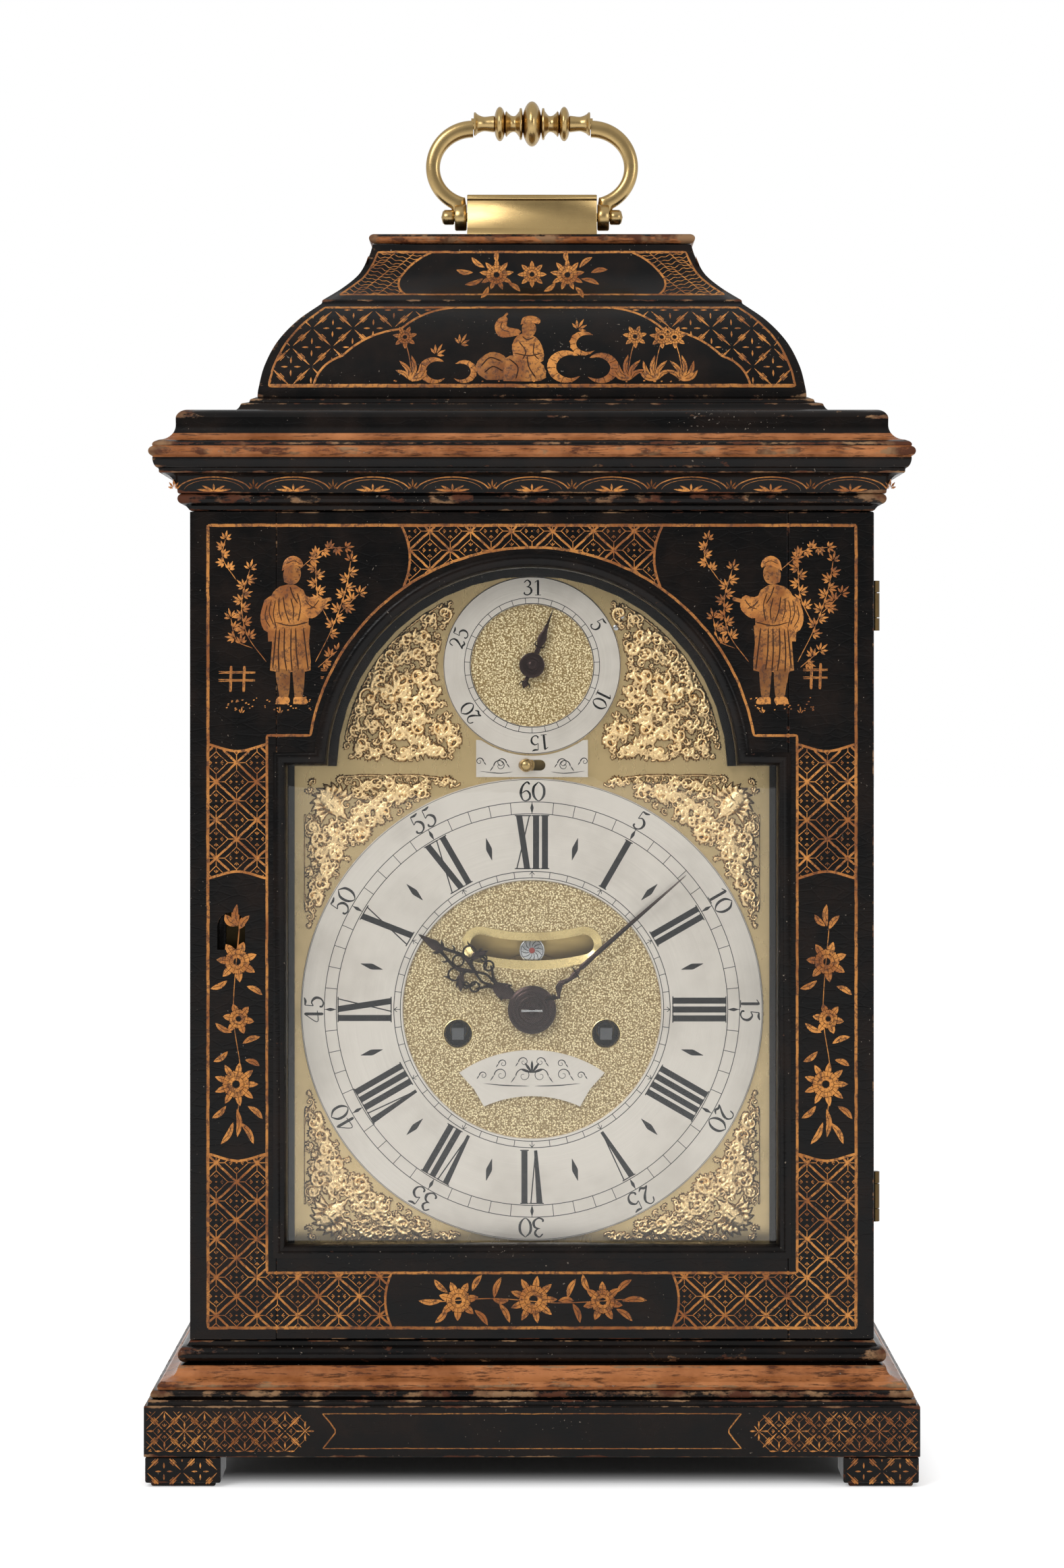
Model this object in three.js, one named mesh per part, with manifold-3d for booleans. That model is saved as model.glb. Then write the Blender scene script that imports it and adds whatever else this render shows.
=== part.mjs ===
// A bracket clock: a painted wooden case with a break-arch glazed door, moulded base and cornice, a
// two-stage caddy with a bail handle, a brass dial with silvered rings, and a verge movement of two
// trains. Millimetres, +Z up, the front faces -Y, the origin is under the middle of the feet.
import * as THREE from "three";
import { mergeVertices } from "three/addons/utils/BufferGeometryUtils.js";
import Module from "manifold-3d";

const wasm = await Module();
wasm.setup();

// ---------------------------------------------------------------- driving dimensions
const seam = 0.3; // gap between pieces that seat on each other
const dialWidth = 177.8; // seven inch dial: the case is made to fit it
const chapterMargin = 3; // from the chapter ring out to the edge of the dial
const chapterWidth = 38;
const shoulderStep = 15.4; // each shoulder of the dial's break arch
const dialThickness = 2;
const ringThickness = 1.2;
const dateWidth = 10.3; // width of the date ring
const slideTravel = 4.4; // strike/silent slide
const slideHalf = 5;
const slideRadius = 2;
const labelDrop = 4.4; // the strike/silent plate, below and above the middle of its slot
const labelRise = 9.4;
const labelHalf = 20.75;
const windingX = 27.5; // fusee arbors, measured from the centre arbor
const windingDrop = 9.1;
const windingHole = 4.5;
const squareSide = 4.4;
const slotRise = 21.7; // middle of the mock pendulum's slot, above the centre arbor
const slotHalfChord = 23;
const slotHeight = 7.4;
const maskLap = 0.8; // how far the mask board covers the edge of the dial
const maskThickness = 2.8;
const maskGap = 0.5; // between the back of the door and the mask board
const sightMargin = 1.9; // from the mask's opening out to the glazed opening, at the sides
const sillRise = 3.2; // from the bottom of the mask's opening up to the glazed opening
const mouldingWidth = 4; // width of the sight moulding inside the wood
const mouldingLip = 1; // its lip over the face of the door
const mouldingProud = 0.8;
const glassThickness = 2;
const stileWidth = 31.5;
const railDrop = 31.2; // from the dial down to the base moulding
const headMargin = 16.9; // from the door's arch up to the cornice
const doorThickness = 16;
const doorClearance = 0.4; // above and below each door
const caseDepth = 153; // body of the case, over both doors
const caseBottom = 51; // top of the base moulding
const boardThickness = 12; // side boards, and the inner width of both mouldings
const innerBoardThickness = 8; // base board and top board
const plinthOverhang = 15.5;
const plinthTop = 29.6;
const footHeight = 11;
const footWidth = 27.5;
const footInset = 0.4;
const padHeight = 1.5;
const padInset = 2;
const corniceHeight = 37;
const caddyInset = 13.1; // foot of the caddy, inside the width of the case
const caddyMouldingHeight = 6.5;
const bellRise = 37.1; // the convex storey of the caddy
const neckRise = 24.7; // the concave storey above it
const capThickness = 3.7;
const bracketHalf = 24.9;
const pivotRise = 7.7; // axis of the bail, above the cap
const bailRise = 36; // axis of the grip, above the axis of the bail
const vergeRise = 103.9; // axis of the pendulum, above the centre arbor
const seatDrop = 69.1; // top of the seat board, below the centre arbor
const seatThickness = 10;
const platesWidth = 124; // movement plates
const platesRise = 9; // top of the plates, above the verge
const plateThickness = 2.5;
const platesGap = 60;
const dialGap = 16.9; // between the dial and the front plate
const bobRise = 26; // middle of the bob, above the seat board
const hingeOffset = 1.7; // hinge axis outside the case
const knuckleRadius = 1.7;
const knuckles = [4.9, 9.3, 4.6]; // lengths of the three knuckles, from the bottom
const hingeEnds = [51, 34.5]; // lower hinge above the base, upper hinge below the cornice

// What follows from them: first the heights of the dial, then the case round it.
const dialHalf = dialWidth / 2;
const dialBottom = caseBottom + railDrop;
const dialCentre = dialBottom + dialHalf; // height of the centre arbor
const chapterOuter = dialHalf - chapterMargin;
const chapterInner = chapterOuter - chapterWidth;
const slideHeight = dialCentre + chapterOuter + labelDrop + 0.4;
const dialArch = dialHalf - shoulderStep;
const archCentre = dialCentre + dialHalf - 0.5; // centre of every dial arch
const dateTop = archCentre + dialArch - 1.1; // the date ring fills the arch above the slide
const dateOuter = (dateTop - slideHeight - slideRadius - 2.1) / 2;
const dateInner = dateOuter - dateWidth;
const dateCentre = dateTop - dateOuter;
const dialShoulder = archCentre + 2.8;
const maskHalfWidth = dialHalf - maskLap; // opening of the mask board
const maskBottom = dialBottom + maskLap;
const maskShoulder = dialShoulder - maskLap;
const maskArch = dialArch - 1;
const sightHalfWidth = maskHalfWidth + sightMargin; // glazed opening, inside its moulding
const sightBottom = maskBottom + sillRise;
const sightShoulder = maskShoulder + seam;
const sightArch = maskArch + 2.6;
const halfW = sightHalfWidth + mouldingWidth + stileWidth;
const halfD = caseDepth / 2;
const caseTop = archCentre + sightArch + mouldingWidth + headMargin; // underside of the cornice
const hingeHeights = [caseBottom + hingeEnds[0], caseTop - hingeEnds[1]]; // middles of the hinges
const cornicePeak = caseTop + corniceHeight;
const bellFoot = cornicePeak + caddyMouldingHeight;
const shoulderZ = bellFoot + bellRise; // where the convex bell meets the concave neck
const caddyPeak = shoulderZ + neckRise;
const capTop = caddyPeak + capThickness;
const pivotHeight = capTop + pivotRise;
const gripHeight = pivotHeight + bailRise;
const doorBack = -halfD + doorThickness; // Y of the back of the front door
const maskFront = doorBack + maskGap;
const dialFront = maskFront + maskThickness + seam;
const dialBack = dialFront + dialThickness;
const ringFront = dialFront - seam / 10 - ringThickness;
const frontPlateY = dialBack + dialGap;
const platesBackY = frontPlateY + plateThickness + platesGap;
const inner = { x: halfW - boardThickness, y: halfD - boardThickness };
const windingZ = dialCentre - windingDrop;
const verge = dialCentre + vergeRise;
const slotRadius = vergeRise - slotRise; // mock pendulum, below the verge
const platesTop = verge + platesRise;
const seatTop = dialCentre - seatDrop;

// ---------------------------------------------------------------- finishes
const finish = (color, roughness, metalness) =>
  new THREE.MeshStandardMaterial({ color, roughness, metalness });
const japan = () => finish(0x17110d, 0.25, 0);
const goldJapan = () => finish(0xa8662c, 0.35, 0.2);
const oak = () => finish(0x6b4a2c, 0.7, 0);
const brass = () => finish(0xb59a5f, 0.35, 1);
const gilt = () => finish(0xc9b16c, 0.35, 1);
const silvered = () => finish(0xc9c6c0, 0.4, 0.9);
const blued = () => finish(0x1d1413, 0.3, 0.8);
const steel = () => finish(0x8d8f92, 0.3, 1);
const glass = () =>
  new THREE.MeshStandardMaterial({ color: 0xdfe8e6, roughness: 0.05, transparent: true, opacity: 0.2 });

// ---------------------------------------------------------------- solids
const clock = new THREE.Group();
clock.name = "bracket_clock";

function add(name, geometry, material) {
  geometry.computeVertexNormals();
  const mesh = new THREE.Mesh(geometry, material);
  mesh.name = name;
  clock.add(mesh);
  return mesh;
}

// Only positions, shared between faces, with the faces turned outward.
function clean(geometry) {
  const bare = new THREE.BufferGeometry();
  const plain = geometry.index ? geometry.toNonIndexed() : geometry;
  bare.setAttribute("position", plain.getAttribute("position").clone());
  const merged = mergeVertices(bare, 1e-4);
  const index = merged.index.array;
  const kept = [];
  for (let i = 0; i < index.length; i += 3) {
    const [a, b, c] = [index[i], index[i + 1], index[i + 2]];
    if (a !== b && b !== c && c !== a) kept.push(a, b, c);
  }
  merged.setIndex(kept);
  if (signedVolume(merged) < 0) {
    for (let i = 0; i < kept.length; i += 3) [kept[i + 1], kept[i + 2]] = [kept[i + 2], kept[i + 1]];
    merged.setIndex(kept);
  }
  return merged;
}

function signedVolume(geometry) {
  const position = geometry.getAttribute("position");
  const index = geometry.index.array;
  const [a, b, c] = [new THREE.Vector3(), new THREE.Vector3(), new THREE.Vector3()];
  let sum = 0;
  for (let i = 0; i < index.length; i += 3) {
    a.fromBufferAttribute(position, index[i]);
    b.fromBufferAttribute(position, index[i + 1]);
    c.fromBufferAttribute(position, index[i + 2]);
    sum += a.dot(b.cross(c)) / 6;
  }
  return sum;
}

function solid(geometry) {
  const made = clean(geometry);
  const vertProperties = new Float32Array(made.getAttribute("position").array);
  const triVerts = new Uint32Array(made.index.array);
  return new wasm.Manifold(new wasm.Mesh({ numProp: 3, vertProperties, triVerts }));
}

function shell(manifold) {
  const mesh = manifold.getMesh();
  const geometry = new THREE.BufferGeometry();
  geometry.setAttribute("position", new THREE.BufferAttribute(new Float32Array(mesh.vertProperties), 3));
  geometry.setIndex(new THREE.BufferAttribute(new Uint32Array(mesh.triVerts), 1));
  return geometry;
}

const join = (...parts) => shell(parts.map(solid).reduce((whole, part) => whole.add(part)));
const cut = (body, ...tools) =>
  shell(tools.map(solid).reduce((rest, tool) => rest.subtract(tool), solid(body)));

const mirrorX = (geometry) => clean(geometry.clone().scale(-1, 1, 1));

function box(x0, x1, y0, y1, z0, z1) {
  const geometry = new THREE.BoxGeometry(x1 - x0, y1 - y0, z1 - z0);
  return geometry.translate((x0 + x1) / 2, (y0 + y1) / 2, (z0 + z1) / 2);
}

const extrude = (shape, depth, curveSegments) =>
  new THREE.ExtrudeGeometry(shape, { depth, bevelEnabled: false, curveSegments });

// A shape drawn on (X, Z), from y0 back to y1.
function upright(shape, y0, y1, curveSegments = 12) {
  return extrude(shape, y1 - y0, curveSegments).rotateX(Math.PI / 2).translate(0, y1, 0);
}

// A shape drawn on (Y, Z), from x0 to x1.
function sideways(shape, x0, x1, curveSegments = 12) {
  const turn = new THREE.Matrix4().makeBasis(
    new THREE.Vector3(0, 1, 0), new THREE.Vector3(0, 0, 1), new THREE.Vector3(1, 0, 0));
  return extrude(shape, x1 - x0, curveSegments).applyMatrix4(turn).translate(x0, 0, 0);
}

// Profiles are [radius, distance along the axis].
const lathe = (profile, segments) =>
  new THREE.LatheGeometry(profile.map(([r, h]) => new THREE.Vector2(r, h)), segments);
const turnedY = (profile, x, z, segments = 20) => lathe(profile, segments).translate(x, 0, z);
const turnedZ = (profile, x, y, segments = 20) =>
  lathe(profile, segments).rotateX(Math.PI / 2).translate(x, y, 0);
const turnedX = (profile, y, z, segments = 20) =>
  lathe(profile, segments).rotateZ(-Math.PI / 2).translate(0, y, z);
const rodProfile = (r, h0, h1) => [[0, h0], [r, h0], [r, h1], [0, h1]];
const rodY = (r, y0, y1, x, z, segments = 12) => turnedY(rodProfile(r, y0, y1), x, z, segments);
const rodZ = (r, z0, z1, x, y, segments = 12) => turnedZ(rodProfile(r, z0, z1), x, y, segments);
const rodX = (r, x0, x1, y, z, segments = 12) => turnedX(rodProfile(r, x0, x1), y, z, segments);

// Points on an elliptic arc, angles in degrees.
function arc(cx, cz, rx, rz, from, to, steps) {
  const points = [];
  for (let i = 0; i <= steps; i++) {
    const t = THREE.MathUtils.degToRad(from + ((to - from) * i) / steps);
    points.push([cx + rx * Math.cos(t), cz + rz * Math.sin(t)]);
  }
  return points;
}

const shapeOf = (points) => new THREE.Shape(points.map(([x, y]) => new THREE.Vector2(x, y)));
function pierced(points, ...holes) {
  const shape = shapeOf(points);
  shape.holes = holes.map((hole) => new THREE.Path(hole.map(([x, y]) => new THREE.Vector2(x, y))));
  return shape;
}
const circle = (x, z, r, steps = 10) => arc(x, z, r, r, 0, 360 - 360 / steps, steps - 1);
const rectangle = (x0, x1, z0, z1) => [[x0, z0], [x1, z0], [x1, z1], [x0, z1]];

// The break-arch outline: a rectangle with an arch that rises between two shoulders.
function breakArch(halfWidth, bottom, shoulder, radius, steps = 20) {
  const start = THREE.MathUtils.radToDeg(Math.asin((shoulder - archCentre) / radius));
  return [
    [-halfWidth, bottom],
    [halfWidth, bottom],
    [halfWidth, shoulder],
    ...arc(0, archCentre, radius, radius, start, 180 - start, steps),
    [-halfWidth, shoulder],
  ];
}

// A ring whose section is a closed profile of [offset, level], swept round an outline; place turns a
// point of the outline and its level into a point in space.
function sweptRing(outlineAt, profile, place) {
  const rings = profile.map(([offset, level]) => outlineAt(offset).map(([a, b]) => place(a, b, level)));
  const count = rings[0].length;
  const faces = [];
  for (let i = 0; i < rings.length; i++) {
    const next = (i + 1) % rings.length;
    for (let j = 0; j < count; j++) {
      const k = (j + 1) % count;
      const [a, b, c, d] = [i * count + j, i * count + k, next * count + k, next * count + j];
      faces.push(a, b, c, a, c, d);
    }
  }
  const geometry = new THREE.BufferGeometry();
  geometry.setAttribute("position", new THREE.Float32BufferAttribute(rings.flat(2), 3));
  geometry.setIndex(faces);
  return clean(geometry);
}

// A mitred moulding round the case. The profile is [overhang beyond the case, height].
const mitredRing = (profile) => sweptRing(
  (out) => rectangle(-halfW - out, halfW + out, -halfD - out, halfD + out), profile, (x, y, z) => [x, y, z]);

// A rectangular block whose size changes with height: levels are [half width, half depth, height].
function rectangularLoft(levels) {
  const points = [];
  const faces = [];
  for (const [x, y, z] of levels) points.push(-x, -y, z, x, -y, z, x, y, z, -x, y, z);
  for (let level = 0; level + 1 < levels.length; level++) {
    for (let side = 0; side < 4; side++) {
      const [a, b] = [4 * level + side, 4 * level + ((side + 1) % 4)];
      faces.push(a, b, b + 4, a, b + 4, a + 4);
    }
  }
  const top = 4 * (levels.length - 1);
  faces.push(0, 2, 1, 0, 3, 2, top, top + 1, top + 2, top, top + 2, top + 3);
  const geometry = new THREE.BufferGeometry();
  geometry.setAttribute("position", new THREE.Float32BufferAttribute(points, 3));
  geometry.setIndex(faces);
  return clean(geometry);
}

// A wheel with pointed teeth, drawn about (0, 0), its rim carried by straight crossings.
function wheelShape(teeth, pitchRadius, crossings, hubRadius, boreRadius) {
  const pitchModule = (2 * pitchRadius) / teeth;
  const tip = pitchRadius + 0.3 * pitchModule;
  const root = pitchRadius - 1.2 * pitchModule;
  const outline = [];
  for (let i = 0; i < 2 * teeth; i++) {
    const angle = (Math.PI * i) / teeth;
    const r = i % 2 === 0 ? tip : root;
    outline.push([r * Math.cos(angle), r * Math.sin(angle)]);
  }
  const holes = boreRadius ? [circle(0, 0, boreRadius, 10)] : [];
  const rim = root - 2.2;
  const arm = 0.9;
  for (let i = 0; i < crossings; i++) {
    const [from, to] = [(360 * i) / crossings, (360 * (i + 1)) / crossings];
    const spread = (r) => THREE.MathUtils.radToDeg(Math.asin(arm / r));
    holes.push([
      ...arc(0, 0, rim, rim, from + spread(rim), to - spread(rim), 2),
      ...arc(0, 0, hubRadius, hubRadius, to - spread(hubRadius), from + spread(hubRadius), 1),
    ]);
  }
  return pierced(outline, ...holes);
}

const wheel = (teeth, pitchRadius, crossings, hubRadius, y0, y1, x, z, bore = 0, turn = 0) =>
  upright(wheelShape(teeth, pitchRadius, crossings, hubRadius, bore), y0, y1)
    .rotateY(-turn)
    .translate(x, 0, z);

// A ring whose pointed teeth stand along the axis; drawn about +Z with its back at 0.
function crownedRing(teeth, outer, innerRadius, root, tip, lean) {
  const points = [];
  const faces = [];
  const count = 2 * teeth;
  for (let i = 0; i < count; i++) {
    const shift = i % 2 === 0 ? lean : 0;
    const angle = (Math.PI * (i + shift)) / teeth;
    const height = i % 2 === 0 ? tip : root;
    for (const [r, h] of [[outer, 0], [outer, height], [innerRadius, height], [innerRadius, 0]]) {
      points.push(r * Math.cos(angle), r * Math.sin(angle), h);
    }
  }
  for (let i = 0; i < count; i++) {
    const next = (i + 1) % count;
    for (let side = 0; side < 4; side++) {
      const other = (side + 1) % 4;
      const [a, b, c, d] = [4 * i + side, 4 * next + side, 4 * next + other, 4 * i + other];
      faces.push(a, b, c, a, c, d);
    }
  }
  const geometry = new THREE.BufferGeometry();
  geometry.setAttribute("position", new THREE.Float32BufferAttribute(points, 3));
  geometry.setIndex(faces);
  return clean(geometry);
}

// ---------------------------------------------------------------- base
const innerEdge = -boardThickness;
const baseProfile = [
  [innerEdge, footHeight],
  [plinthOverhang, footHeight],
  [plinthOverhang, plinthTop],
  [plinthOverhang - 1.4, plinthTop],
  [plinthOverhang - 1.4, plinthTop + 1.8],
  ...arc(plinthOverhang - 3.6, plinthTop + 3.7, 1.5, 1.5, -80, 80, 5),
  ...arc(plinthOverhang - 5.3, plinthTop + 6.3, 0.9, 0.9, -70, 80, 4),
  ...arc(plinthOverhang - 5.6, caseBottom - 8.9, 5.8, 4.6, -90, -180, 6),
  [2.6, caseBottom - 8.4],
  ...arc(1.1, caseBottom - 4.75, 3.05, 3.05, -90, 90, 7),
  [0, caseBottom],
  [innerEdge, caseBottom],
];
const innerBoard = (z0) =>
  box(-inner.x - 1, inner.x + 1, -inner.y - 1, inner.y + 1, z0, z0 + innerBoardThickness);
add("base_moulding", join(
  mitredRing(baseProfile), innerBoard(caseBottom - innerBoardThickness)), japan());

function foot(signX, signY) {
  const outerX = halfW + plinthOverhang - footInset;
  const outerY = halfD + plinthOverhang - footInset;
  const half = footWidth / 2;
  return rectangularLoft([
    [half - padInset, half - padInset, 0],
    [half - padInset, half - padInset, padHeight],
    [half, half, padHeight],
    [half, half, footHeight],
  ]).translate(signX * (outerX - half), signY * (outerY - half), 0);
}
add("foot_front_left", foot(-1, -1), japan());
add("foot_front_right", foot(1, -1), japan());
add("foot_back_right", foot(1, 1), japan());
add("foot_back_left", foot(-1, 1), japan());

// ---------------------------------------------------------------- hinges
// Two butt hinges on the right side; y is the joint line and inward is +1 where the case lies at +Y.
const hingeX = halfW + hingeOffset;
const leafReach = 11.5; // from the outer face of the case inward
const leafThickness = 1.2;
const hingeLength = knuckles.reduce((sum, length) => sum + length, 0);
const pinRadius = 0.8;

function knuckleSpans(middle) {
  const spans = [];
  let z = middle - hingeLength / 2;
  for (const length of knuckles) {
    spans.push([z + seam / 2, z + length - seam / 2]);
    z += length;
  }
  return spans;
}

function leaf(middle, jointY, side, mine) {
  const near = jointY + side * (seam / 2);
  const far = near + side * leafThickness;
  const [y0, y1] = [Math.min(near, far), Math.max(near, far)];
  const [low, high] = [middle - hingeLength / 2, middle + hingeLength / 2];
  const parts = [box(halfW - leafReach, halfW - 0.1, y0, y1, low, high)];
  knuckleSpans(middle).forEach(([z0, z1], i) => {
    if (!mine(i)) return;
    parts.push(box(halfW - 0.3, hingeX, y0, y1, z0, z1));
    parts.push(rodZ(knuckleRadius, z0, z1, hingeX, jointY, 8));
  });
  return parts;
}

const isCase = (i) => i === 1;
function caseLeaf(middle, jointY, side) {
  const spans = knuckleSpans(middle);
  const pin = rodZ(pinRadius, spans[0][0], spans[2][1], hingeX, jointY, 6);
  return join(...leaf(middle, jointY, side, isCase), pin);
}
function doorLeaf(middle, jointY, side) {
  const bore = rodZ(pinRadius + 0.25, middle - hingeLength, middle + hingeLength, hingeX, jointY, 6);
  return cut(join(...leaf(middle, jointY, side, (i) => !isCase(i))), bore);
}
function leafRecess(middle, jointY, side) {
  const near = jointY - side * seam;
  const far = jointY + side * (leafThickness + 1.5 * seam);
  const [low, high] = [middle - hingeLength / 2 - seam, middle + hingeLength / 2 + seam];
  return box(halfW - leafReach - seam, halfW + 1, Math.min(near, far), Math.max(near, far), low, high);
}

const frontJoint = doorBack + seam / 2;
const backJoint = -frontJoint;
["lower", "upper"].forEach((place, i) => {
  add(`case_hinge_${place}`, caseLeaf(hingeHeights[i], frontJoint, 1), brass());
  add(`door_hinge_${place}`, doorLeaf(hingeHeights[i], frontJoint, -1), brass());
});

// ---------------------------------------------------------------- side boards
const windowHalf = 36;
const windowBottom = seatTop + 10;
const windowSpring = archCentre + 2.5;
const rebate = 4;
const rebateDepth = 3;
const ledgeHeight = 10;
const ledgeReach = 10;
const seatHalfDepth = 47;
const sideFront = doorBack + seam;
const boltHeight = dialCentre + 31.9;
const boltThrow = 5;
const catchHeight = boltHeight + 2;

const archedWindow = (grow) => [
  [-windowHalf - grow, windowBottom - grow],
  ...arc(0, windowSpring, windowHalf + grow, windowHalf + grow, 0, 180, 10),
].toSpliced(1, 0, [windowHalf + grow, windowBottom - grow]);

const sideOutline = rectangle(sideFront, -sideFront, caseBottom, caseTop);
const ledgeTop = seatTop - seatThickness;
const sidePanel = join(
  sideways(pierced(sideOutline, archedWindow(0)), inner.x, halfW),
  box(inner.x - ledgeReach, inner.x + 1, -seatHalfDepth, seatHalfDepth, ledgeTop - ledgeHeight, ledgeTop),
);
const glassRebate = sideways(shapeOf(archedWindow(rebate)), inner.x - 1, inner.x + rebateDepth);
// The leaves of the back hinges are let in flush and screwed down, so they are part of their boards.
const sideRight = join(
  cut(sidePanel, glassRebate, ...hingeHeights.map((z) => leafRecess(z, frontJoint, 1))),
  ...hingeHeights.map((z) => caseLeaf(z, backJoint, -1)),
);
const boltMortise = box(inner.x - 1, inner.x + boltThrow + 1, frontJoint + 0.6, frontJoint + 5.8,
  boltHeight - 5.6, boltHeight + 5.6);
const catchMortise = box(inner.x - 1, inner.x + 7, backJoint - 6.6, backJoint - 2.2,
  catchHeight - 12.8, catchHeight + 4);
add("side_right", sideRight, japan());
add("side_left", mirrorX(cut(sidePanel, glassRebate, boltMortise, catchMortise)), japan());

const paneOuter = inner.x + rebateDepth - seam;
const sidePane = sideways(shapeOf(archedWindow(rebate - seam)), paneOuter - glassThickness, paneOuter);
add("side_glass_right", sidePane, glass());
add("side_glass_left", mirrorX(sidePane), glass());

// ---------------------------------------------------------------- cornice and caddy
const corniceProfile = [
  [innerEdge, caseTop],
  [0, caseTop],
  [1.4, caseTop + 1.8],
  ...arc(2.35, caseTop + 4.25, 1.95, 1.95, -80, 80, 4),
  ...arc(9.8, caseTop + 6.2, 5.6, 7.2, 180, 90, 5),
  [10.5, caseTop + 13.4],
  [10.5, caseTop + 15],
  ...arc(10.5, caseTop + 18.9, 2.2, 3.9, -80, 0, 4),
  ...arc(12.25, caseTop + 21.15, 1.85, 1.85, -85, 85, 4),
  ...arc(11, caseTop + 23.1, 1.9, 1.9, 10, 80, 3),
  ...arc(11, cornicePeak - 5.9, 6.2, 5.7, -95, -180, 5),
  [5, cornicePeak - 4],
  ...arc(0.5, cornicePeak - 4, 4.5, 4, 15, 90, 4),
  [innerEdge, cornicePeak],
];
add("cornice", join(
  mitredRing(corniceProfile), innerBoard(cornicePeak - innerBoardThickness)), japan());

const depthLess = halfW - halfD; // every storey of the case is this much less deep than wide
const storey = ([x, z]) => [x, x - depthLess, z];
const caddyHalf = halfW - caddyInset;
add("caddy_moulding", rectangularLoft([
  [caddyHalf, cornicePeak],
  ...arc(caddyHalf, cornicePeak + 4.3, 4.4, 4, -95, -170, 5),
  [caddyHalf - 7.4, cornicePeak + 4.4],
  [caddyHalf - 7.4, cornicePeak + 5.3],
  [caddyHalf - 10.1, bellFoot],
].map(storey)), japan());

const curveThrough = (points, steps) =>
  new THREE.SplineCurve(points.map(([x, z]) => new THREE.Vector2(x, z))).getPoints(steps)
    .map(({ x, y }) => [x, y]);

// Points of the two curved storeys: [inset from the caddy's foot, height above the storey's own foot].
const bellFootInset = 10.1;
const capInset = 51.8;
const bellPoints = [
  [bellFootInset, 0.6], [10.5, 3.5], [12.5, 11.7], [17, 21.1], [24.2, 29.8], [33, bellRise]];
const neckPoints = [
  [33, 1.1], [40.2, 6.4], [45.9, 11.8], [48.8, 16.7], [50.4, 20.5], [51.5, neckRise - seam]];
const raised = (points, foot) => points.map(([inset, rise]) => [caddyHalf - inset, foot + rise]);
add("caddy_bell", rectangularLoft([
  [caddyHalf - bellFootInset, bellFoot],
  ...curveThrough(raised(bellPoints, bellFoot), 8),
  ...curveThrough(raised(neckPoints, shoulderZ), 7),
].map(storey)), japan());
const capHalf = caddyHalf - capInset;
add("caddy_cap", rectangularLoft([
  [capHalf, caddyPeak],
  ...arc(capHalf - 0.2, (caddyPeak + capTop) / 2, 2, capThickness / 2 - 0.1, -75, 75, 4),
  [capHalf, capTop],
].map(storey)), goldJapan());

// ---------------------------------------------------------------- bail handle
const bracketDepth = 7; // half depth of the body of the bracket
const bracketBead = 1.15;
const beadHeight = pivotHeight + 6.8;
const eyeRadius = 5.2;
const eyeOuter = 29.7;
const strapDepth = 5.4;
const coreRadius = 2.2;
const gripHalf = 22.7;
const screwRadius = 1.7;
const bracketProfile = [
  [-bracketDepth - 1.8, capTop],
  [bracketDepth + 1.8, capTop],
  [bracketDepth + 0.4, capTop + 2.4],
  [bracketDepth, capTop + 3],
  [bracketDepth, beadHeight - 1.2],
  ...arc(bracketDepth - 0.4, beadHeight, bracketBead, bracketBead, -60, 90, 4),
  ...arc(-bracketDepth + 0.4, beadHeight, bracketBead, bracketBead, 90, 240, 4),
  [-bracketDepth, capTop + 3],
  [-bracketDepth - 0.4, capTop + 2.4],
];
const screw = turnedX([
  [0, bracketHalf - 3], [screwRadius, bracketHalf - 3], [screwRadius, eyeOuter + seam],
  [2.6, eyeOuter + seam], [2.9, eyeOuter + 1.2], [2.9, eyeOuter + 4], [0, eyeOuter + 5.3],
], 0, pivotHeight, 10);
add("handle_bracket", join(
  sideways(shapeOf(bracketProfile), -bracketHalf, bracketHalf), screw, mirrorX(screw)), brass());

const bow = bailRise / 2; // the strap's outer curve reaches this far up and down
const strap = upright(shapeOf([
  ...arc(gripHalf, pivotHeight + bow + 1.3, 18.2, bow, 90, -62, 9),
  [eyeOuter, pivotHeight + 3.2],
  [eyeOuter, pivotHeight],
  [bracketHalf + seam, pivotHeight],
  ...arc(gripHalf, pivotHeight + bow + 1, 12.8, bow - 6.2, -76, 90, 8),
]), -strapDepth / 2, strapDepth / 2);
const eye = rodX(eyeRadius, bracketHalf + seam, eyeOuter, 0, pivotHeight, 12);
const eyeBore = rodX(screwRadius + 0.25, bracketHalf - 1, eyeOuter + 1, 0, pivotHeight, 10);
const bailHalf = cut(join(strap, eye), eyeBore);
const core = rodX(coreRadius, -gripHalf - 1, gripHalf + 1, 0, gripHeight, 8);
add("handle_bail", join(bailHalf, mirrorX(bailHalf), core), brass());

const gripRight = [
  [8.65, 0], ...arc(0, 0, 3.8, 8.65, 68, 25, 1).map(([h, r]) => [r, h]),
  [5.9, 3.9], [5.9, 4.8], [3.2, 6.4], [3.7, 8.8], [5, 9.8],
  ...arc(12.4, 0, 2.3, 6.6, 150, 20, 4).map(([h, r]) => [r, h]),
  [3.1, 16.2], [2.75, 18.6], [4.5, 21.9], [4.3, gripHalf - seam],
];
const gripProfile = [
  ...gripRight.toReversed().map(([r, h]) => [r, -h]),
  ...gripRight.slice(1),
  [coreRadius + 0.25, gripHalf - seam],
  [coreRadius + 0.25, -gripHalf + seam],
  [4.3, -gripHalf + seam],
];
add("handle_grip", turnedX(gripProfile, 0, gripHeight, 10), brass());

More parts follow.
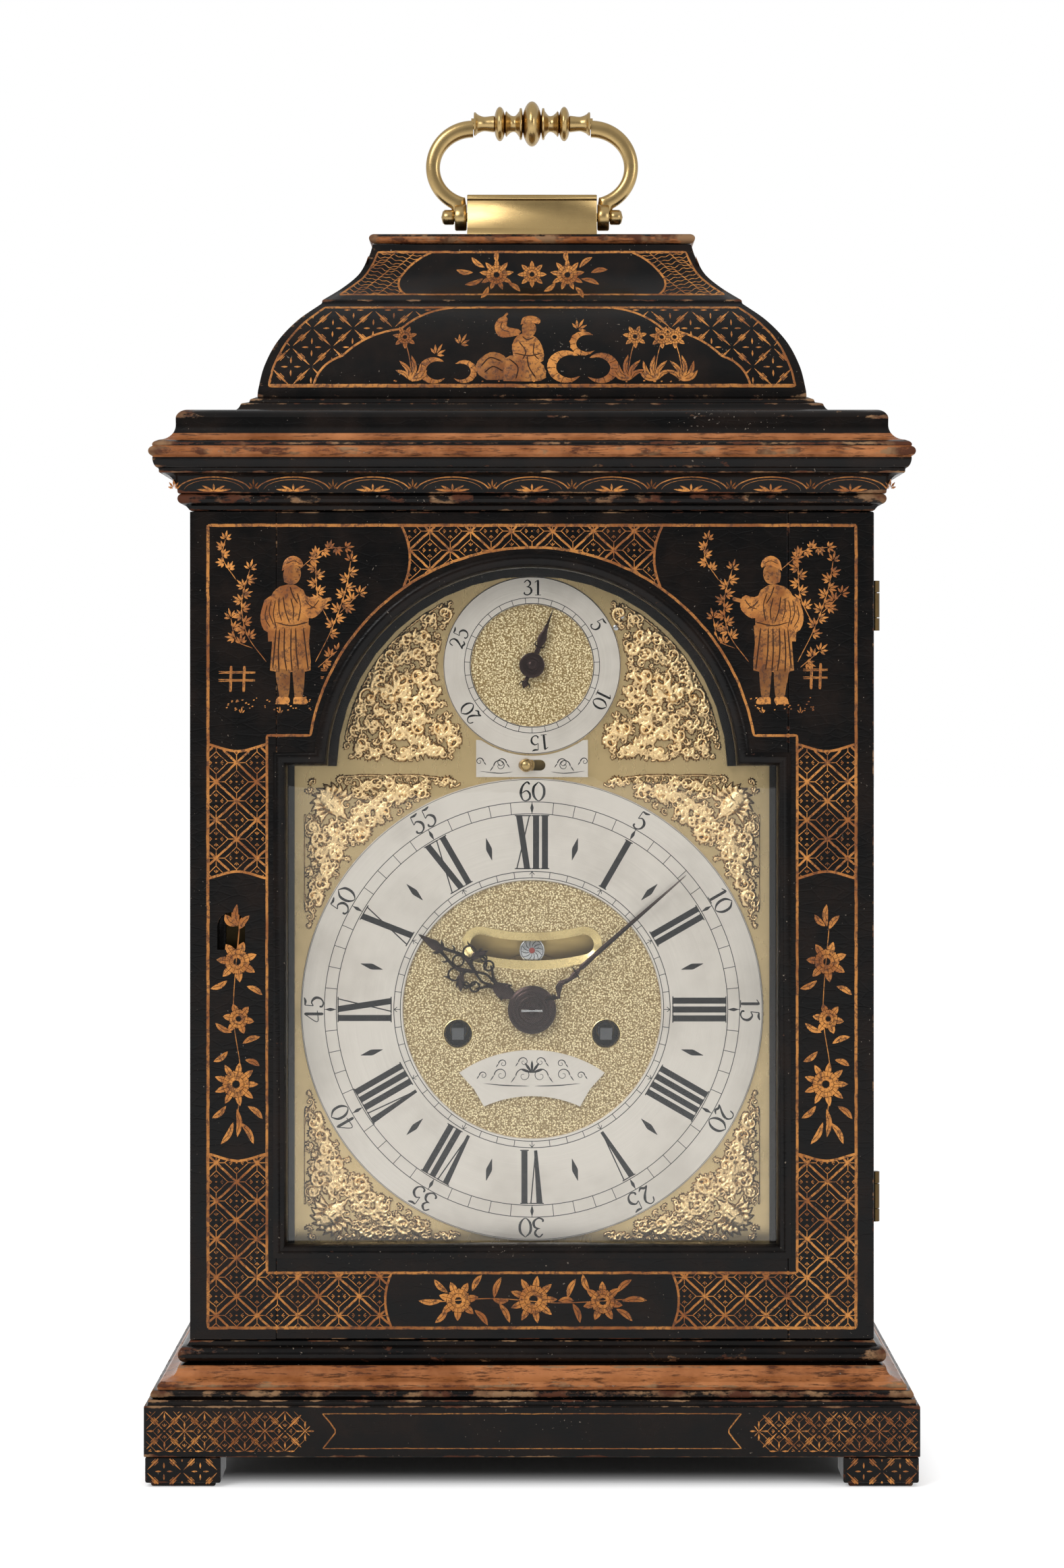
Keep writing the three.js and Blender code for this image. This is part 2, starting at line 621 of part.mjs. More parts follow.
// ---------------------------------------------------------------- doors
const doorLow = caseBottom + doorClearance;
const doorHigh = caseTop - doorClearance;
const woodHalf = sightHalfWidth + mouldingWidth;
const woodBottom = sightBottom - mouldingWidth;
const woodShoulder = sightShoulder + mouldingWidth;
const woodArch = sightArch + mouldingWidth;
const stileInner = halfW - stileWidth;
const keyholeInset = 15.1; // its middle, from the side of the case
const woodOpening = (inset, steps) =>
  breakArch(woodHalf - inset, woodBottom + inset, woodShoulder - inset, woodArch - inset, steps);

// Head of the door: the rail above the shoulders with the arch cut out of it.
const archStart = THREE.MathUtils.radToDeg(Math.asin((woodShoulder - archCentre) / woodArch));
const headOutline = [
  [-stileInner, woodShoulder],
  ...arc(0, archCentre, woodArch, woodArch, 180 - archStart, archStart, 24),
  [stileInner, woodShoulder],
  [stileInner, doorHigh],
  [-stileInner, doorHigh],
];
add("door_head", upright(shapeOf(headOutline), -halfD, doorBack), japan());
add("door_rail", box(-stileInner, stileInner, -halfD, doorBack, doorLow, woodBottom), japan());

const stile = box(stileInner, halfW, -halfD, doorBack, doorLow, doorHigh);
add("door_stile_right", cut(stile, ...hingeHeights.map((z) => leafRecess(z, frontJoint, -1))), japan());

// Lock in the left stile, let into the back of the door, with a bolt that shoots into the side board.
const lockPlate = {
  x0: -inner.x + 2 * seam, x1: -stileInner - 2 * seam, z0: boltHeight - 15, z1: boltHeight + 15,
};
const lockFront = doorBack - 6;
const lockBack = doorBack + 5.6;
const boltY = { y0: frontJoint + 1.2, y1: frontJoint + 5 };
const boltHalf = 4.4;
const keyholeX = -halfW + keyholeInset;
const keyholeHalf = 5.1;
const keyhole = upright(shapeOf([
  [keyholeX - keyholeHalf, boltHeight - 8.6],
  [keyholeX + keyholeHalf, boltHeight - 8.6],
  ...arc(keyholeX, boltHeight, keyholeHalf, 5.2, 0, 180, 8),
]), -halfD - 1, lockFront + 1);
const lockPocket = box(lockPlate.x0 - seam, lockPlate.x1 + seam, lockFront - seam, doorBack + 1,
  lockPlate.z0 - seam, lockPlate.z1 + seam);
add("door_stile_left", cut(mirrorX(stile), keyhole, lockPocket), japan());

const boltTunnel = box(lockPlate.x0 - 1, lockPlate.x1 - 3, boltY.y0 - seam, boltY.y1 + seam,
  boltHeight - boltHalf - seam, boltHeight + boltHalf + seam);
const lockBody = box(lockPlate.x0, lockPlate.x1, lockFront, lockBack, lockPlate.z0, lockPlate.z1);
const keyPin = rodY(1.5, lockFront - 4, lockFront + 1, keyholeX + 2.6, boltHeight + 0.6, 8);
add("lock_case", join(cut(lockBody, boltTunnel), keyPin), steel());
add("lock_bolt", box(lockPlate.x0 + 0.2, lockPlate.x1 - 3 - seam, boltY.y0, boltY.y1,
  boltHeight - boltHalf, boltHeight + boltHalf), steel());

// The sight moulding runs round the opening, with a lip over the face of the door.
const mouldingBack = -halfD + 6;
add("door_moulding", sweptRing((inset) => woodOpening(inset, 20), [
  [seam, mouldingBack],
  [seam, -halfD],
  [-mouldingLip, -halfD],
  [-mouldingLip, -halfD - mouldingProud],
  ...arc(0, -halfD + 3.2, mouldingWidth, 4, -80, 0, 3),
  [mouldingWidth, mouldingBack],
], (x, z, y) => [x, y, z]), japan());
const doorPane = (y0) =>
  upright(shapeOf(woodOpening(seam * 2, 18)), y0, y0 + glassThickness);
add("door_glass", doorPane(mouldingBack + seam), glass());

// The back door is a plain glazed frame of the same outline.
const backFront = backJoint + seam / 2;
const backOutline = rectangle(-halfW, halfW, doorLow, doorHigh);
const catchX = -halfW + 19.5;
const spindleRadius = 1.8;
const backRebate = 3; // the glass is this much larger than the opening
const backOpening = (grow) => breakArch(dialHalf - 0.9 + grow, dialBottom + 5.8 - grow,
  archCentre + 2.5 + grow, dialArch - 0.5 + grow, 12);
const backFrame = cut(
  join(
    upright(pierced(backOutline, backOpening(0)), backFront, halfD),
    ...hingeHeights.map((z) => doorLeaf(z, backJoint, 1)),
  ),
  upright(shapeOf(backOpening(backRebate)), backFront - 1, backFront + 5),
  rodY(spindleRadius + 0.25, backFront - 1, halfD + 1, catchX, catchHeight),
);
add("back_door_frame", backFrame, japan());
add("back_door_glass", upright(shapeOf(backOpening(backRebate - seam)),
  backFront + 5 - seam - glassThickness, backFront + 5 - seam), glass());

const tongueBack = backJoint - 3;
add("back_catch", join(
  box(catchX - 2.5, catchX + 2.5, tongueBack - 2, tongueBack, catchHeight - 12, catchHeight + 3),
  turnedY([
    [0, tongueBack - 1], [spindleRadius, tongueBack - 1], [spindleRadius, halfD + seam],
    [2.8, halfD + seam], [2.8, halfD + 1.6], [6, halfD + 3.6], [6.4, halfD + 5.4], [5, halfD + 7.2],
    [0, halfD + 7.6],
  ], catchX, catchHeight, 10),
), brass());

// ---------------------------------------------------------------- mask and dial
const maskEdge = inner.x - seam;
const maskTop = caseTop - 3.5;
const maskOutline = [
  [-maskEdge, caseBottom + seam],
  [maskEdge, caseBottom + seam],
  [maskEdge, maskTop],
  [-maskEdge, maskTop],
  [-maskEdge, lockPlate.z1 + 2],
  [lockPlate.x1 + 2, lockPlate.z1 + 2],
  [lockPlate.x1 + 2, lockPlate.z0 - 2],
  [-maskEdge, lockPlate.z0 - 2],
];
add("mask_board", upright(pierced(maskOutline, breakArch(maskHalfWidth, maskBottom, maskShoulder, maskArch)),
  maskFront, maskFront + maskThickness), japan());

// An arched slot about the verge: its middle line has this radius.
function slotOutline(radius, halfHeight, halfChord, steps) {
  const reach = THREE.MathUtils.radToDeg(Math.asin((halfChord - halfHeight) / radius));
  const end = (angle, from) => {
    const t = THREE.MathUtils.degToRad(angle);
    const [x, z] = [radius * Math.cos(t), verge + radius * Math.sin(t)];
    return arc(x, z, halfHeight, halfHeight, from, from + 180, 5);
  };
  return [
    ...arc(0, verge, radius + halfHeight, radius + halfHeight, -90 - reach, -90 + reach, steps),
    ...end(-90 + reach, -90 + reach).slice(1),
    ...arc(0, verge, radius - halfHeight, radius - halfHeight, -90 + reach, -90 - reach, steps),
    ...end(-90 - reach, 90 - reach).slice(1),
  ];
}
const centreBore = 4.7;
const dateBore = 2.4;
const slideSlot = [
  ...arc(slideHalf - slideRadius, slideHeight, slideRadius, slideRadius, -90, 90, 4),
  ...arc(-slideHalf + slideRadius, slideHeight, slideRadius, slideRadius, 90, 270, 4),
];
const feetX = dialHalf - 36.9;
const feetPlaces = [-feetX, feetX].flatMap((x) => [[x, dialBottom + 29.8], [x, dialShoulder - 22.3]]);
const dialSheet = upright(pierced(
  breakArch(dialHalf, dialBottom, dialShoulder, dialArch),
  circle(0, dialCentre, centreBore),
  circle(-windingX, windingZ, windingHole),
  circle(windingX, windingZ, windingHole),
  circle(0, dateCentre, dateBore, 10),
  slotOutline(slotRadius, slotHeight / 2, slotHalfChord, 8),
  slideSlot,
), dialFront, dialBack);
const dialFoot = ([x, z]) => rodY(2.6, dialBack - 1, frontPlateY - seam, x, z, 6);

const ringBack = ringFront + ringThickness;
const flatRing = (z, outer, innerRadius, steps) =>
  upright(pierced(circle(0, z, outer, steps), circle(0, z, innerRadius, steps)), ringFront, ringBack);
add("chapter_ring", flatRing(dialCentre, chapterOuter, chapterInner, 40), silvered());
add("date_ring", flatRing(dateCentre, dateOuter, dateInner, 24), silvered());

const labelCurve = arc(0, dateCentre, dateOuter + 2 * seam, dateOuter + 2 * seam, -128, -52, 10);
const labelThickness = 0.9;
add("strike_silent_plate", upright(pierced([
  [-labelHalf, slideHeight - labelDrop],
  [labelHalf, slideHeight - labelDrop],
  [labelHalf, slideHeight + labelRise],
  ...labelCurve.toReversed()
    .filter(([x, z]) => Math.abs(x) < labelHalf - 0.2 && z < slideHeight + labelRise),
  [-labelHalf, slideHeight + labelRise],
], slideSlot), ringBack - labelThickness, ringBack), silvered());

add("name_plaque", upright(shapeOf([
  ...arc(0, dialCentre - 65.1, 38, 32.9, 118, 62, 8),
  [21.6, dialCentre - 29.5],
  ...arc(0, dialCentre - 51.1, 42, 36, 50, 130, 8),
  [-21.6, dialCentre - 29.5],
]), ringBack - labelThickness, ringBack), silvered());

// Cast spandrels: a lobed corner plate whose long edge follows the chapter ring.
function cornerSpandrel(signX, signZ) {
  const centreZ = dialCentre;
  const clear = chapterOuter + 1.2;
  const edgeX = maskHalfWidth - 2;
  const edgeZ = signZ > 0 ? dialShoulder - centreZ - 3.4 : centreZ - dialBottom - 3;
  const outline = [];
  outline.push(...arc(0, 0, clear, clear, 73, 17, 6));
  const lobes = 3;
  for (let i = 0; i <= lobes * 2; i++) {
    const t = i / (lobes * 2);
    const wave = 1.6 * Math.abs(Math.sin(Math.PI * lobes * t));
    const low = 34 + (edgeZ - 35.6) * t - 1.6 * t;
    outline.push([edgeX - 1.6 + wave - 2.5 * (1 - t), low]);
  }
  for (let i = 1; i <= lobes * 2; i++) {
    const t = i / (lobes * 2);
    const wave = 1.6 * Math.abs(Math.sin(Math.PI * lobes * t));
    outline.push([edgeX - 1.6 - (edgeX - 35.6) * t, edgeZ - 1.6 + wave - 2.5 * t]);
  }
  const placed = outline.map(([x, z]) => [signX * x, centreZ + signZ * z]);
  return upright(shapeOf(placed), dialFront - spandrelThickness, dialFront + 0.5);
}
const spandrelThickness = 2.4;

// Arch spandrels fill the space between the date ring and the arch.
function archSpandrel(signX) {
  const outer = maskArch - 2.5;
  const clear = dateOuter + 1.5;
  const outline = [];
  const steps = 8;
  for (let i = 0; i <= steps; i++) {
    const t = i / steps;
    const angle = THREE.MathUtils.degToRad(8 + 56 * t);
    const wave = 1.5 * Math.abs(Math.sin(Math.PI * 4 * t));
    const reach = outer - 1.5 + wave;
    outline.push([reach * Math.cos(angle), archCentre + reach * Math.sin(angle)]);
  }
  outline.push(...arc(0, dateCentre, clear, clear, 40, -46, 6));
  outline.push([27, archCentre + 5], [40, archCentre + 3.7]);
  const placed = outline.map(([x, z]) => [signX * x, z]);
  return upright(shapeOf(placed), dialFront - spandrelThickness, dialFront + 0.5);
}
// Feet are riveted and spandrels screwed to the sheet, so the dial plate carries them as one piece.
add("dial_plate", join(
  dialSheet, ...feetPlaces.map(dialFoot),
  cornerSpandrel(-1, 1), cornerSpandrel(1, 1), cornerSpandrel(-1, -1), cornerSpandrel(1, -1),
  archSpandrel(-1), archSpandrel(1)), brass());

// ---------------------------------------------------------------- hands
const handThickness = 0.8;
const hourY = ringFront - 1.8;
const minuteY = hourY - 2.2;
const hourAngle = 303.6; // degrees clockwise from twelve
const minuteAngle = 48.8;
const dateAngle = 20.7;
const hourLength = 50.7;
const minuteLength = 76;
const cannonRadius = 2.6;
const hourPipe = { inner: 3, outer: 4 };
const clockwise = (geometry, degrees, z) =>
  geometry.rotateY(THREE.MathUtils.degToRad(degrees)).translate(0, 0, z);
const ringBar = (x, z, outer, innerRadius, y) =>
  upright(pierced(circle(x, z, outer, 7), circle(x, z, innerRadius, 5)), y, y + handThickness);

// A strap of changing width along a list of [x, z, half width].
function strapShape(line) {
  const left = [];
  const right = [];
  line.forEach(([x, z, half], i) => {
    const [px, pz] = line[Math.max(i - 1, 0)];
    const [nx, nz] = line[Math.min(i + 1, line.length - 1)];
    const length = Math.hypot(nx - px, nz - pz);
    const [dx, dz] = [(nx - px) / length, (nz - pz) / length];
    left.push([x - dz * half, z + dx * half]);
    right.push([x + dz * half, z - dx * half]);
  });
  return shapeOf([...left, ...right.toReversed()]);
}
const strapBar = (line, y) => upright(strapShape(line), y, y + handThickness);

// Hour hand: a leaf at the root, two pierced scrolls either side and a spear point.
const hourStrap = [
  [[0, 8, 1], [0, 10.4, 2.6], [0, 13.4, 2.9], [0, 16.4, 1.5], [0, 19.6, 0.7]],
  [[0, 40.6, 0.7], [0, 42.6, 2], [0, 45, 1.2], [0, hourLength, 0.15]],
];
const hourSide = (sign) => [
  [[sign * 0.3, 18.2, 0.7], [sign * 4.4, 22.6, 0.8], [sign * 5.2, 28, 0.8], [sign * 1.4, 33.6, 0.8],
    [sign * 2.2, 37.6, 0.7], [sign * 0.2, 41.6, 0.7]],
  [[sign * 1.2, 31.4, 0.7], [sign * 4.6, 33.6, 0.7], [sign * 6.6, 38, 0.5]],
];
const hourScrolls = (sign) => [
  ringBar(sign * 7.2, 25.4, 2.3, 1.5, hourY),
  ringBar(sign * 6.1, 31.2, 2.4, 1.5, hourY),
];
const hourBars = [...hourStrap, ...hourSide(-1), ...hourSide(1)].map((line) => strapBar(line, hourY));
const hourBoss = rodY(9, hourY, hourY + handThickness, 0, 0, 14);
const hourBore = rodY(hourPipe.inner, hourY - 5, hourY + 5, 0, 0, 8);
const hourHand = cut(
  join(hourBoss, ...hourBars, ...hourScrolls(-1), ...hourScrolls(1)), hourBore);

const minuteBars = [
  [[0, 4, 1.4], [-1.2, 9.4, 0.9], [-2, 11.4, 1.2], [-1.2, 13.8, 1.3], [1, 16, 1.1], [1.2, 18.6, 0.8],
    [0.1, 21.4, 0.9], [0, 24, 1.4], [0, 26, 1.1], [0, 34, 0.85], [0, 60, 0.5], [0, minuteLength, 0.15]],
  [[-3, 24.8, 0.3], [0, 24.4, 0.5], [3, 24.8, 0.3]],
].map((line) => strapBar(line, minuteY));
const minuteBoss = rodY(6, minuteY, minuteY + handThickness, 0, 0, 16);
const minuteBore = rodY(cannonRadius + 0.1, minuteY - 5, minuteY + 5, 0, 0, 8);
add("minute_hand", clockwise(
  cut(join(minuteBoss, ...minuteBars), minuteBore), minuteAngle, dialCentre), blued());

const dateBars = [
  [[0, 3, 1.2], [0, 7, 0.9], [0, 10, 1.7], [0, 14, 0.8], [0, 22.4, 0.15]],
  [[0, -3, 0.9], [0, -7, 1.3], [0, -9, 0.3]],
].map((line) => strapBar(line, hourY));
const dateHub = turnedY([
  [0, hourY - 1.2], [2, hourY - 1], [2, hourY - 0.1], [4.7, hourY - 0.1], [4.7, hourY + handThickness],
  [dateBore - 0.4, hourY + handThickness], [dateBore - 0.4, dialBack + seam], [4.2, dialBack + seam],
  [4.2, dialBack + 1.3], [0, dialBack + 1.3],
], 0, 0, 10);
add("date_hand", clockwise(join(dateHub, ...dateBars), dateAngle, dateCentre), blued());

add("strike_lever", turnedY([
  [0, ringFront - 4.6], [1.6, ringFront - 4.1], [2.5, ringFront - 2.6], [1.9, ringFront - 0.8],
  [1.5, ringFront - 0.3], [1.5, dialBack + seam], [3.2, dialBack + seam], [3.2, dialBack + 1.1],
  [0, dialBack + 1.1],
], -slideTravel / 2, slideHeight, 14), brass());

// Cannon: the pipe of the minute hand, with its collet and cross pin in front.
const cannonWheelY = frontPlateY - 2.2;
const hourWheelY = cannonWheelY - 3.4;
const cannonFront = minuteY - 3.2;
add("hand_collet", join(
  turnedY([
    [0, minuteY - 3.4], [3.2, minuteY - 3.1], [4.9, minuteY - 1.7], [5.2, minuteY - 0.5],
    [5.2, minuteY - 0.1], [0, minuteY - 0.1],
  ], 0, dialCentre, 14),
  rodX(0.6, -4, 4, minuteY - 3.2, dialCentre, 6),
), steel());

// ---------------------------------------------------------------- motion work
const motionDistance = 22; // cannon arbor to minute arbor
const cannonTeeth = 20;
const hourTeeth = 60;
const minutePinionLeaves = 5;
const hourRatio = hourTeeth / minutePinionLeaves;
const cannonPitch = motionDistance / 2;
const hourPitch = (motionDistance * hourRatio) / (hourRatio + 1);
const pinionPitch = motionDistance / (hourRatio + 1);
const minuteZ = dialCentre - motionDistance;
const wheelThickness = 1.6;
const down = -Math.PI / 2;

// A wheel at x, z with a tooth (phase 0) or a gap (phase 0.5) at the given angle from +X.
const phased = (teeth, angle, phase) => angle + (phase * 2 * Math.PI) / teeth;

add("cannon_wheel", join(
  wheel(cannonTeeth, cannonPitch, 4, 4.4, cannonWheelY, cannonWheelY + wheelThickness, 0, dialCentre, 0,
    phased(cannonTeeth, down, 0)),
  rodY(cannonRadius, minuteY, cannonWheelY + 0.5, 0, dialCentre, 8),
), brass());
add("hour_hand", join(clockwise(hourHand, hourAngle, dialCentre), cut(join(
  wheel(hourTeeth, hourPitch, 0, 7, hourWheelY, hourWheelY + wheelThickness, 0, dialCentre, 0,
    phased(hourTeeth, down, 0)),
  rodY(hourPipe.outer + 0.4, hourY, hourWheelY + 0.5, 0, dialCentre, 8),
), rodY(hourPipe.inner, hourY - 1, hourWheelY + 5, 0, dialCentre, 8))), blued());
add("minute_wheel", join(
  wheel(cannonTeeth, cannonPitch, 0, 4, cannonWheelY, cannonWheelY + wheelThickness, 0, minuteZ, 0,
    phased(cannonTeeth, -down, 0.5)),
  wheel(minutePinionLeaves, pinionPitch, 0, 1, hourWheelY - 0.6, cannonWheelY + 0.5, 0, minuteZ, 0,
    phased(minutePinionLeaves, -down, 0.5)),
  rodY(1, hourWheelY - 2.4, frontPlateY + plateThickness - 0.5, 0, minuteZ, 10),
), brass());

// ---------------------------------------------------------------- movement frame
const pivotRadius = 1.1;
const arborRadius = 3;
const backPlateY = platesBackY;
const strikeArbor = { x: -42, z: dialCentre + 11.4 };
const contrateZ = dialCentre + 26.4;
const barrelX = 30;
const barrelZ = seatTop + 21;
const hammerArbor = { x: -51, z: dialCentre + 64.9 };
const bore = (x, z, r, sides = 6) => circle(x, z, (r + seam) / Math.cos(Math.PI / sides), sides);
const frame = rectangle(-platesWidth / 2, platesWidth / 2, seatTop, platesTop);
const sharedBores = [
  bore(-barrelX, barrelZ, pivotRadius), bore(barrelX, barrelZ, pivotRadius),
  bore(strikeArbor.x, strikeArbor.z, pivotRadius), bore(0, contrateZ, pivotRadius),
  bore(hammerArbor.x, hammerArbor.z, pivotRadius), bore(0, verge, 1.6),
];
add("front_plate", upright(pierced(frame, ...sharedBores,
  bore(-windingX, windingZ, arborRadius, 8), bore(windingX, windingZ, arborRadius, 8),
  bore(0, dialCentre, pivotRadius), bore(0, minuteZ, 1),
), frontPlateY, frontPlateY + plateThickness), brass());

const pillarX = platesWidth / 2 - 5;
const pillarPlaces = [-pillarX, pillarX].flatMap((x) => [[x, seatTop + 6], [x, platesTop - 5]]);
const pillarY = frontPlateY + plateThickness + platesGap / 2; // its turned knop is a little behind
const pillar = ([x, z]) => turnedY([
  [0, frontPlateY + plateThickness + seam], [4, frontPlateY + plateThickness + seam],
  [2.6, pillarY - 2.5], [4.2, pillarY + 1.5], [2.6, pillarY + 5.5], [4, backPlateY + 1], [0, backPlateY + 1],
], x, z, 6);
const backCock = box(-14, 14, backPlateY + plateThickness - 0.5, backPlateY + plateThickness + 3,
  verge - 7, verge + 9);
add("back_plate", cut(join(
  upright(pierced(frame, ...sharedBores,
    bore(-windingX, windingZ, pivotRadius), bore(windingX, windingZ, pivotRadius),
    bore(0, dialCentre, pivotRadius),
  ), backPlateY, backPlateY + plateThickness),
  backCock,
  ...pillarPlaces.map(pillar),
), rodY(1.9, backPlateY - 1, backPlateY + 9, 0, verge)), brass());
add("seat_board", box(
  -maskEdge, maskEdge, -seatHalfDepth, seatHalfDepth, seatTop - seatThickness, seatTop), oak());

// ---------------------------------------------------------------- barrels, fusees and trains
const pivotBack = backPlateY + plateThickness - 0.5;
const pivotFront = frontPlateY + 0.5;
const arborFront = frontPlateY + plateThickness + seam;
const arborBack = backPlateY - seam;
const greatY = arborFront + 4.6;
const greatThickness = 2.2;

function barrel(x) {
  return turnedY([
    [0, pivotFront], [pivotRadius, pivotFront], [pivotRadius, arborFront], [2.6, arborFront],
    [2.6, greatY + 4], [19.4, greatY + 4], [19.4, greatY + 5.4], [18.6, greatY + 5.6],
    [18.6, backPlateY - 11], [19.4, backPlateY - 10.8], [19.4, backPlateY - 9.4], [2.6, backPlateY - 9.4],
    [2.6, arborBack], [pivotRadius, arborBack], [pivotRadius, pivotBack], [0, pivotBack],
  ], x, barrelZ, 10);
}
add("going_barrel", barrel(barrelX), brass());
add("strike_barrel", barrel(-barrelX), brass());

// The fusee narrows away from its great wheel in steps, one for each turn of the line.
function fusee(x) {
  const turns = 4;
  const [start, end] = [greatY + greatThickness + 1.4, backPlateY - 12];
  const cone = [];
  for (let i = 0; i <= turns; i++) {
    const y = start + ((end - start) * i) / turns;
    const r = 9 + 9.6 / (1 + 1.6 * (i / turns));
    cone.push([r, y], [r - 1, y + 1.6]);
  }
  const body = turnedY([
    [0, frontPlateY - 4], [arborRadius, frontPlateY - 4], [arborRadius, start - 0.8], [18, start - 0.8],
    ...cone, [arborRadius, end + 2], [arborRadius, arborBack], [pivotRadius, arborBack],
    [pivotRadius, pivotBack], [0, pivotBack],
  ], x, windingZ, 10);
  const half = squareSide / 2;
  const square = box(
    x - half, x + half, dialFront - 0.4, frontPlateY - 3.6, windingZ - half, windingZ + half);
  return join(body, square);
}
add("going_fusee", fusee(windingX), brass());
add("strike_fusee", fusee(-windingX), brass());

// Great wheels ride on the fusee arbors and drive the first pinion of each train.
const centreDistance = Math.hypot(windingX, windingDrop);
const goingTeeth = { great: 36, pinion: 6 };
const goingPitch = (centreDistance * goingTeeth.great) / (goingTeeth.great + goingTeeth.pinion);
const centrePinion = centreDistance - goingPitch;
const strikeDistance = Math.hypot(strikeArbor.x + windingX, strikeArbor.z - windingZ);
const strikeTeeth = { great: 36, pinion: 6 };
const strikePitch = (strikeDistance * strikeTeeth.great) / (strikeTeeth.great + strikeTeeth.pinion);
const strikePinion = strikeDistance - strikePitch;
const goingLine = Math.atan2(windingDrop, -windingX); // from the going fusee to the centre
const strikeLine = Math.atan2(strikeArbor.z - windingZ, strikeArbor.x + windingX);
const greatBore = arborRadius + seam;

add("going_great_wheel", wheel(goingTeeth.great, goingPitch, 4, 8, greatY, greatY + greatThickness,
  windingX, windingZ, greatBore, phased(goingTeeth.great, goingLine, 0)), brass());
add("strike_great_wheel", wheel(strikeTeeth.great, strikePitch, 4, 8, greatY, greatY + greatThickness,
  -windingX, windingZ, greatBore, phased(strikeTeeth.great, strikeLine, 0)), brass());

const centreWheelY = backPlateY - 7;
const pinionSpan = [greatY - 1, greatY + greatThickness + 1];
const arborProfile = [
  [0, pivotFront], [pivotRadius, pivotFront], [pivotRadius, arborFront], [1.6, arborFront],
  [1.6, arborBack], [pivotRadius, arborBack], [pivotRadius, pivotBack], [0, pivotBack],
];
const contrateLeaves = 6;
const centreTeeth = 36;
const contrateDistance = contrateZ - dialCentre;
const centrePitch = (contrateDistance * centreTeeth) / (centreTeeth + contrateLeaves);
add("centre_wheel", join(
  turnedY(arborProfile, 0, dialCentre, 8),
  wheel(centreTeeth, centrePitch, 4, 5, centreWheelY, centreWheelY + wheelThickness, 0, dialCentre, 0,
    phased(centreTeeth, -down, 0)),
  wheel(goingTeeth.pinion, centrePinion, 0, 1, ...pinionSpan, 0, dialCentre, 0,
    phased(goingTeeth.pinion, goingLine + Math.PI, 0.5)),
), brass());

const crownLeaves = 5;
const contrateTeeth = 20;
const contrateRadius = 16;
const crownPinion = (contrateRadius * crownLeaves) / contrateTeeth;
const contrateY = -crownPinion - 2.4; // the crown arbor stands at y = 0
const contrateRing = crownedRing(contrateTeeth, contrateRadius + 0.8, contrateRadius - 0.8, 1.2, 2.6, 0)
  .rotateX(-Math.PI / 2)
  .rotateY(phased(contrateTeeth, 0, 0) + Math.PI / 2)
  .translate(0, contrateY, contrateZ);
const crossing = (r, i) => [
  ...arc(0, 0, r, r, 90 * i + 6, 90 * i + 84, 2),
  ...arc(0, 0, 4, 4, 90 * i + 68, 90 * i + 22, 1),
];
const contrateDisc = upright(
  pierced(circle(0, 0, contrateRadius + 0.5, 18),
    ...[0, 1, 2, 3].map((i) => crossing(contrateRadius - 2.4, i))),
  contrateY - 1, contrateY + 0.6).translate(0, 0, contrateZ);
add("contrate_wheel", join(
  turnedY(arborProfile, 0, contrateZ, 8),
  contrateDisc,
  contrateRing,
  wheel(contrateLeaves, contrateDistance - centrePitch, 0, 1,
    centreWheelY - 1, centreWheelY + wheelThickness + 1, 0, contrateZ, 0, phased(contrateLeaves, down, 0.5)),
), brass());

// The crown wheel stands on an upright arbor under the verge.
const crownTeeth = 13;
const crownRadius = 10;
const crownBase = verge - 12;
const pinionLow = contrateZ + contrateRadius - 2.6;
const crownFoot = contrateZ + contrateRadius - 8;
const crownPinionBody = extrude(wheelShape(crownLeaves, crownPinion, 0, 1, 0), 5.2, 4)
  .translate(0, 0, pinionLow);
add("crown_wheel", join(
  rodZ(1.2, crownFoot, crownBase + 6, 0, 0, 10),
  crownPinionBody,
  crownedRing(crownTeeth, crownRadius, crownRadius - 1, 5, 8.4, 0.7).translate(0, 0, crownBase),
  rodZ(crownRadius - 0.5, crownBase + 0.4, crownBase + 1.6, 0, 0, 12),
), brass());

const strikeWheelY = backPlateY - 3.6;
const strikePins = [0, 1, 2, 3, 4, 5].map((i) => {
  const angle = (Math.PI * i) / 3;
  const [x, z] = [strikeArbor.x + 13 * Math.cos(angle), strikeArbor.z + 13 * Math.sin(angle)];
  return rodY(0.8, strikeWheelY - 3, strikeWheelY + 0.5, x, z, 6);
});
add("pin_wheel", join(
  turnedY(arborProfile, strikeArbor.x, strikeArbor.z, 8),
  upright(pierced(circle(0, 0, 15.5, 16), ...[0, 1, 2, 3].map((i) => crossing(10.6, i))),
    strikeWheelY, strikeWheelY + wheelThickness).translate(strikeArbor.x, 0, strikeArbor.z),
  wheel(strikeTeeth.pinion, strikePinion, 0, 1, ...pinionSpan, strikeArbor.x, strikeArbor.z, 0,
    phased(strikeTeeth.pinion, strikeLine + Math.PI, 0.5)),
  ...strikePins,
), brass());

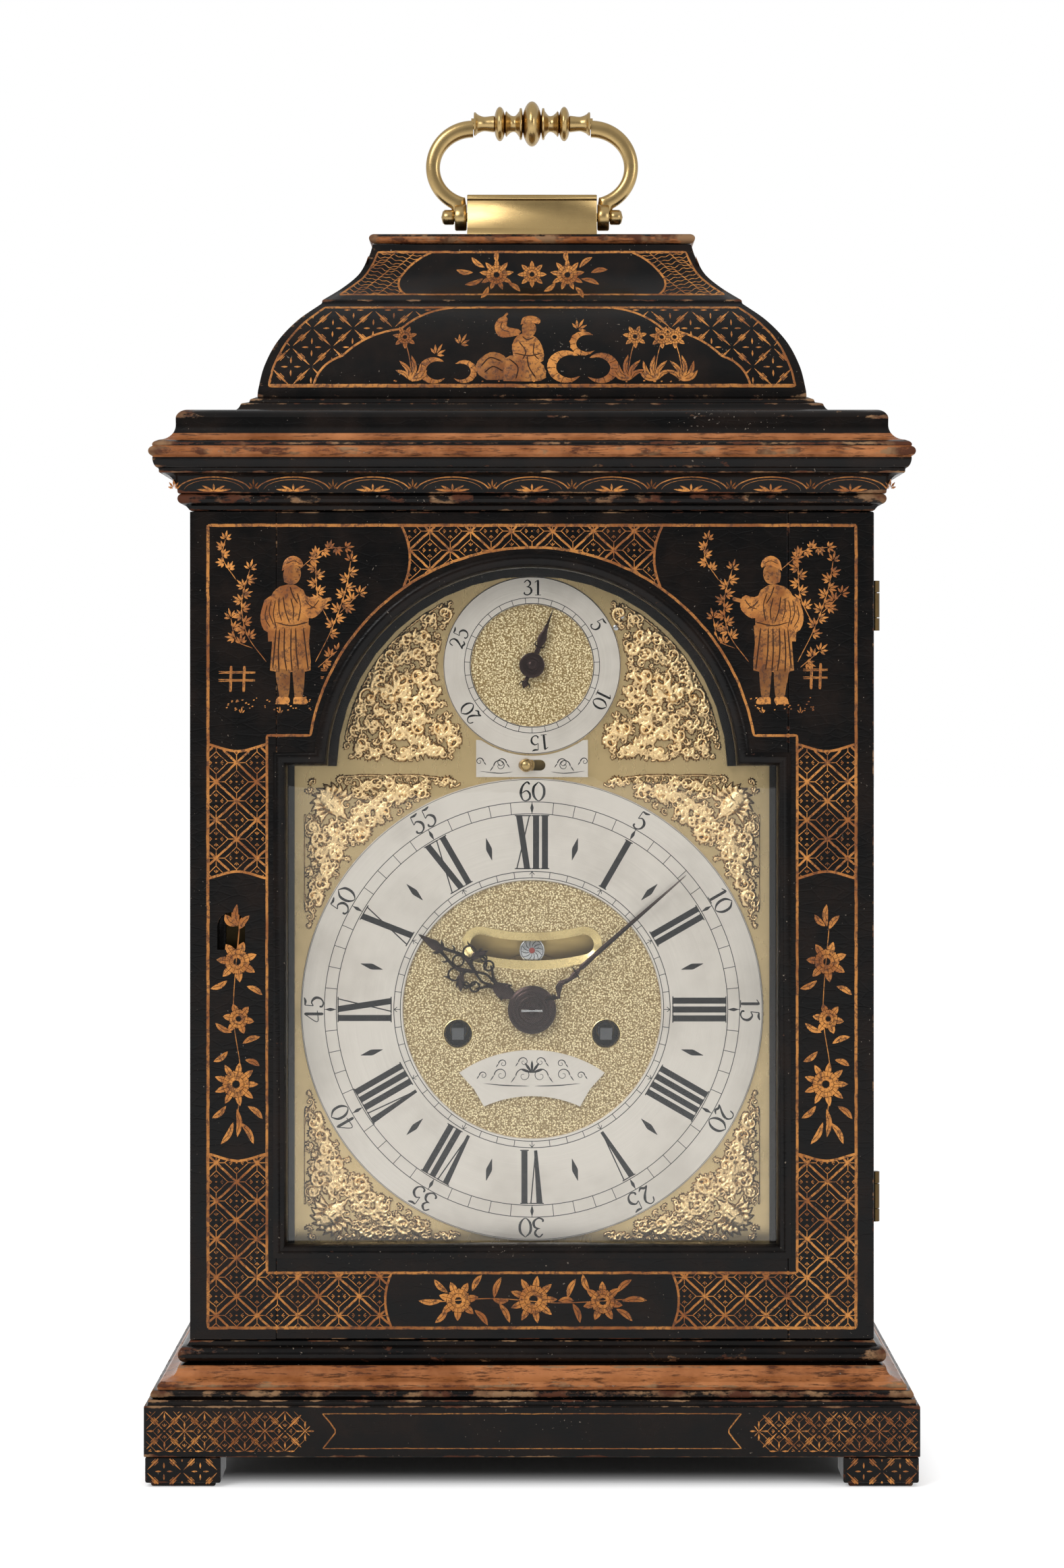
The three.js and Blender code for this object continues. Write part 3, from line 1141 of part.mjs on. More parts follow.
// ---------------------------------------------------------------- verge, pendulum, bell and hammer
const mockY = dialBack + 1.4;
const rodY0 = backPlateY + plateThickness + 5;
const bobZ = seatTop + bobRise;
const palletReach = 3; // stops short of the teeth of the crown wheel
add("verge_pendulum", join(
  rodY(1.4, mockY - 0.4, rodY0 + 2, 0, verge, 8),
  rodY(2.6, mockY, mockY + 2.4, 0, verge, 8),
  box(-0.7, 0.7, mockY + 0.2, mockY + 1.2, verge - slotRadius, verge),
  rodY(4.7, mockY - 0.6, mockY + 0.6, 0, verge - slotRadius, 16),
  box(-0.7, 1.2, -crownRadius - 0.6, -crownRadius + 2, verge - palletReach, verge),
  box(-1.2, 0.7, crownRadius - 2, crownRadius + 0.6, verge - palletReach, verge),
  rodY(2.4, rodY0 - 0.6, rodY0 + 2, 0, verge, 8),
  rodZ(1, bobZ - 16, verge, 0, rodY0 + 1, 6),
  turnedY([[0, rodY0 - 3.4], [6, rodY0 - 2.8], [10.6, rodY0 - 0.8], [11.6, rodY0 + 1],
    [10.6, rodY0 + 2.8], [6, rodY0 + 4.8], [0, rodY0 + 5.4]], 0, bobZ, 12),
), brass());

const bellMouth = 31;
const bellLow = platesTop + 12;
const bellWall = 1.6;
const bellArc = (r, h, from, to) => arc(0, bellLow, r, h, from, to, 4);
const bellPost = { x: 0, y: backPlateY - 12 };
add("bell", join(
  lathe([
    ...bellArc(bellMouth, 25, 0, 84),
    [0, bellLow + 25],
    [0, bellLow + 25 - bellWall],
    ...bellArc(bellMouth - bellWall, 25 - bellWall, 84, 0),
    [bellMouth, bellLow],
  ], 14).rotateX(Math.PI / 2).translate(bellPost.x, bellPost.y, 0),
  rodZ(3.4, bellLow + 24, bellLow + 28, bellPost.x, bellPost.y, 6),
  rodZ(1.8, platesTop + 3, bellLow + 25, bellPost.x, bellPost.y, 6),
  box(-3, 3, bellPost.y - 4, backPlateY - seam, platesTop + 1, platesTop + 4),
  box(-3, 3, backPlateY - 3, backPlateY - seam, platesTop - 4, platesTop + 4),
), brass());

const hammerHeadX = -bellMouth - 5.2;
const hammerY = 4;
add("bell_hammer", join(
  turnedY([
    [0, pivotFront], [pivotRadius, pivotFront], [pivotRadius, arborFront], [1.7, arborFront],
    [1.7, arborBack], [pivotRadius, arborBack], [pivotRadius, pivotBack], [0, pivotBack],
  ], hammerArbor.x, hammerArbor.z, 8),
  upright(strapShape([
    [hammerArbor.x, hammerArbor.z, 1.6], [hammerArbor.x + 2, hammerArbor.z + 26, 1.3],
    [hammerHeadX - 2, bellLow + 4, 1.1],
  ]), hammerY - 1, hammerY + 1),
  rodX(4, hammerHeadX - 6, hammerHeadX + 3.6, hammerY, bellLow + 3, 8),
  upright(strapShape([
    [hammerArbor.x, hammerArbor.z, 1.6], [hammerArbor.x + 3, hammerArbor.z - 16, 1.2],
    [strikeArbor.x - 5, strikeArbor.z + 21, 1],
  ]), strikeWheelY - 2.6, strikeWheelY - 1.2),
), steel());

export default clock;
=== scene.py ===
# %% [markdown]
# # A japanned bracket clock
# The clock is a black lacquered case painted in gold, with a break-arch door over a brass and silvered
# dial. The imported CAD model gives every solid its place. This lesson dresses it: mouldings with soft worn
# arrises, painted ornament laid on as thin strokes, cast spandrels as height fields, engraved numerals,
# filed hands and a turned handle. All lengths below are millimetres, and X runs to the right, Z up, and
# the front faces -Y, as in the CAD model.

import math

import bmesh
import bpy
import numpy as np
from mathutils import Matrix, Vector
from mathutils.geometry import tessellate_polygon


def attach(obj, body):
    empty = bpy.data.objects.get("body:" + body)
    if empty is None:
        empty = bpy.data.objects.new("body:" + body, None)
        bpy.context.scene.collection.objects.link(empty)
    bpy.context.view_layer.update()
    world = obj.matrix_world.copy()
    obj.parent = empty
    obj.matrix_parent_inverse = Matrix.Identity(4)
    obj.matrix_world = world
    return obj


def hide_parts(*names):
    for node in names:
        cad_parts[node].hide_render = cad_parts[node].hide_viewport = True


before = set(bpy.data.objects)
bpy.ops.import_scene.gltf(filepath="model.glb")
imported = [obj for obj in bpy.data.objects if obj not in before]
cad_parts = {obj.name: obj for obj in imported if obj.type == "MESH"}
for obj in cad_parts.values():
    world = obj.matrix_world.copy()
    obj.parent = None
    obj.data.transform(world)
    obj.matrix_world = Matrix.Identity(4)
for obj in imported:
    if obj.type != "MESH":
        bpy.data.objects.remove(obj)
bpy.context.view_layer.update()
MM = 0.001

# %% [markdown]
# ## Camera and light
# The photograph was taken level with the arch of the dial, from about a metre and a half, and the camera
# was raised in its frame so that the uprights stay parallel. A level camera with a small vertical shift
# gives the same drawing. The light is a white studio: a pale world, a large soft lamp from the upper left
# and a weaker one from the right. Black lacquer shows whatever stands before it, so the world is dimmer
# behind the camera and brighter overhead.

# %% Camera
SENSOR = 36
CAMERA_Y, CAMERA_HEIGHT = -1572, 285.4  # mm: a metre and a half before the plinth
PICTURE_HEIGHT = 569.4  # mm covered by the picture at the front of the plinth
PLINTH_FRONT = -92

camera_data = bpy.data.cameras.new("camera")
camera_data.sensor_width = SENSOR
camera_data.lens = SENSOR * (PLINTH_FRONT - CAMERA_Y) / PICTURE_HEIGHT
camera_data.shift_y = -0.0525
camera_data.clip_start, camera_data.clip_end = 0.05, 50
camera = bpy.data.objects.new("camera", camera_data)
camera.location = (0, CAMERA_Y * MM, CAMERA_HEIGHT * MM)
camera.rotation_euler = (math.pi / 2, 0, 0)
scene = bpy.context.scene
scene.collection.objects.link(camera)
scene.camera = camera
scene.view_settings.view_transform = "Standard"
print("focal length %.1f mm" % camera_data.lens)

# %% [markdown]
# A small helper keeps node trees readable: it makes a node, fills its sockets with numbers or links, and
# hands back the output that is wanted.

# %% Helper for node trees
class Net:
    """Builds nodes in one tree; a socket's value may be a number, a colour or another node's output."""

    def __init__(self, tree):
        self.tree = tree

    def node(self, kind, sockets=None, **properties):
        made = self.tree.nodes.new("ShaderNode" + kind)
        for key, value in properties.items():
            setattr(made, key, value)
        for key, value in (sockets or {}).items():
            self.plug(made.inputs[key], value)
        return made

    def plug(self, socket, value):
        if isinstance(value, bpy.types.NodeSocket):
            self.tree.links.new(value, socket)
        else:
            socket.default_value = value

    def math(self, operation, a, b=0.0):
        return self.node("Math", {0: a, 1: b}, operation=operation).outputs[0]

    def mix(self, factor, a, b):
        return self.node("Mix", {0: factor, 6: a, 7: b}, data_type="RGBA").outputs[2]

    def step(self, value, low, high):
        """Smooth step of value from 0 at low to 1 at high."""
        sockets = {"Value": value, "From Min": low, "From Max": high}
        return self.node("MapRange", sockets, interpolation_type="SMOOTHSTEP").outputs[0]

    def noise(self, vector, scale, detail=3.0, roughness=0.55):
        sockets = {"Vector": vector, "Scale": scale, "Detail": detail, "Roughness": roughness}
        return self.node("TexNoise", sockets).outputs[0]

    def stretched(self, vector, scale, location=(0, 0, 0)):
        return self.node("Mapping", {0: vector, 1: location, 3: scale}).outputs[0]

    def attribute(self, name):
        return self.node("Attribute", attribute_name=name).outputs["Fac"]

    def place(self):
        return self.node("TexCoord").outputs["Object"]


def node_group(name, inputs, outputs):
    """An empty shader group: inputs as (name, socket kind, value), outputs as (name, socket kind)."""
    tree = bpy.data.node_groups.new(name, "ShaderNodeTree")
    for label, kind, value in inputs:
        socket = tree.interface.new_socket(label, in_out="INPUT", socket_type="NodeSocket" + kind)
        if value is not None:
            socket.default_value = value
    for label, kind in outputs:
        tree.interface.new_socket(label, in_out="OUTPUT", socket_type="NodeSocket" + kind)
    source = tree.nodes.new("NodeGroupInput").outputs
    return Net(tree), source, tree.nodes.new("NodeGroupOutput").inputs


def use_group(net, group, sockets):
    """Places a node group in a material, with its own values."""
    made = net.tree.nodes.new("ShaderNodeGroup")
    made.node_tree = group
    for key, value in sockets.items():
        net.plug(made.inputs[key], value)
    return made.outputs


def new_material(name, **values):
    """A material with one Principled shader; constant values go straight on its sockets."""
    material = bpy.data.materials.new(name)
    material.use_nodes = True
    net = Net(material.node_tree)
    shader = material.node_tree.nodes["Principled BSDF"]
    for key, value in values.items():
        shader.inputs[key.replace("_", " ")].default_value = value
    return material, net, shader


def bump(net, shader, height, distance, strength=1.0):
    made = net.node("Bump", {"Height": height, "Distance": distance, "Strength": strength})
    net.plug(shader.inputs["Normal"], made.outputs[0])


def coat(net, shader, colour, pattern, low, high):
    """Base colour, and a roughness that runs from low to high with a pattern of values 0 to 1."""
    net.plug(shader.inputs["Base Color"], colour)
    spread = net.node("MapRange", {"Value": pattern, "To Min": low, "To Max": high})
    net.plug(shader.inputs["Roughness"], spread.outputs[0])


# %% [markdown]
# The studio follows: the world, two soft lamps and a floor. The floor has to keep the clock's soft shadow
# and still melt into the white page, so beyond the footprint it glows for the camera alone.

# %% Studio
def studio_world(front, above):
    """White for camera rays; for light, a level that rises from the front of the room to overhead."""
    world = bpy.data.worlds.new("studio")
    world.use_nodes = True
    scene.world = world
    net = Net(world.node_tree)
    direction = net.node("TexCoord").outputs["Generated"]
    split = net.node("SeparateXYZ", {0: direction}).outputs
    side = net.math("ABSOLUTE", split["X"])
    open_sky = net.math("MAXIMUM", net.step(split["Z"], 0.15, 0.75), net.step(side, 0.55, 0.95))
    open_sky = net.math("MAXIMUM", open_sky, net.step(split["Y"], 0.1, 0.7))
    level = net.node("MapRange", {"Value": open_sky, "To Min": front, "To Max": above}).outputs[0]
    seen = net.node("LightPath").outputs["Is Camera Ray"]
    strength = net.node("Mix", {0: seen, 2: level, 3: 1.0}).outputs[0]
    background = world.node_tree.nodes["Background"]
    background.inputs["Color"].default_value = (1, 1, 1, 1)
    net.plug(background.inputs["Strength"], strength)


def softbox(name, place, target, size, power):
    """A square area lamp at a place in metres, turned to its target."""
    data = bpy.data.lights.new(name, "AREA")
    data.shape, data.size, data.energy = "SQUARE", size, power
    lamp = bpy.data.objects.new(name, data)
    scene.collection.objects.link(lamp)
    lamp.location = place
    lamp.rotation_mode = "QUATERNION"
    lamp.rotation_quaternion = (Vector(target) - Vector(place)).to_track_quat("-Z", "Y")


def studio_floor(size, shade):
    """A white floor that keeps the shadow: a diffuse part for the shadow, and a camera-only glow.

    The glow fades out below the clock, where the distance beyond its footprint is negative.
    """
    material, net, shader = new_material("studio_floor", Roughness=0.9, Specular_IOR_Level=0.1)
    grain = net.noise(net.place(), 30)
    net.plug(shader.inputs["Base Color"], net.mix(grain, (shade, shade, shade, 1), (0.9, 0.9, 0.9, 1)))
    path = net.node("LightPath").outputs
    split = net.node("SeparateXYZ", {0: net.place()}).outputs
    beyond = net.math("MAXIMUM", net.math("SUBTRACT", net.math("ABSOLUTE", split["X"]), 0.14),
                      net.math("SUBTRACT", net.math("ABSOLUTE", split["Y"]), 0.09))
    seen = net.math("MULTIPLY", path["Is Camera Ray"],
                    net.math("MULTIPLY", net.step(beyond, -0.03, 0.02), 0.66))
    glow = net.math("MAXIMUM", seen, net.math("MULTIPLY", path["Is Glossy Ray"], 0.3))
    net.plug(shader.inputs["Emission Strength"], glow)
    shader.inputs["Emission Color"].default_value = (1, 1, 1, 1)
    mesh = bpy.data.meshes.new("floor")
    corners = [(-size, -size, 0), (size, -size, 0), (size, size, 0), (-size, size, 0)]
    mesh.from_pydata(corners, [], [(0, 1, 2, 3)])
    mesh.materials.append(material)
    floor = bpy.data.objects.new("floor", mesh)
    scene.collection.objects.link(floor)


studio_world(front=0.25, above=0.66)
softbox("key", (-0.9, -1.3, 1.25), (0, 0, 0.25), 0.8, 12)
softbox("fill", (1.1, -1.2, 0.7), (0, 0, 0.25), 0.6, 3.6)
studio_floor(size=12, shade=0.86)

# %% [markdown]
# ## Surfaces from arrays
# Each new piece is a grid of points worked out as a whole array. The helper joins neighbours in the grid
# into quads, closes the grid where it wraps round, turns a closed shape so that its faces point outwards,
# and stores one number per point where a finish follows the shape, such as wear and painted highlight along
# an arris.

# %% Mesh helpers
def grid_quads(rows, columns, wrap_rows=False, wrap_columns=False):
    """Indices of the quads between neighbours in a rows by columns grid, numbered row by row."""
    r = np.arange(rows if wrap_rows else rows - 1)
    c = np.arange(columns if wrap_columns else columns - 1)
    r, c = np.meshgrid(r, c, indexing="ij")
    down, right = (r + 1) % rows, (c + 1) % columns
    quads = [r * columns + c, r * columns + right, down * columns + right, down * columns + c]
    return np.stack(quads, -1).reshape(-1, 4)


def facing_out(points, faces):
    """Faces in the order that makes the enclosed volume positive."""
    a, b, c = (points[faces[:, i]] for i in range(3))
    volume = np.einsum("ij,ij->i", a, np.cross(b, c)).sum()
    if faces.shape[1] == 4:
        d = points[faces[:, 3]]
        volume += np.einsum("ij,ij->i", a, np.cross(c, d)).sum()
    return faces if volume > 0 else faces[:, ::-1]


def piece(name, points, faces, materials, body, replaces=(), values=None, sharp=40, kinds=None):
    """A mesh object from points in mm and lists of faces, riding on its body."""
    mesh = bpy.data.meshes.new(name)
    face_list = [face for group in faces for face in np.asarray(group).tolist()]
    mesh.from_pydata((np.asarray(points) * MM).tolist(), [], face_list)
    for label, numbers in (values or {}).items():
        mesh.attributes.new(label, "FLOAT",
                            "POINT").data.foreach_set("value", np.asarray(numbers, np.float32))
    for material in materials:
        mesh.materials.append(material)
    if kinds is not None:
        mesh.polygons.foreach_set("material_index", np.asarray(kinds, np.int32))
    mesh.shade_smooth()
    mesh.set_sharp_from_angle(angle=math.radians(sharp))
    made = bpy.data.objects.new(name, mesh)
    scene.collection.objects.link(made)
    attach(made, body)
    if replaces:
        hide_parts(*replaces)
    return made


def ring_piece(name, rows, material, body, replaces=(), values=None, sharp=35):
    """A closed ring: each row is a loop of points, and the last row joins the first."""
    points = np.vstack(rows)
    faces = facing_out(points, grid_quads(len(rows), len(rows[0]), True, True))
    return piece(name, points, [faces], [material], body, replaces, values, sharp)


def arc(centre, radii, start, end, steps):
    """Points on an ellipse from one angle in degrees to another, ends included."""
    t = np.radians(np.linspace(start, end, steps + 1))
    return np.stack([centre[0] + radii[0] * np.cos(t), centre[1] + radii[1] * np.sin(t)], -1)


def resampled(path, spacing, closed=False):
    """The same polyline with points at even spacing; returns the points and their distance along it."""
    path = np.asarray(path, float)
    if closed:
        path = np.vstack([path, path[:1]])
    along = np.concatenate([[0], np.cumsum(np.linalg.norm(np.diff(path, axis=0), axis=1))])
    count = max(2, int(round(along[-1] / spacing)) + 1)
    s = np.linspace(0, along[-1], count)
    points = np.stack([np.interp(s, along, path[:, k]) for k in range(path.shape[1])], -1)
    return (points[:-1], s[:-1]) if closed else (points, s)


# %% [markdown]
# ## Finishes
# Old japanning is many coats of black varnish over gesso. It is glossy, but it has crazed along the
# grain, and it is rubbed through to red-brown ground and bare wood on every arris; the pale colour on the
# arrises also stands in as painted highlight. The gold is paint: it has gone orange under later varnish and
# is thin in places. The same ageing shows on every painted piece, so it is one node group with a value of
# wear and highlight that the mesh supplies.

# %% Ageing and painted arris highlight shared by all painted pieces
def age_group():
    """Masks of worn arrises with their painted highlight and of small chips, and the relief of crazed varnish
    along the grain.
    """
    inputs = [("Place", "Vector", None), ("WearAndHighlight", "Float", 0.0), ("Seed", "Float", 0.0)]
    net, given, result = node_group("age", inputs, [("WornAndHighlight", "Float"), ("Chips", "Float"),
                                                    ("Relief", "Float"), ("Cloud", "Float")])
    place = net.node("VectorMath", {0: given["Place"], 1: given["Seed"]}, operation="ADD").outputs[0]
    patches = net.noise(net.stretched(place, (0.45, 0.45, 1)), 260, 5, 0.65)
    worn_and_highlight = net.step(net.math("ADD", patches, net.math("MULTIPLY", given["WearAndHighlight"], 0.42)), 0.78, 0.9)
    speck = net.noise(place, 900, 2, 0.5)
    local = net.noise(place, 40, 2, 0.5)
    chips = net.step(net.math("ADD", speck, net.math("MULTIPLY", local, 0.25)), 0.86, 0.9)
    grain = net.noise(net.stretched(place, (0.12, 0.12, 1)), 420, 4, 0.7)
    cells = {"Vector": net.stretched(place, (0.5, 0.5, 1)), "Scale": 260.0, "Randomness": 1.0}
    crazed = net.node("TexVoronoi", cells, feature="DISTANCE_TO_EDGE").outputs["Distance"]
    crazed = net.step(crazed, 0.0, 0.09)
    swell = net.noise(place, 70, 2, 0.5)
    relief = net.math("ADD", net.math("MULTIPLY", grain, 0.5), net.math("MULTIPLY", crazed, 0.12))
    relief = net.math("ADD", relief, net.math("MULTIPLY", swell, 0.9))
    relief = net.math("SUBTRACT", relief, net.math("MULTIPLY", worn_and_highlight, 0.35))
    net.plug(result["WornAndHighlight"], worn_and_highlight)
    net.plug(result["Chips"], chips)
    net.plug(result["Relief"], net.math("SUBTRACT", relief, net.math("MULTIPLY", chips, 0.4)))
    net.plug(result["Cloud"], net.noise(place, 55, 4, 0.6))
    return net.tree


AGE = age_group()
BLACK, BROWN_BLACK = (0.0022, 0.002, 0.002, 1), (0.011, 0.006, 0.004, 1)
# Rubbed colours: red ground, and pale wood that is also painted highlight on the arrises.
RED_GROUND, BARE_WOOD_AND_HIGHLIGHT = (0.09, 0.028, 0.012, 1), (0.30, 0.17, 0.085, 1)
OLD_GOLD, DEEP_GOLD = (0.55, 0.215, 0.080, 1), (0.25, 0.080, 0.024, 1)


def japan(name, wear_and_highlight, gild=False, seed=0.0, wear_and_highlight_gain=1.0):
    """Black lacquer; with gild, the point value "gild" turns it to the orange gold of the mouldings."""
    material, net, shader = new_material(name, Specular_IOR_Level=0.2)
    if wear_and_highlight is None:
        wear_and_highlight = net.math("MULTIPLY", net.attribute("wear_and_highlight"), wear_and_highlight_gain)
    aged = use_group(net, AGE, {"Place": net.place(), "WearAndHighlight": wear_and_highlight, "Seed": seed})
    colour = net.mix(net.step(aged["Cloud"], 0.35, 0.75), BLACK, BROWN_BLACK)
    gloss = net.node("MapRange", {"Value": aged["Cloud"], "To Min": 0.12, "To Max": 0.34}).outputs[0]
    if gild:
        gold = net.mix(net.step(aged["Cloud"], 0.25, 0.75), DEEP_GOLD, OLD_GOLD)
        fine = net.noise(net.stretched(net.place(), (0.1, 0.1, 1)), 900, 4, 0.75)
        gold = net.mix(net.math("MULTIPLY", net.step(fine, 0.5, 0.64), 0.8), gold, (0.045, 0.016, 0.008, 1))
        colour = net.mix(net.attribute("gild"), colour, gold)
    # Rubbed places show red ground and pale wood; on the arrises the pale wood is partly painted highlight.
    bare_and_highlight = net.mix(net.step(aged["Cloud"], 0.45, 0.6), RED_GROUND, BARE_WOOD_AND_HIGHLIGHT)
    colour = net.mix(aged["WornAndHighlight"], colour, bare_and_highlight)
    colour = net.mix(net.math("MULTIPLY", aged["Chips"], 0.5), colour, (0.36, 0.30, 0.24, 1))
    net.plug(shader.inputs["Base Color"], colour)
    net.plug(shader.inputs["Roughness"], net.node("Mix", {0: aged["WornAndHighlight"], 2: gloss, 3: 0.6}).outputs[0])
    bump(net, shader, aged["Relief"], 0.0003, 0.35)
    return material


LACQUER = japan("black_japan", 0.05)
# The edge finish is rubbed through on most of its face: wear, and painted highlight along the arris.
LACQUER_WORN_HIGHLIT_EDGE = japan("black_japan_worn_highlit_edge", 0.62)
MOULDED = japan("japanned_moulding", None, gild=True, seed=3.0)


# %% [markdown]
# The painted figures are a thin gold over a dark size. It covers unevenly, so a cloud of tones and a fine
# speckle of the ground show through, and the point value "tone" darkens the lines drawn over it.

# %% Gold paint
def gold_paint():
    """Painted gold: the point value "tone" runs from bright gold at 0 to dark line work at 1."""
    material, net, shader = new_material("gold_paint", Specular_IOR_Level=0.4)
    place = net.place()
    thin = net.noise(place, 620, 5, 0.75)
    cloud = net.noise(place, 70, 4, 0.65)
    colour = net.mix(net.step(cloud, 0.35, 0.65), (0.36, 0.115, 0.026, 1), (0.80, 0.33, 0.075, 1))
    colour = net.mix(net.math("MULTIPLY", net.step(thin, 0.49, 0.6), 0.8), colour, (0.09, 0.030, 0.012, 1))
    colour = net.mix(net.attribute("tone"), colour, (0.045, 0.018, 0.009, 1))
    coat(net, shader, colour, thin, 0.3, 0.6)
    net.plug(shader.inputs["Metallic"], net.math("MULTIPLY", net.step(thin, 0.6, 0.4), 0.35))
    bump(net, shader, thin, 0.0001, 0.4)
    return material


GOLD_PAINT = gold_paint()


# %% [markdown]
# One function makes every metal: a brushed grain, squeezed along the direction of the work, and a cloudy
# tarnish. Brass, gilding, steel and bell metal differ only by their values.

# %% Metals
def metal(name, light, dark, roughness, grain=(1, 1, 1), grain_scale=600, relief=0.25, spots=0.3,
          metallic=1.0,
          streaks=0.25, other=None):
    """Metal with brushed grain along the short axis of grain, and cloudy tarnish of a darker tone.

    With other = (axis, place in mm, colour), what lies below that place on the axis has the other colour.
    """
    material, net, shader = new_material(name, Metallic=metallic)
    place = net.place()
    brushed = net.noise(net.stretched(place, grain), grain_scale, 3, 0.6)
    cloud = net.noise(place, 60, 4, 0.6)
    tarnish = net.math("MULTIPLY", net.step(cloud, 0.45, 0.8), spots)
    colour = net.mix(tarnish, light + (1,), dark + (1,))
    colour = net.mix(net.math("MULTIPLY", brushed, streaks), colour, dark + (1,))
    if other:
        along = net.node("SeparateXYZ", {0: place}).outputs[other[0]]
        colour = net.mix(net.math("LESS_THAN", along, other[1] * MM), colour, other[2] + (1,))
    coat(net, shader, colour, brushed, *roughness)
    bump(net, shader, brushed, 0.00012, relief)
    return material


YELLOW_BRASS, BRASS_TARNISH = (0.66, 0.47, 0.19), (0.28, 0.17, 0.06)
STEEL_GREY, STEEL_TARNISH, DARK_STEEL = (0.52, 0.52, 0.53), (0.20, 0.19, 0.18), (0.12, 0.12, 0.125)
DULL, BRIGHT = (0.22, 0.4), (0.2, 0.36)  # ranges of roughness
SQUARES_BEHIND, ROD_ABOVE = -37.9, 150  # mm: where the winding squares and the pendulum's rod begin
HANDLE_BRASS = metal("handle_brass", (0.58, 0.41, 0.18), (0.17, 0.10, 0.045), BRIGHT, (0.25, 1, 1), 300)
GILT = metal("gilt_brass", (0.80, 0.62, 0.30), (0.30, 0.19, 0.07), (0.2, 0.34), spots=0.35, relief=0.35)
SILVERED = metal("silvered_brass", (0.80, 0.79, 0.77), (0.60, 0.59, 0.57), (0.34, 0.5), (0.05, 1, 1), 700,
                 0.12, 0.25, 0.75)
MOVEMENT_BRASS = metal("movement_brass", YELLOW_BRASS, BRASS_TARNISH, DULL, (0.2, 1, 1), 500)
STEEL = metal("polished_steel", STEEL_GREY, STEEL_TARNISH, BRIGHT, (1, 0.2, 1), 500)
FUSEE = metal("fusee_and_square", YELLOW_BRASS, BRASS_TARNISH, DULL, (1, 0.2, 1), 500,
              other=("Y", SQUARES_BEHIND, DARK_STEEL))
PENDULUM = metal("pendulum_metal", STEEL_GREY, STEEL_TARNISH, BRIGHT, (1, 1, 0.2), 500,
                 other=("Z", ROD_ABOVE, YELLOW_BRASS))
BLUED = metal("browned_steel", (0.045, 0.028, 0.026), (0.012, 0.008, 0.008), DULL, relief=0.2)
BELL_METAL = metal("bell_metal", (0.60, 0.46, 0.24), (0.22, 0.15, 0.07), BRIGHT, (1, 1, 0.15), 300)


# %% [markdown]
# Oak is seen only inside the case, and glass is a clear shader whose shadows let the lamps through.

# %% Oak and glass
def oak():
    """Quartered oak: long grain with dark pores."""
    material, net, shader = new_material("oak", Specular_IOR_Level=0.3)
    grain = net.noise(net.stretched(net.place(), (0.06, 1, 1)), 300, 4, 0.65)
    colour = net.mix(net.step(grain, 0.35, 0.7), (0.30, 0.17, 0.08, 1), (0.13, 0.065, 0.03, 1))
    coat(net, shader, colour, grain, 0.5, 0.75)
    bump(net, shader, grain, 0.0003, 0.5)
    return material


OAK = oak()


def window_glass():
    """Old clear glass: lamps reach what is behind it, and a faint ripple moves its reflections."""
    material, net, shader = new_material("window_glass", Transmission_Weight=1.0, IOR=1.45, Roughness=0.0)
    bump(net, shader, net.noise(net.place(), 25, 2), 0.0004, 0.15)
    colour = net.mix(net.noise(net.place(), 20), (0.96, 0.98, 0.97, 1), (0.99, 1, 0.99, 1))
    net.plug(shader.inputs["Base Color"], colour)
    clear = net.node("BsdfTransparent").outputs[0]
    shadow = net.node("LightPath").outputs["Is Shadow Ray"]
    mixed = net.node("MixShader", {0: shadow, 1: shader.outputs[0], 2: clear}).outputs[0]
    net.plug(material.node_tree.nodes["Material Output"].inputs["Surface"], mixed)
    return material


GLASS = window_glass()
print("materials:", len(bpy.data.materials))

# %% [markdown]
# ## Mouldings
# The plinth, the cornice and the caddy are lengths of moulding mitred at the corners. Each is a profile
# carried round a rectangle: every point of the profile has an outward distance and a height, and the
# rectangle grows by that distance. The profile is resampled finely and smoothed over half a millimetre,
# which rounds the arrises as handling did, and the convex ones are marked for wear and painted highlight.

# %% Profiles of the case, outward distance from the case and height, with the gilded parts named
CASE_X, CASE_Y = 125.5, 76.5
CASE_BOTTOM, CASE_TOP = 51, 355.5
CORNICE_TOP, CAP_TOP = 392.5, 464.5
INNER = -12

base_profile = [
    ("black", [(INNER, 11), (15.5, 11), (15.5, 29.6), (14.1, 29.6), (14.1, 31.4)]),
    ("black", arc((11.9, 33.3), (1.5, 1.5), -80, 80, 12)),
    ("gold", arc((10.2, 35.9), (0.9, 0.9), -70, 80, 8)),
    ("gold", arc((9.9, 42.1), (5.8, 4.6), -90, -180, 16)),
    ("black", [(2.6, 42.6)]),
    ("black", arc((1.1, 46.25), (3.05, 3.05), -90, 90, 16)),
    ("black", [(0, CASE_BOTTOM), (INNER, CASE_BOTTOM)]),
]
cornice_profile = [
    ("black", [(INNER, CASE_TOP), (0, CASE_TOP), (1.4, 357.3)]),
    ("black", arc((2.35, 359.75), (1.95, 1.95), -80, 80, 12)),
    ("black", arc((9.8, 361.7), (5.6, 7.2), 180, 90, 16)),
    ("black", [(10.5, 368.9), (10.5, 370.5)]),
    ("black", arc((10.5, 374.4), (2.2, 3.9), -80, 0, 8)),
    ("gold", arc((12.25, 376.65), (1.85, 1.85), -85, 85, 12)),
    ("black", arc((11, 378.6), (1.9, 1.9), 10, 80, 6)),
    ("gold", arc((11, 386.6), (6.2, 5.7), -95, -148, 10)),
    ("black", arc((11, 386.6), (6.2, 5.7), -150, -180, 8)),
    ("black", arc((0.5, 388.5), (4.5, 4), 15, 90, 12)),
    ("black", [(INNER, CORNICE_TOP)]),
]
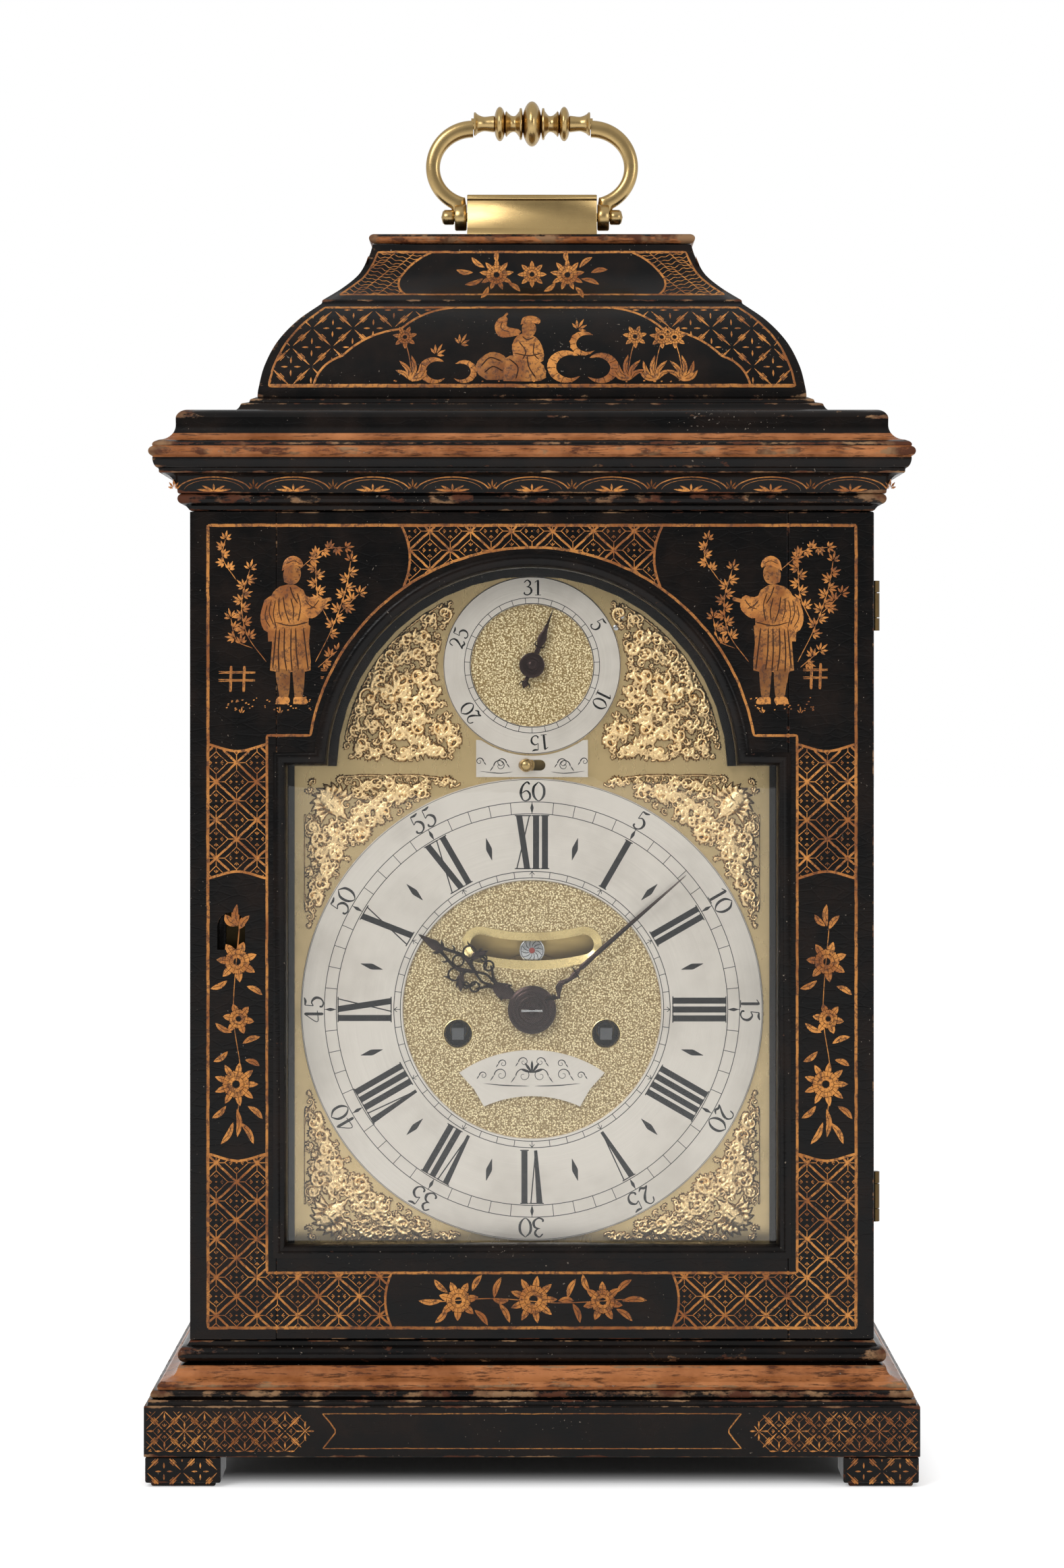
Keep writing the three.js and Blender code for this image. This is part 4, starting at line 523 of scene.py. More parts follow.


# %% [markdown]
# A corner of the profile is worn, and given painted highlight, where the path turns outwards. The turn at a
# point is the cross product of the steps before and after it, divided by their lengths: the sine of the angle
# between them.

# %% Sweep round the case
def sampled_profile(parts, spacing=0.3, soften=2):
    """Even points along the profile, softened at its corners, with its gilding and its wear and highlight."""
    points, gild = [], []
    for finish, run in parts:
        run = np.asarray(run, float)
        points.append(run)
        gild += [float(finish == "gold")] * len(run)
    points = np.vstack(points)
    along = np.concatenate([[0], np.cumsum(np.linalg.norm(np.diff(points, axis=0), axis=1))])
    s = np.arange(0, along[-1], spacing)
    fine = np.stack([np.interp(s, along, points[:, k]) for k in range(2)], -1)
    gild = np.interp(s, along, gild)
    ahead = np.roll(fine, -3, 0) - fine
    behind = fine - np.roll(fine, 3, 0)
    turn = behind[:, 0] * ahead[:, 1] - behind[:, 1] * ahead[:, 0]
    turn /= np.linalg.norm(ahead, axis=1) * np.linalg.norm(behind, axis=1) + 1e-9
    # Outward turns mark wear, and with it the painted highlight of the arris.
    wear_and_highlight = np.clip(turn * 1.5, 0, 1)
    smooth = fine.copy()
    for _ in range(soften):
        smooth[1:-1] = (smooth[:-2] + 2 * smooth[1:-1] + smooth[2:]) / 4
    kernel = np.ones(5) / 5
    return smooth, np.round(gild), np.convolve(wear_and_highlight, kernel, "same")


def rectangle_loop(half_x, half_y, per_side):
    """Points round a rectangle for arrays of half sizes, each side cut into per_side parts."""
    signs = np.array([[-1, -1], [1, -1], [1, 1], [-1, 1]], float)
    corners = signs[None] * np.stack([half_x, half_y], -1)[:, None]
    t = np.linspace(0, 1, per_side, endpoint=False)[None, None, :, None]
    ahead = np.roll(corners, -1, axis=1)
    return (corners[:, :, None] * (1 - t) + ahead[:, :, None] * t).reshape(len(half_x), -1, 2)


def mitred_moulding(name, parts, material, replaces, closed, per_side=24, depth_less=49.0):
    """The profile swept round the rectangle of the case; an open one is closed by flat ends."""
    profile, gild, wear_and_highlight = sampled_profile(parts)
    half_x = CASE_X + profile[:, 0]
    loop = rectangle_loop(half_x, half_x - depth_less, per_side)
    rows, columns = loop.shape[:2]
    heights = np.repeat(profile[:, 1], columns)
    points = np.column_stack([loop.reshape(-1, 2), heights])
    across = np.abs(np.linspace(-1, 1, per_side + 1)[:-1])
    corner = np.tile(np.clip((across - 0.93) / 0.07, 0, 1), 4) * 0.5
    values = {"gild": np.repeat(gild, columns), "wear_and_highlight": (wear_and_highlight[:, None] + corner[None]).ravel()}
    faces = [facing_out(points, grid_quads(rows, columns, closed, True))]
    if not closed:
        first = np.arange(columns)[::-1]
        faces += [first[None], (rows - 1) * columns + first[::-1][None]]
    return piece(name, points, faces, [material], "case", replaces, values, sharp=50)


mitred_moulding("base_moulding_ring", base_profile, MOULDED, ["base_moulding"], closed=True)
mitred_moulding("cornice_moulding_ring", cornice_profile, MOULDED, ["cornice"], closed=True)
print("mouldings:", len(base_profile), "and", len(cornice_profile), "members")

# %% [markdown]
# The caddy is the two-stage top: a convex bell, a concave neck and a small cap. It is the same sweep, but
# its profile starts and ends flat, so its ends are closed with plain faces.

# %% Caddy
caddy_foot = [
    ("black", [(-13.3, 392.6), (-13.1, 392.7)]),
    ("black", arc((-13.1, 396.8), (4.4, 4), -95, -170, 14)),
    ("black", [(-20.5, 396.9), (-20.5, 397.8), (-23.2, 399.0)]),
]


def spline(points, steps):
    """Catmull-Rom curve through the points: each span is the cubic that shares its neighbours' slopes."""
    p = np.asarray(points, float)
    p = np.vstack([2 * p[0] - p[1], p, 2 * p[-1] - p[-2]])
    t = np.linspace(0, 1, steps, endpoint=False)[:, None]
    spans = [0.5 * (2 * p[i] + (p[i + 1] - p[i - 1]) * t
                    + (2 * p[i - 1] - 5 * p[i] + 4 * p[i + 1] - p[i + 2]) * t**2
                    + (3 * p[i] - p[i - 1] - 3 * p[i + 1] + p[i + 2]) * t**3)
             for i in range(1, len(p) - 2)]
    return np.vstack(spans + [p[-2:-1]])


bell_curve = spline([(102.3, 399.6), (101.9, 402.5), (99.9, 410.7), (95.4, 420.1), (88.2, 428.8),
                     (79.4, 436.1)], 12)
neck_curve = spline([(79.4, 437.2), (72.2, 442.5), (66.5, 447.9), (63.6, 452.8), (62, 456.6),
                     (60.9, 460.5)], 12)
bell_outline = np.vstack([bell_curve, neck_curve])


def from_case(points):
    """Half widths turned into outward distances from the case."""
    return np.asarray(points, float) - [CASE_X, 0]


bell_profile = [
    ("black", from_case([(102.3, 399.05)])),
    ("black", from_case(bell_curve)),
    ("black", from_case(neck_curve)),
]
cap_profile = [
    ("black", from_case([(60.6, 460.8)])),
    ("gold", from_case(arc((60.4, 462.65), (2, 1.75), -75, 20, 8))),
    ("black", from_case(arc((60.4, 462.65), (2, 1.75), 25, 75, 5))),
    ("black", from_case([(60.6, CAP_TOP)])),
]


def board_profile(low, high, half=114.5):
    """A board that closes a frame of mouldings, its arrises broken by half a millimetre."""
    return [("black", from_case([(half - 0.5, low), (half, low + 0.5), (half, high - 0.5),
                                 (half - 0.5, high)]))]


for name, parts in (("caddy_moulding", caddy_foot), ("caddy_bell", bell_profile),
                    ("caddy_cap", cap_profile)):
    mitred_moulding(name + "_finish", parts, MOULDED, [name], closed=False)
mitred_moulding("base_board", board_profile(43, CASE_BOTTOM), MOULDED, [], closed=False)
mitred_moulding("top_board", board_profile(384.5, 392.4), MOULDED, [], closed=False)
print("caddy: bell and neck drawn with", len(bell_outline), "points")

# %% [markdown]
# ## Boards
# The side boards, the feet and the door's stiles and rails are right as the CAD model has them, but their
# arrises are knife sharp. A merged copy with a bevel gets a soft edge that catches the light, and the
# bevel's own faces take the worn finish, whose pale rubbed colour is partly painted highlight.

# %% Boards with worn arrises and painted highlight on them
def softened(name, node, materials, body, width=0.5, segments=2):
    """A merged copy of a CAD node with a live bevel; its faces take the first finish, its edges the second."""
    mesh = bpy.data.meshes.new(name)
    copy = bmesh.new()
    copy.from_mesh(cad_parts[node].data)
    bmesh.ops.remove_doubles(copy, verts=copy.verts, dist=0.02 * MM)
    flat = {"angle_limit": math.radians(0.6), "verts": copy.verts, "edges": copy.edges}
    bmesh.ops.dissolve_limit(copy, use_dissolve_boundaries=False, **flat)
    copy.to_mesh(mesh)
    copy.free()
    mesh.materials.clear()
    for material in materials:
        mesh.materials.append(material)
    mesh.shade_smooth()
    mesh.set_sharp_from_angle(angle=math.radians(30))
    made = bpy.data.objects.new(name, mesh)
    scene.collection.objects.link(made)
    bevel = made.modifiers.new("worn and highlit arris", "BEVEL")
    bevel.width, bevel.segments, bevel.limit_method = width * MM, segments, "ANGLE"
    bevel.angle_limit = math.radians(35)
    # The bevel takes the last finish: worn lacquer, its pale rubbed colour partly painted highlight.
    bevel.material = len(materials) - 1
    bevel.harden_normals = True
    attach(made, body)
    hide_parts(node)
    return made


boards = [(f"side_board_{hand}", f"side_{hand}", "case") for hand in ("left", "right")]
boards += [(f"{node}_finish", node, "front_door")
           for node in ("door_head", "door_rail", "door_stile_left", "door_stile_right")]
boards += [("back_door_frame_finish", "back_door_frame", "back_door")]
boards += [(f"foot_{place}_finish", f"foot_{place}", "case")
           for place in ("front_left", "front_right", "back_left", "back_right")]
for name, node, body in boards:
    softened(name, node, [LACQUER, LACQUER_WORN_HIGHLIT_EDGE], body, 0.7 if "foot" in name else 0.5)
print("boards:", len(boards))

# %% [markdown]
# ## Sight moulding
# A thick rounded moulding frames the door's glass. Its outline is the break arch: a straight sill and
# jambs, two square shoulders, and a round arch above them. Moving the outline inwards step by step while
# the profile rises and falls gives the whole moulding as one closed ring.

# %% Sight moulding of the door
DOOR_FRONT = -76.5
ARCH_CENTRE, SILL = 259.5, 82.2  # heights of the arch's centre and of the lower edge of the opening


def break_arch(half, bottom, shoulder, radius, steps=72):
    """Outline of a break arch, anticlockwise from the lower left corner, as X and Z."""
    start = math.degrees(math.asin((shoulder - ARCH_CENTRE) / radius))
    low = [(-half, bottom), (half, bottom), (half, shoulder)]
    return np.vstack([low, arc((0, ARCH_CENTRE), (radius, radius), start, 180 - start, steps),
                      [(-half, shoulder)]])


SIGHT_ARCH_INSIDE = 79.1


def sight_moulding():
    """Rings of the break arch: the profile gives how far each ring lies inside the wood and its depth."""
    lip = [(0.3, DOOR_FRONT + 6), (0.3, DOOR_FRONT), (-1, DOOR_FRONT), (-1, DOOR_FRONT - 0.5)]
    round_part = arc((0.6, DOOR_FRONT + 3.2), (3.4, 4), -110, 0, 16)
    profile = np.vstack([lip, round_part, [(4, DOOR_FRONT + 6)]])
    rows = [np.insert(break_arch(94 - inset, SILL + inset, 265.8 - inset, SIGHT_ARCH_INSIDE - inset), 1,
                      depth, axis=1)
            for inset, depth in profile]
    # The crown of the round is rubbed: wear, and its pale colour partly painted highlight.
    rubbed_and_highlit = np.where(np.abs(profile[:, 1] - DOOR_FRONT + 0.6) < 0.35, 0.32, 0.04)
    wear_and_highlight = np.repeat(rubbed_and_highlit, len(rows[0]))
    values = {"gild": np.zeros(len(wear_and_highlight)), "wear_and_highlight": wear_and_highlight}
    ring_piece("sight_moulding", rows, MOULDED, "front_door", ["door_moulding"], values, sharp=28)


sight_moulding()
print("sight moulding follows the arch of radius %.1f mm" % (SIGHT_ARCH_INSIDE))
for node in ("door_glass", "back_door_glass", "side_glass_left", "side_glass_right"):
    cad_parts[node].data.materials.clear()
    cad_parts[node].data.materials.append(GLASS)

# %% [markdown]
# ## Painted ornament
# The gold figures were painted in raised size with a fine brush, so every line has a body of its own that
# catches light at its edge. Here a stroke is a low closed ridge: its middle line is resampled to the same
# number of points as every other stroke, so that all strokes of a painting are one array, and the ridge's
# two feet and its crown are worked out together. A painting is drawn on a flat sheet in millimetres and
# then laid on its surface, flat or curved, by a function that turns sheet coordinates into space.

# %% Brush
class Painting:
    """Strokes and filled shapes on a flat sheet: paths in mm, each with its width, tone and lift."""

    POINTS, RIM, BASE = 12, 20, -0.05

    def __init__(self, seed=1, field=None):
        self.strokes, self.fills, self.field = [], [], field
        self.chance = np.random.default_rng(seed)

    def brush(self, path, width, tone=0.0, ends=0.25, lift=0.0, curved=True, inside=None, reach=14.0,
              wobble=0.0):
        """One stroke; long ones are cut in lengths, and only what lies inside the given region is kept."""
        path = np.asarray(path, float)
        inside = inside or self.field
        if curved and len(path) > 2:
            path = spline(path, 8)
        fine, along = resampled(path, 0.3 if inside else 0.45)
        if wobble:
            sway = self.chance.normal(size=(len(fine) // 5 + 2, 2)) * wobble
            t = np.linspace(0, len(sway) - 1, len(fine))
            fine = fine + np.stack([np.interp(t, np.arange(len(sway)), sway[:, k]) for k in range(2)], -1)
        kept = inside(fine[:, 0], fine[:, 1]) if inside else np.ones(len(fine), bool)
        edges = np.flatnonzero(np.diff(np.concatenate([[0], kept.astype(int), [0]])))
        width = np.interp(np.linspace(0, 1, len(fine)), np.linspace(0, 1, np.size(width)),
                          np.atleast_1d(width))
        for first, last in zip(edges[::2], edges[1::2]):
            if last - first < 3:
                continue
            parts = max(1, int(round((along[last - 1] - along[first]) / reach)))
            marks = np.linspace(first, last - 1, parts + 1)
            for k in range(parts):
                t = np.linspace(marks[k], marks[k + 1], self.POINTS)
                rows = np.arange(len(fine))
                line = np.stack([np.interp(t, rows, fine[:, 0]), np.interp(t, rows, fine[:, 1])], -1)
                size = np.interp(t, rows, width)
                if k == 0:
                    size[0] *= ends
                if k == parts - 1:
                    size[-1] *= ends
                self.strokes.append((line, size, tone, lift))

    def leaf(self, base, tip, width, tone=0.0, lift=0.0, vein=True, bend=0.0):
        """A pointed leaf or petal from its base to its tip, with a dark vein."""
        base, tip = np.asarray(base, float), np.asarray(tip, float)
        across = np.array([-(tip - base)[1], (tip - base)[0]])
        middle = (base + tip) / 2 + across * bend
        swell = np.array([0.15, 0.75, 1.0, 0.8, 0.1]) * width
        self.brush([base, middle, tip], swell, tone, 0.3, lift)
        if vein:
            self.brush([base * 0.8 + tip * 0.2, middle, base * 0.15 + tip * 0.85], 0.3, 1.0, 0.3,
                       lift + 0.13)

    def fill(self, outline, tone=0.0, lift=0.0):
        """A filled shape that can be seen whole from its middle."""
        fine, _ = resampled(spline(np.vstack([outline, outline[:1]]), 6), 0.3)
        rows = np.linspace(0, len(fine) - 1, self.RIM, endpoint=False).astype(int)
        self.fills.append((fine[rows], tone, lift))

    def ridges(self):
        """All strokes as arrays: feet and crown of every ridge on the sheet, with heights and tones."""
        line = np.stack([s[0] for s in self.strokes])
        size = np.stack([s[1] for s in self.strokes])
        tone = np.array([s[2] for s in self.strokes])
        lift = np.array([s[3] for s in self.strokes])
        slope = np.gradient(line, axis=1)
        slope /= np.linalg.norm(slope, axis=2, keepdims=True) + 1e-9
        side = np.stack([-slope[..., 1], slope[..., 0]], -1) * size[..., None] / 2
        sheet = np.stack([line - side, line, line + side], 2)
        body = np.minimum(0.12, 0.04 + size * 0.12)
        body = body + lift[:, None]
        foot = np.broadcast_to(self.BASE + lift[:, None] * 0.6, body.shape)
        height = np.stack([foot, body, foot], 2)
        tones = np.broadcast_to(tone[:, None, None], height.shape)
        return sheet.reshape(-1, 2), height.ravel(), tones.ravel()

    def lay(self, name, surface, body, replaces=(), material=None, slot="japan", thin=1.0):
        """Lays the painting on its surface: surface(u, v, height) gives points in space."""
        sheet, height, tones = self.ridges()
        count, k = len(self.strokes), self.POINTS
        base = np.arange(count)[:, None, None] * k * 3 + np.arange(k - 1)[None, :, None] * 3
        sides = np.array([[0, 1], [1, 2], [2, 0]])
        quads = np.stack([base + sides[:, 0], base + sides[:, 1], base + 3 + sides[:, 1],
                          base + 3 + sides[:, 0]], -1)
        start = np.arange(count)[:, None] * k * 3
        caps = np.vstack([start + [0, 2, 1], start + (k - 1) * 3 + [0, 1, 2]])
        faces = [quads.reshape(-1, 4), caps]
        if self.fills:
            rims = np.stack([f[0] for f in self.fills])
            lifts = np.array([f[2] for f in self.fills])[:, None]
            middles = rims.mean(axis=1, keepdims=True)
            inner = middles + (rims - middles) * 0.8
            extra = np.concatenate([middles, inner, rims, middles], axis=1)
            n = self.RIM
            high = np.concatenate([lifts + 0.12, np.repeat(lifts + 0.1, n, 1),
                                   np.repeat(lifts * 0.6 - 0.05, n, 1),
                                   lifts * 0.6 - 0.06], axis=1)
            first = len(sheet) + np.arange(len(rims))[:, None] * (2 * n + 2)
            turn = np.arange(n)
            after = (turn + 1) % n
            top = np.stack([first + 0 * turn, first + 1 + turn, first + 1 + after], -1)
            under = np.stack([first + 2 * n + 1 + 0 * turn, first + 1 + n + after, first + 1 + n + turn],
                             -1)
            ring = np.stack([first + 1 + turn, first + 1 + n + turn, first + 1 + n + after,
                             first + 1 + after], -1)
            ahead = np.roll(rims, -1, 1)
            area = np.sum(rims[:, :, 0] * ahead[:, :, 1] - rims[:, :, 1] * ahead[:, :, 0], 1) / 2
            for group in (top, under, ring):
                group[area < 0] = group[area < 0][..., ::-1]
                faces.append(group.reshape(-1, group.shape[-1]))
            sheet = np.vstack([sheet, extra.reshape(-1, 2)])
            height = np.concatenate([height, high.ravel()])
            tones = np.concatenate([tones, np.repeat([f[1] for f in self.fills], 2 * n + 2)])
        points = surface(sheet[:, 0], sheet[:, 1], height * thin)
        turned = [facing_out(points, faces[0])]
        flipped = turned[0] is not faces[0]
        turned += [group[:, ::-1] if flipped else group for group in faces[1:]]
        made = piece(name, points, turned, [material or GOLD_PAINT], body, replaces, {"tone": tones},
                     sharp=75)
        print(name, "strokes:", count, "fills:", len(self.fills))
        return made


# %% [markdown]
# ### Diaper
# The lattice that fills the bands of the door is drawn from its nodes: heavy diagonals through every
# node, a fine diamond inside each mesh whose corners reach to the nodes, and a dot with four sprigs in it.
# A region function keeps only what lies inside the band.

# %% Lattice and borders
def lattice(sheet, inside, u_range, v_range, origin, half_u=7.5, half_v=7.0, heavy=1.1, fine=0.44):
    """Diagonal diaper over a region; half_u and half_v are half the distance between nodes."""
    (u0, u1), (v0, v1) = u_range, v_range
    diagonal = half_v / half_u
    reach = (u1 - u0) + (v1 - v0) / diagonal
    far = int(reach / half_u) // 2 + 1
    for k in 2 * np.arange(-far, far + 1):
        for lean in (1, -1):
            foot = origin[0] + k * half_u
            path = [(foot + lean * t, origin[1] + diagonal * t) for t in np.linspace(-reach, reach, 5)]
            sheet.brush(path, heavy, 0.12, inside=inside, curved=False, reach=8, wobble=0.07)
    columns = range(int((u0 - origin[0]) / half_u) - 2, int((u1 - origin[0]) / half_u) + 3)
    rows = range(int((v0 - origin[1]) / half_v) - 2, int((v1 - origin[1]) / half_v) + 3)
    for i in columns:
        for j in rows:
            if (i + j) % 2 == 0:
                continue
            centre = np.array([origin[0] + i * half_u, origin[1] + j * half_v])
            if not (u0 - half_u < centre[0] < u1 + half_u and v0 - half_v < centre[1] < v1 + half_v):
                continue
            corners = np.array([(1, 0), (0, 1), (-1, 0), (0, -1)]) * [half_u, half_v]
            ring = centre + corners * 0.58
            for k in range(4):
                sheet.brush([ring[k], (ring[k] + ring[(k + 1) % 4]) / 2, ring[(k + 1) % 4]], fine, 0, 0.8,
                            inside=inside, curved=False, wobble=0.05)
                sheet.brush([centre + corners[k] * 0.56, centre + corners[k] * 0.92], fine, 0, 0.8,
                            inside=inside,
                            curved=False)
                way = corners[k] / np.linalg.norm(corners[k])
                across = np.array([-way[1], way[0]])
                for turn in (-0.75, 0, 0.75):
                    tip = centre + way * (2.7 - 0.35 * abs(turn)) + across * turn
                    sheet.brush([centre + way * 1.5, tip], [0.2, 0.45], 0, 0.6, inside=inside, curved=False)
            sheet.brush([centre - [0.35, 0], centre + [0.35, 0]], 0.6, 0, 0.5, inside=inside, curved=False)


def line(sheet, path, width):
    """A ruled line, a little unsteady."""
    sheet.brush(path, width, 0.25, 0.7, curved=False, wobble=0.05)


def edge_curve(sheet, path, width):
    """The dark-edged line that bounds a field of diaper."""
    sheet.brush(path, width, 0.1, 0.8, curved=False)


def box_lines(sheet, half, low, high, width):
    """Four lines round a board."""
    corners = [(-half, low), (half, low), (half, high), (-half, high)]
    for k in range(4):
        line(sheet, [corners[k], corners[(k + 1) % 4]], width)


def mirrored(points, sign):
    """The points as they are for sign 1, or mirrored left to right for sign -1."""
    return [(sign * u, v) for u, v in points]


# %% [markdown]
# ### Flowers and sprigs
# Flowers, leaf sprays and grasses are built from one leaf stroke. A flower is a ring of petals over a
# second, turned ring, with a dotted eye, and a spray carries fans of small leaves along a bent stem.

# %% Flowers, sprays and grasses
def turned(angle, length):
    """A step of the given length in a direction in degrees."""
    return np.array([math.cos(math.radians(angle)), math.sin(math.radians(angle))]) * length


def flower(sheet, centre, radius, petals=6, start=0.0, tone=0.0):
    """Petals of width 2 pi 0.6 r / n, so that they just part, under a smaller ring turned by half a petal."""
    centre = np.asarray(centre, float)
    for ring, (reach, lift) in enumerate(((1.0, 0.02), (0.62, 0.12))):
        for k in range(petals):
            angle = start + 360 * (k + 0.5 * ring) / petals
            tip = centre + turned(angle, radius * reach)
            sheet.leaf(centre + turned(angle, radius * 0.16), tip, 3.3 * radius * reach / petals,
                       tone + 0.12 * ring, lift)
        sheet.brush(arc(centre, (radius * 0.6 * reach,) * 2, 0, 360, 24), 0.2, 1.0, 1, lift + 0.1, False)
    for k in range(6):
        spot = centre + turned(60 * k + 20, radius * 0.2)
        sheet.brush([spot - [0.14, 0], spot + [0.14, 0]], 0.26, 1.0, 0.6, 0.18, curved=False)


def leaves_at(sheet, rows, stretch, width, bend):
    """Leaves given by foot, direction in degrees and size."""
    for foot, way, size in rows:
        sheet.leaf(foot, np.array(foot) + turned(way, size * stretch), width, 0.05, 0.0, True, bend)


def fan(sheet, foot, angle, length, leaves=5, spread=110, width=0.9, tone=0.0):
    """Small pointed leaves spread like fingers from one point."""
    foot = np.asarray(foot, float)
    for k in range(leaves):
        t = k / (leaves - 1) - 0.5
        way = angle + t * spread
        size = length * (1 - 0.35 * abs(t) * 2)
        sheet.brush([foot + turned(way, size * 0.15), foot + turned(way, size * 0.62),
                     foot + turned(way, size)],
                    [0.12, width, 0.2], tone, 0.4, 0.02)


def spray(sheet, path, length=3.9, pitch=3.0, width=1.15, stem=0.45):
    """A bent stem with fans of leaves on alternate sides and one at its end."""
    sheet.brush(path, stem, 0.1, 0.5)
    fine, along = resampled(spline(path, 10), 0.3)
    slope = np.gradient(fine, axis=0)
    count = max(1, int(along[-1] * 0.75 / pitch))
    for k in range(count):
        at = int(len(fine) * (0.3 + 0.66 * k / count))
        heading = math.degrees(math.atan2(slope[at, 1], slope[at, 0]))
        side = 1 if k % 2 else -1
        fan(sheet, fine[at], heading + side * 62, length, 5, 120, width)
    heading = math.degrees(math.atan2(slope[-1, 1], slope[-1, 0]))
    fan(sheet, fine[-1], heading, length, 5, 150, width)


def grass(sheet, u_range, v, count=60, spread=2.2):
    """Short dabs along the ground."""
    for u, lift, size in sheet.chance.random((count, 3)):
        spot = np.array([u_range[0] + u * (u_range[1] - u_range[0]), v + (lift - 0.5) * spread * 2])
        sheet.brush([spot, spot + [0.25 + 0.5 * size, 0.35 * (size - 0.4)]], 0.4 + 0.25 * size, 0, 0.6,
                    curved=False)


def fence(sheet, left, right, v, height=8.5):
    """A low rail fence: two rails over leaning posts."""
    for rail in (0.38, 0.72):
        for half in (-0.3, 0.3):
            line(sheet, [(left, v + height * rail + half), (right, v + height * rail + half * 0.6)], 0.55)
    for k in range(2):
        u = left + (right - left) * (0.32 + 0.36 * k)
        sheet.brush([(u, v - 1), (u + 0.3, v + height)], 1.1, 0.15, 0.7, 0.05, curved=False)


# %% [markdown]
# ### Figures
# A garden figure stands in each upper corner. Its outline is simple: a long robe with wide sleeves, a
# sash, a skirt over two legs, and a small round head with a cap and the plainest of faces. The folds are
# dark strokes over the gold.

# %% Robed figure
class Figure:
    """Filled shapes and dark folds in the figure's own units about its foot."""

    def __init__(self, sheet, foot, unit, facing=1):
        self.sheet, self.foot, self.unit, self.facing = sheet, foot, unit, facing

    def at(self, u, v):
        return (self.foot[0] + self.facing * u * self.unit, self.foot[1] + v * self.unit)

    def shapes(self, rows):
        for tone, lift, *points in rows:
            self.sheet.fill(np.array([self.at(*p) for p in points]), tone, lift)

    def folds(self, lines):
        for path in lines:
            self.sheet.brush([self.at(*p) for p in path], 0.5, 1.0, 0.4, 0.3)


def robed_figure(sheet, foot, height, facing=1, arm=(9, 30)):
    """A standing robed figure; facing is 1 to the right or -1, and arm is the reach of the raised sleeve."""
    figure = Figure(sheet, foot, height / 44.0, facing)
    au, av = arm
    figure.shapes([
        (0.62, 0.0, (-3.4, 1.5), (-0.6, 1.5), (-0.4, 13), (-4.6, 13)),  # legs
        (0.62, 0.0, (1.0, 1.5), (3.4, 1.5), (4.0, 13), (0.4, 13)),
        (0.1, 0.02, (-4.6, 0), (-0.8, 0), (-0.4, 1.9), (-3.6, 2.2)),  # shoes
        (0.1, 0.02, (0.6, 0), (4.8, 0), (4.2, 1.9), (1.0, 2.1)),
        (0.34, 0.04, (-6.2, 9.5), (-1, 8.6), (2, 9.6), (5.8, 9.2), (5.4, 18), (5.0, 24), (-4.8, 24),
         (-5.6, 17)),  # skirt
        (0.24, 0.07, (-6.6, 18), (-6.8, 27), (-5.4, 32), (-2, 34.5), (2.4, 34), (4.6, 31), (5.2, 25),
         (4.6, 20), (0, 18.4)),  # robe
        (0.12, 0.12, (-7.6, 30), (-4.6, 31.5), (-2.6, 27), (-1.4, 22.5), (-3.6, 20.5), (-7.4, 21),
         (-8.8, 25)),  # hanging sleeve
        (0.12, 0.12, (2.0, 32.5), (5.6, 30.8), (au - 1, av + 1.4), (au, av - 2.2), (au - 3, av - 5.2),
         (3.4, 25.5), (1.6, 28)),  # raised sleeve
    ])
    sheet.brush([figure.at(au - 1, av - 0.4), figure.at(au + 2.2, av + 0.4)], 1.1 * figure.unit, 0.2, 0.5,
                0.1)
    figure.shapes([
        (0.35, 0.1, (-1.9, 35.2), (-2.2, 37.6), (-1.2, 39.8), (0.8, 40.4), (2.5, 39.4), (2.9, 37.4),
         (2.2, 35.4), (0.4, 34.4)),  # head
        (0.0, 0.16, (-2.6, 38.4), (-1.8, 41.4), (0.6, 42.8), (3.0, 41.6), (3.5, 39.4), (1.6, 40.0),
         (-0.6, 39.4)),  # cap
    ])
    figure.folds([
        [(-4.4, 30), (-5.0, 26), (-4.2, 22)], [(-2.2, 31), (-1.6, 27), (-0.4, 23.5)],
        [(1.8, 32), (2.8, 28.5), (2.2, 24)], [(-4.4, 23.6), (0, 22.6), (4.8, 23.6)],
        [(-4.2, 22), (-4.8, 15), (-5.2, 10.4)], [(-1.8, 22), (-1.9, 15), (-1.2, 9.6)],
        [(1.4, 22), (1.6, 15), (2.2, 10)], [(3.6, 22), (4.4, 15), (5.0, 10)],
        [(au - 1.4, av), (au - 3, av - 2), (4.6, 27.4)], [(-6.8, 28.6), (-7.4, 25), (-6, 22.2)],
        [(-0.2, 33.8), (0.6, 31.4), (2, 29)], [(-1.4, 40.4), (0.8, 41.3), (2.8, 40.4)],
        [(-3.2, 21.6), (-3.6, 15), (-3.4, 9.4)], [(0.1, 21.8), (0, 15), (0.4, 9.6)],
        [(-3.4, 30.6), (-3.4, 27), (-2.6, 24)], [(0, 30.6), (0.8, 27), (0.6, 24.2)],
        [(4.2, 30), (5.6, 28.4), (7.4, 27.6)], [(-5.6, 30), (-6.2, 26.4), (-5, 23)],
    ])
    for mark in ([(1.5, 38.1), (2.2, 38.1)], [(1.2, 36.0), (1.9, 36.0)], [(2.3, 37.6), (2.5, 36.9)]):
        sheet.brush([figure.at(*p) for p in mark], 0.26, 1.0, 0.6, 0.3, curved=False)


# %% [markdown]
# ### The door
# An outer gold line runs round the door and an inner one follows the sight moulding. Between them the
# lattice fills the corners of the frame, and round-ended black reserves hold the figures and flowers.

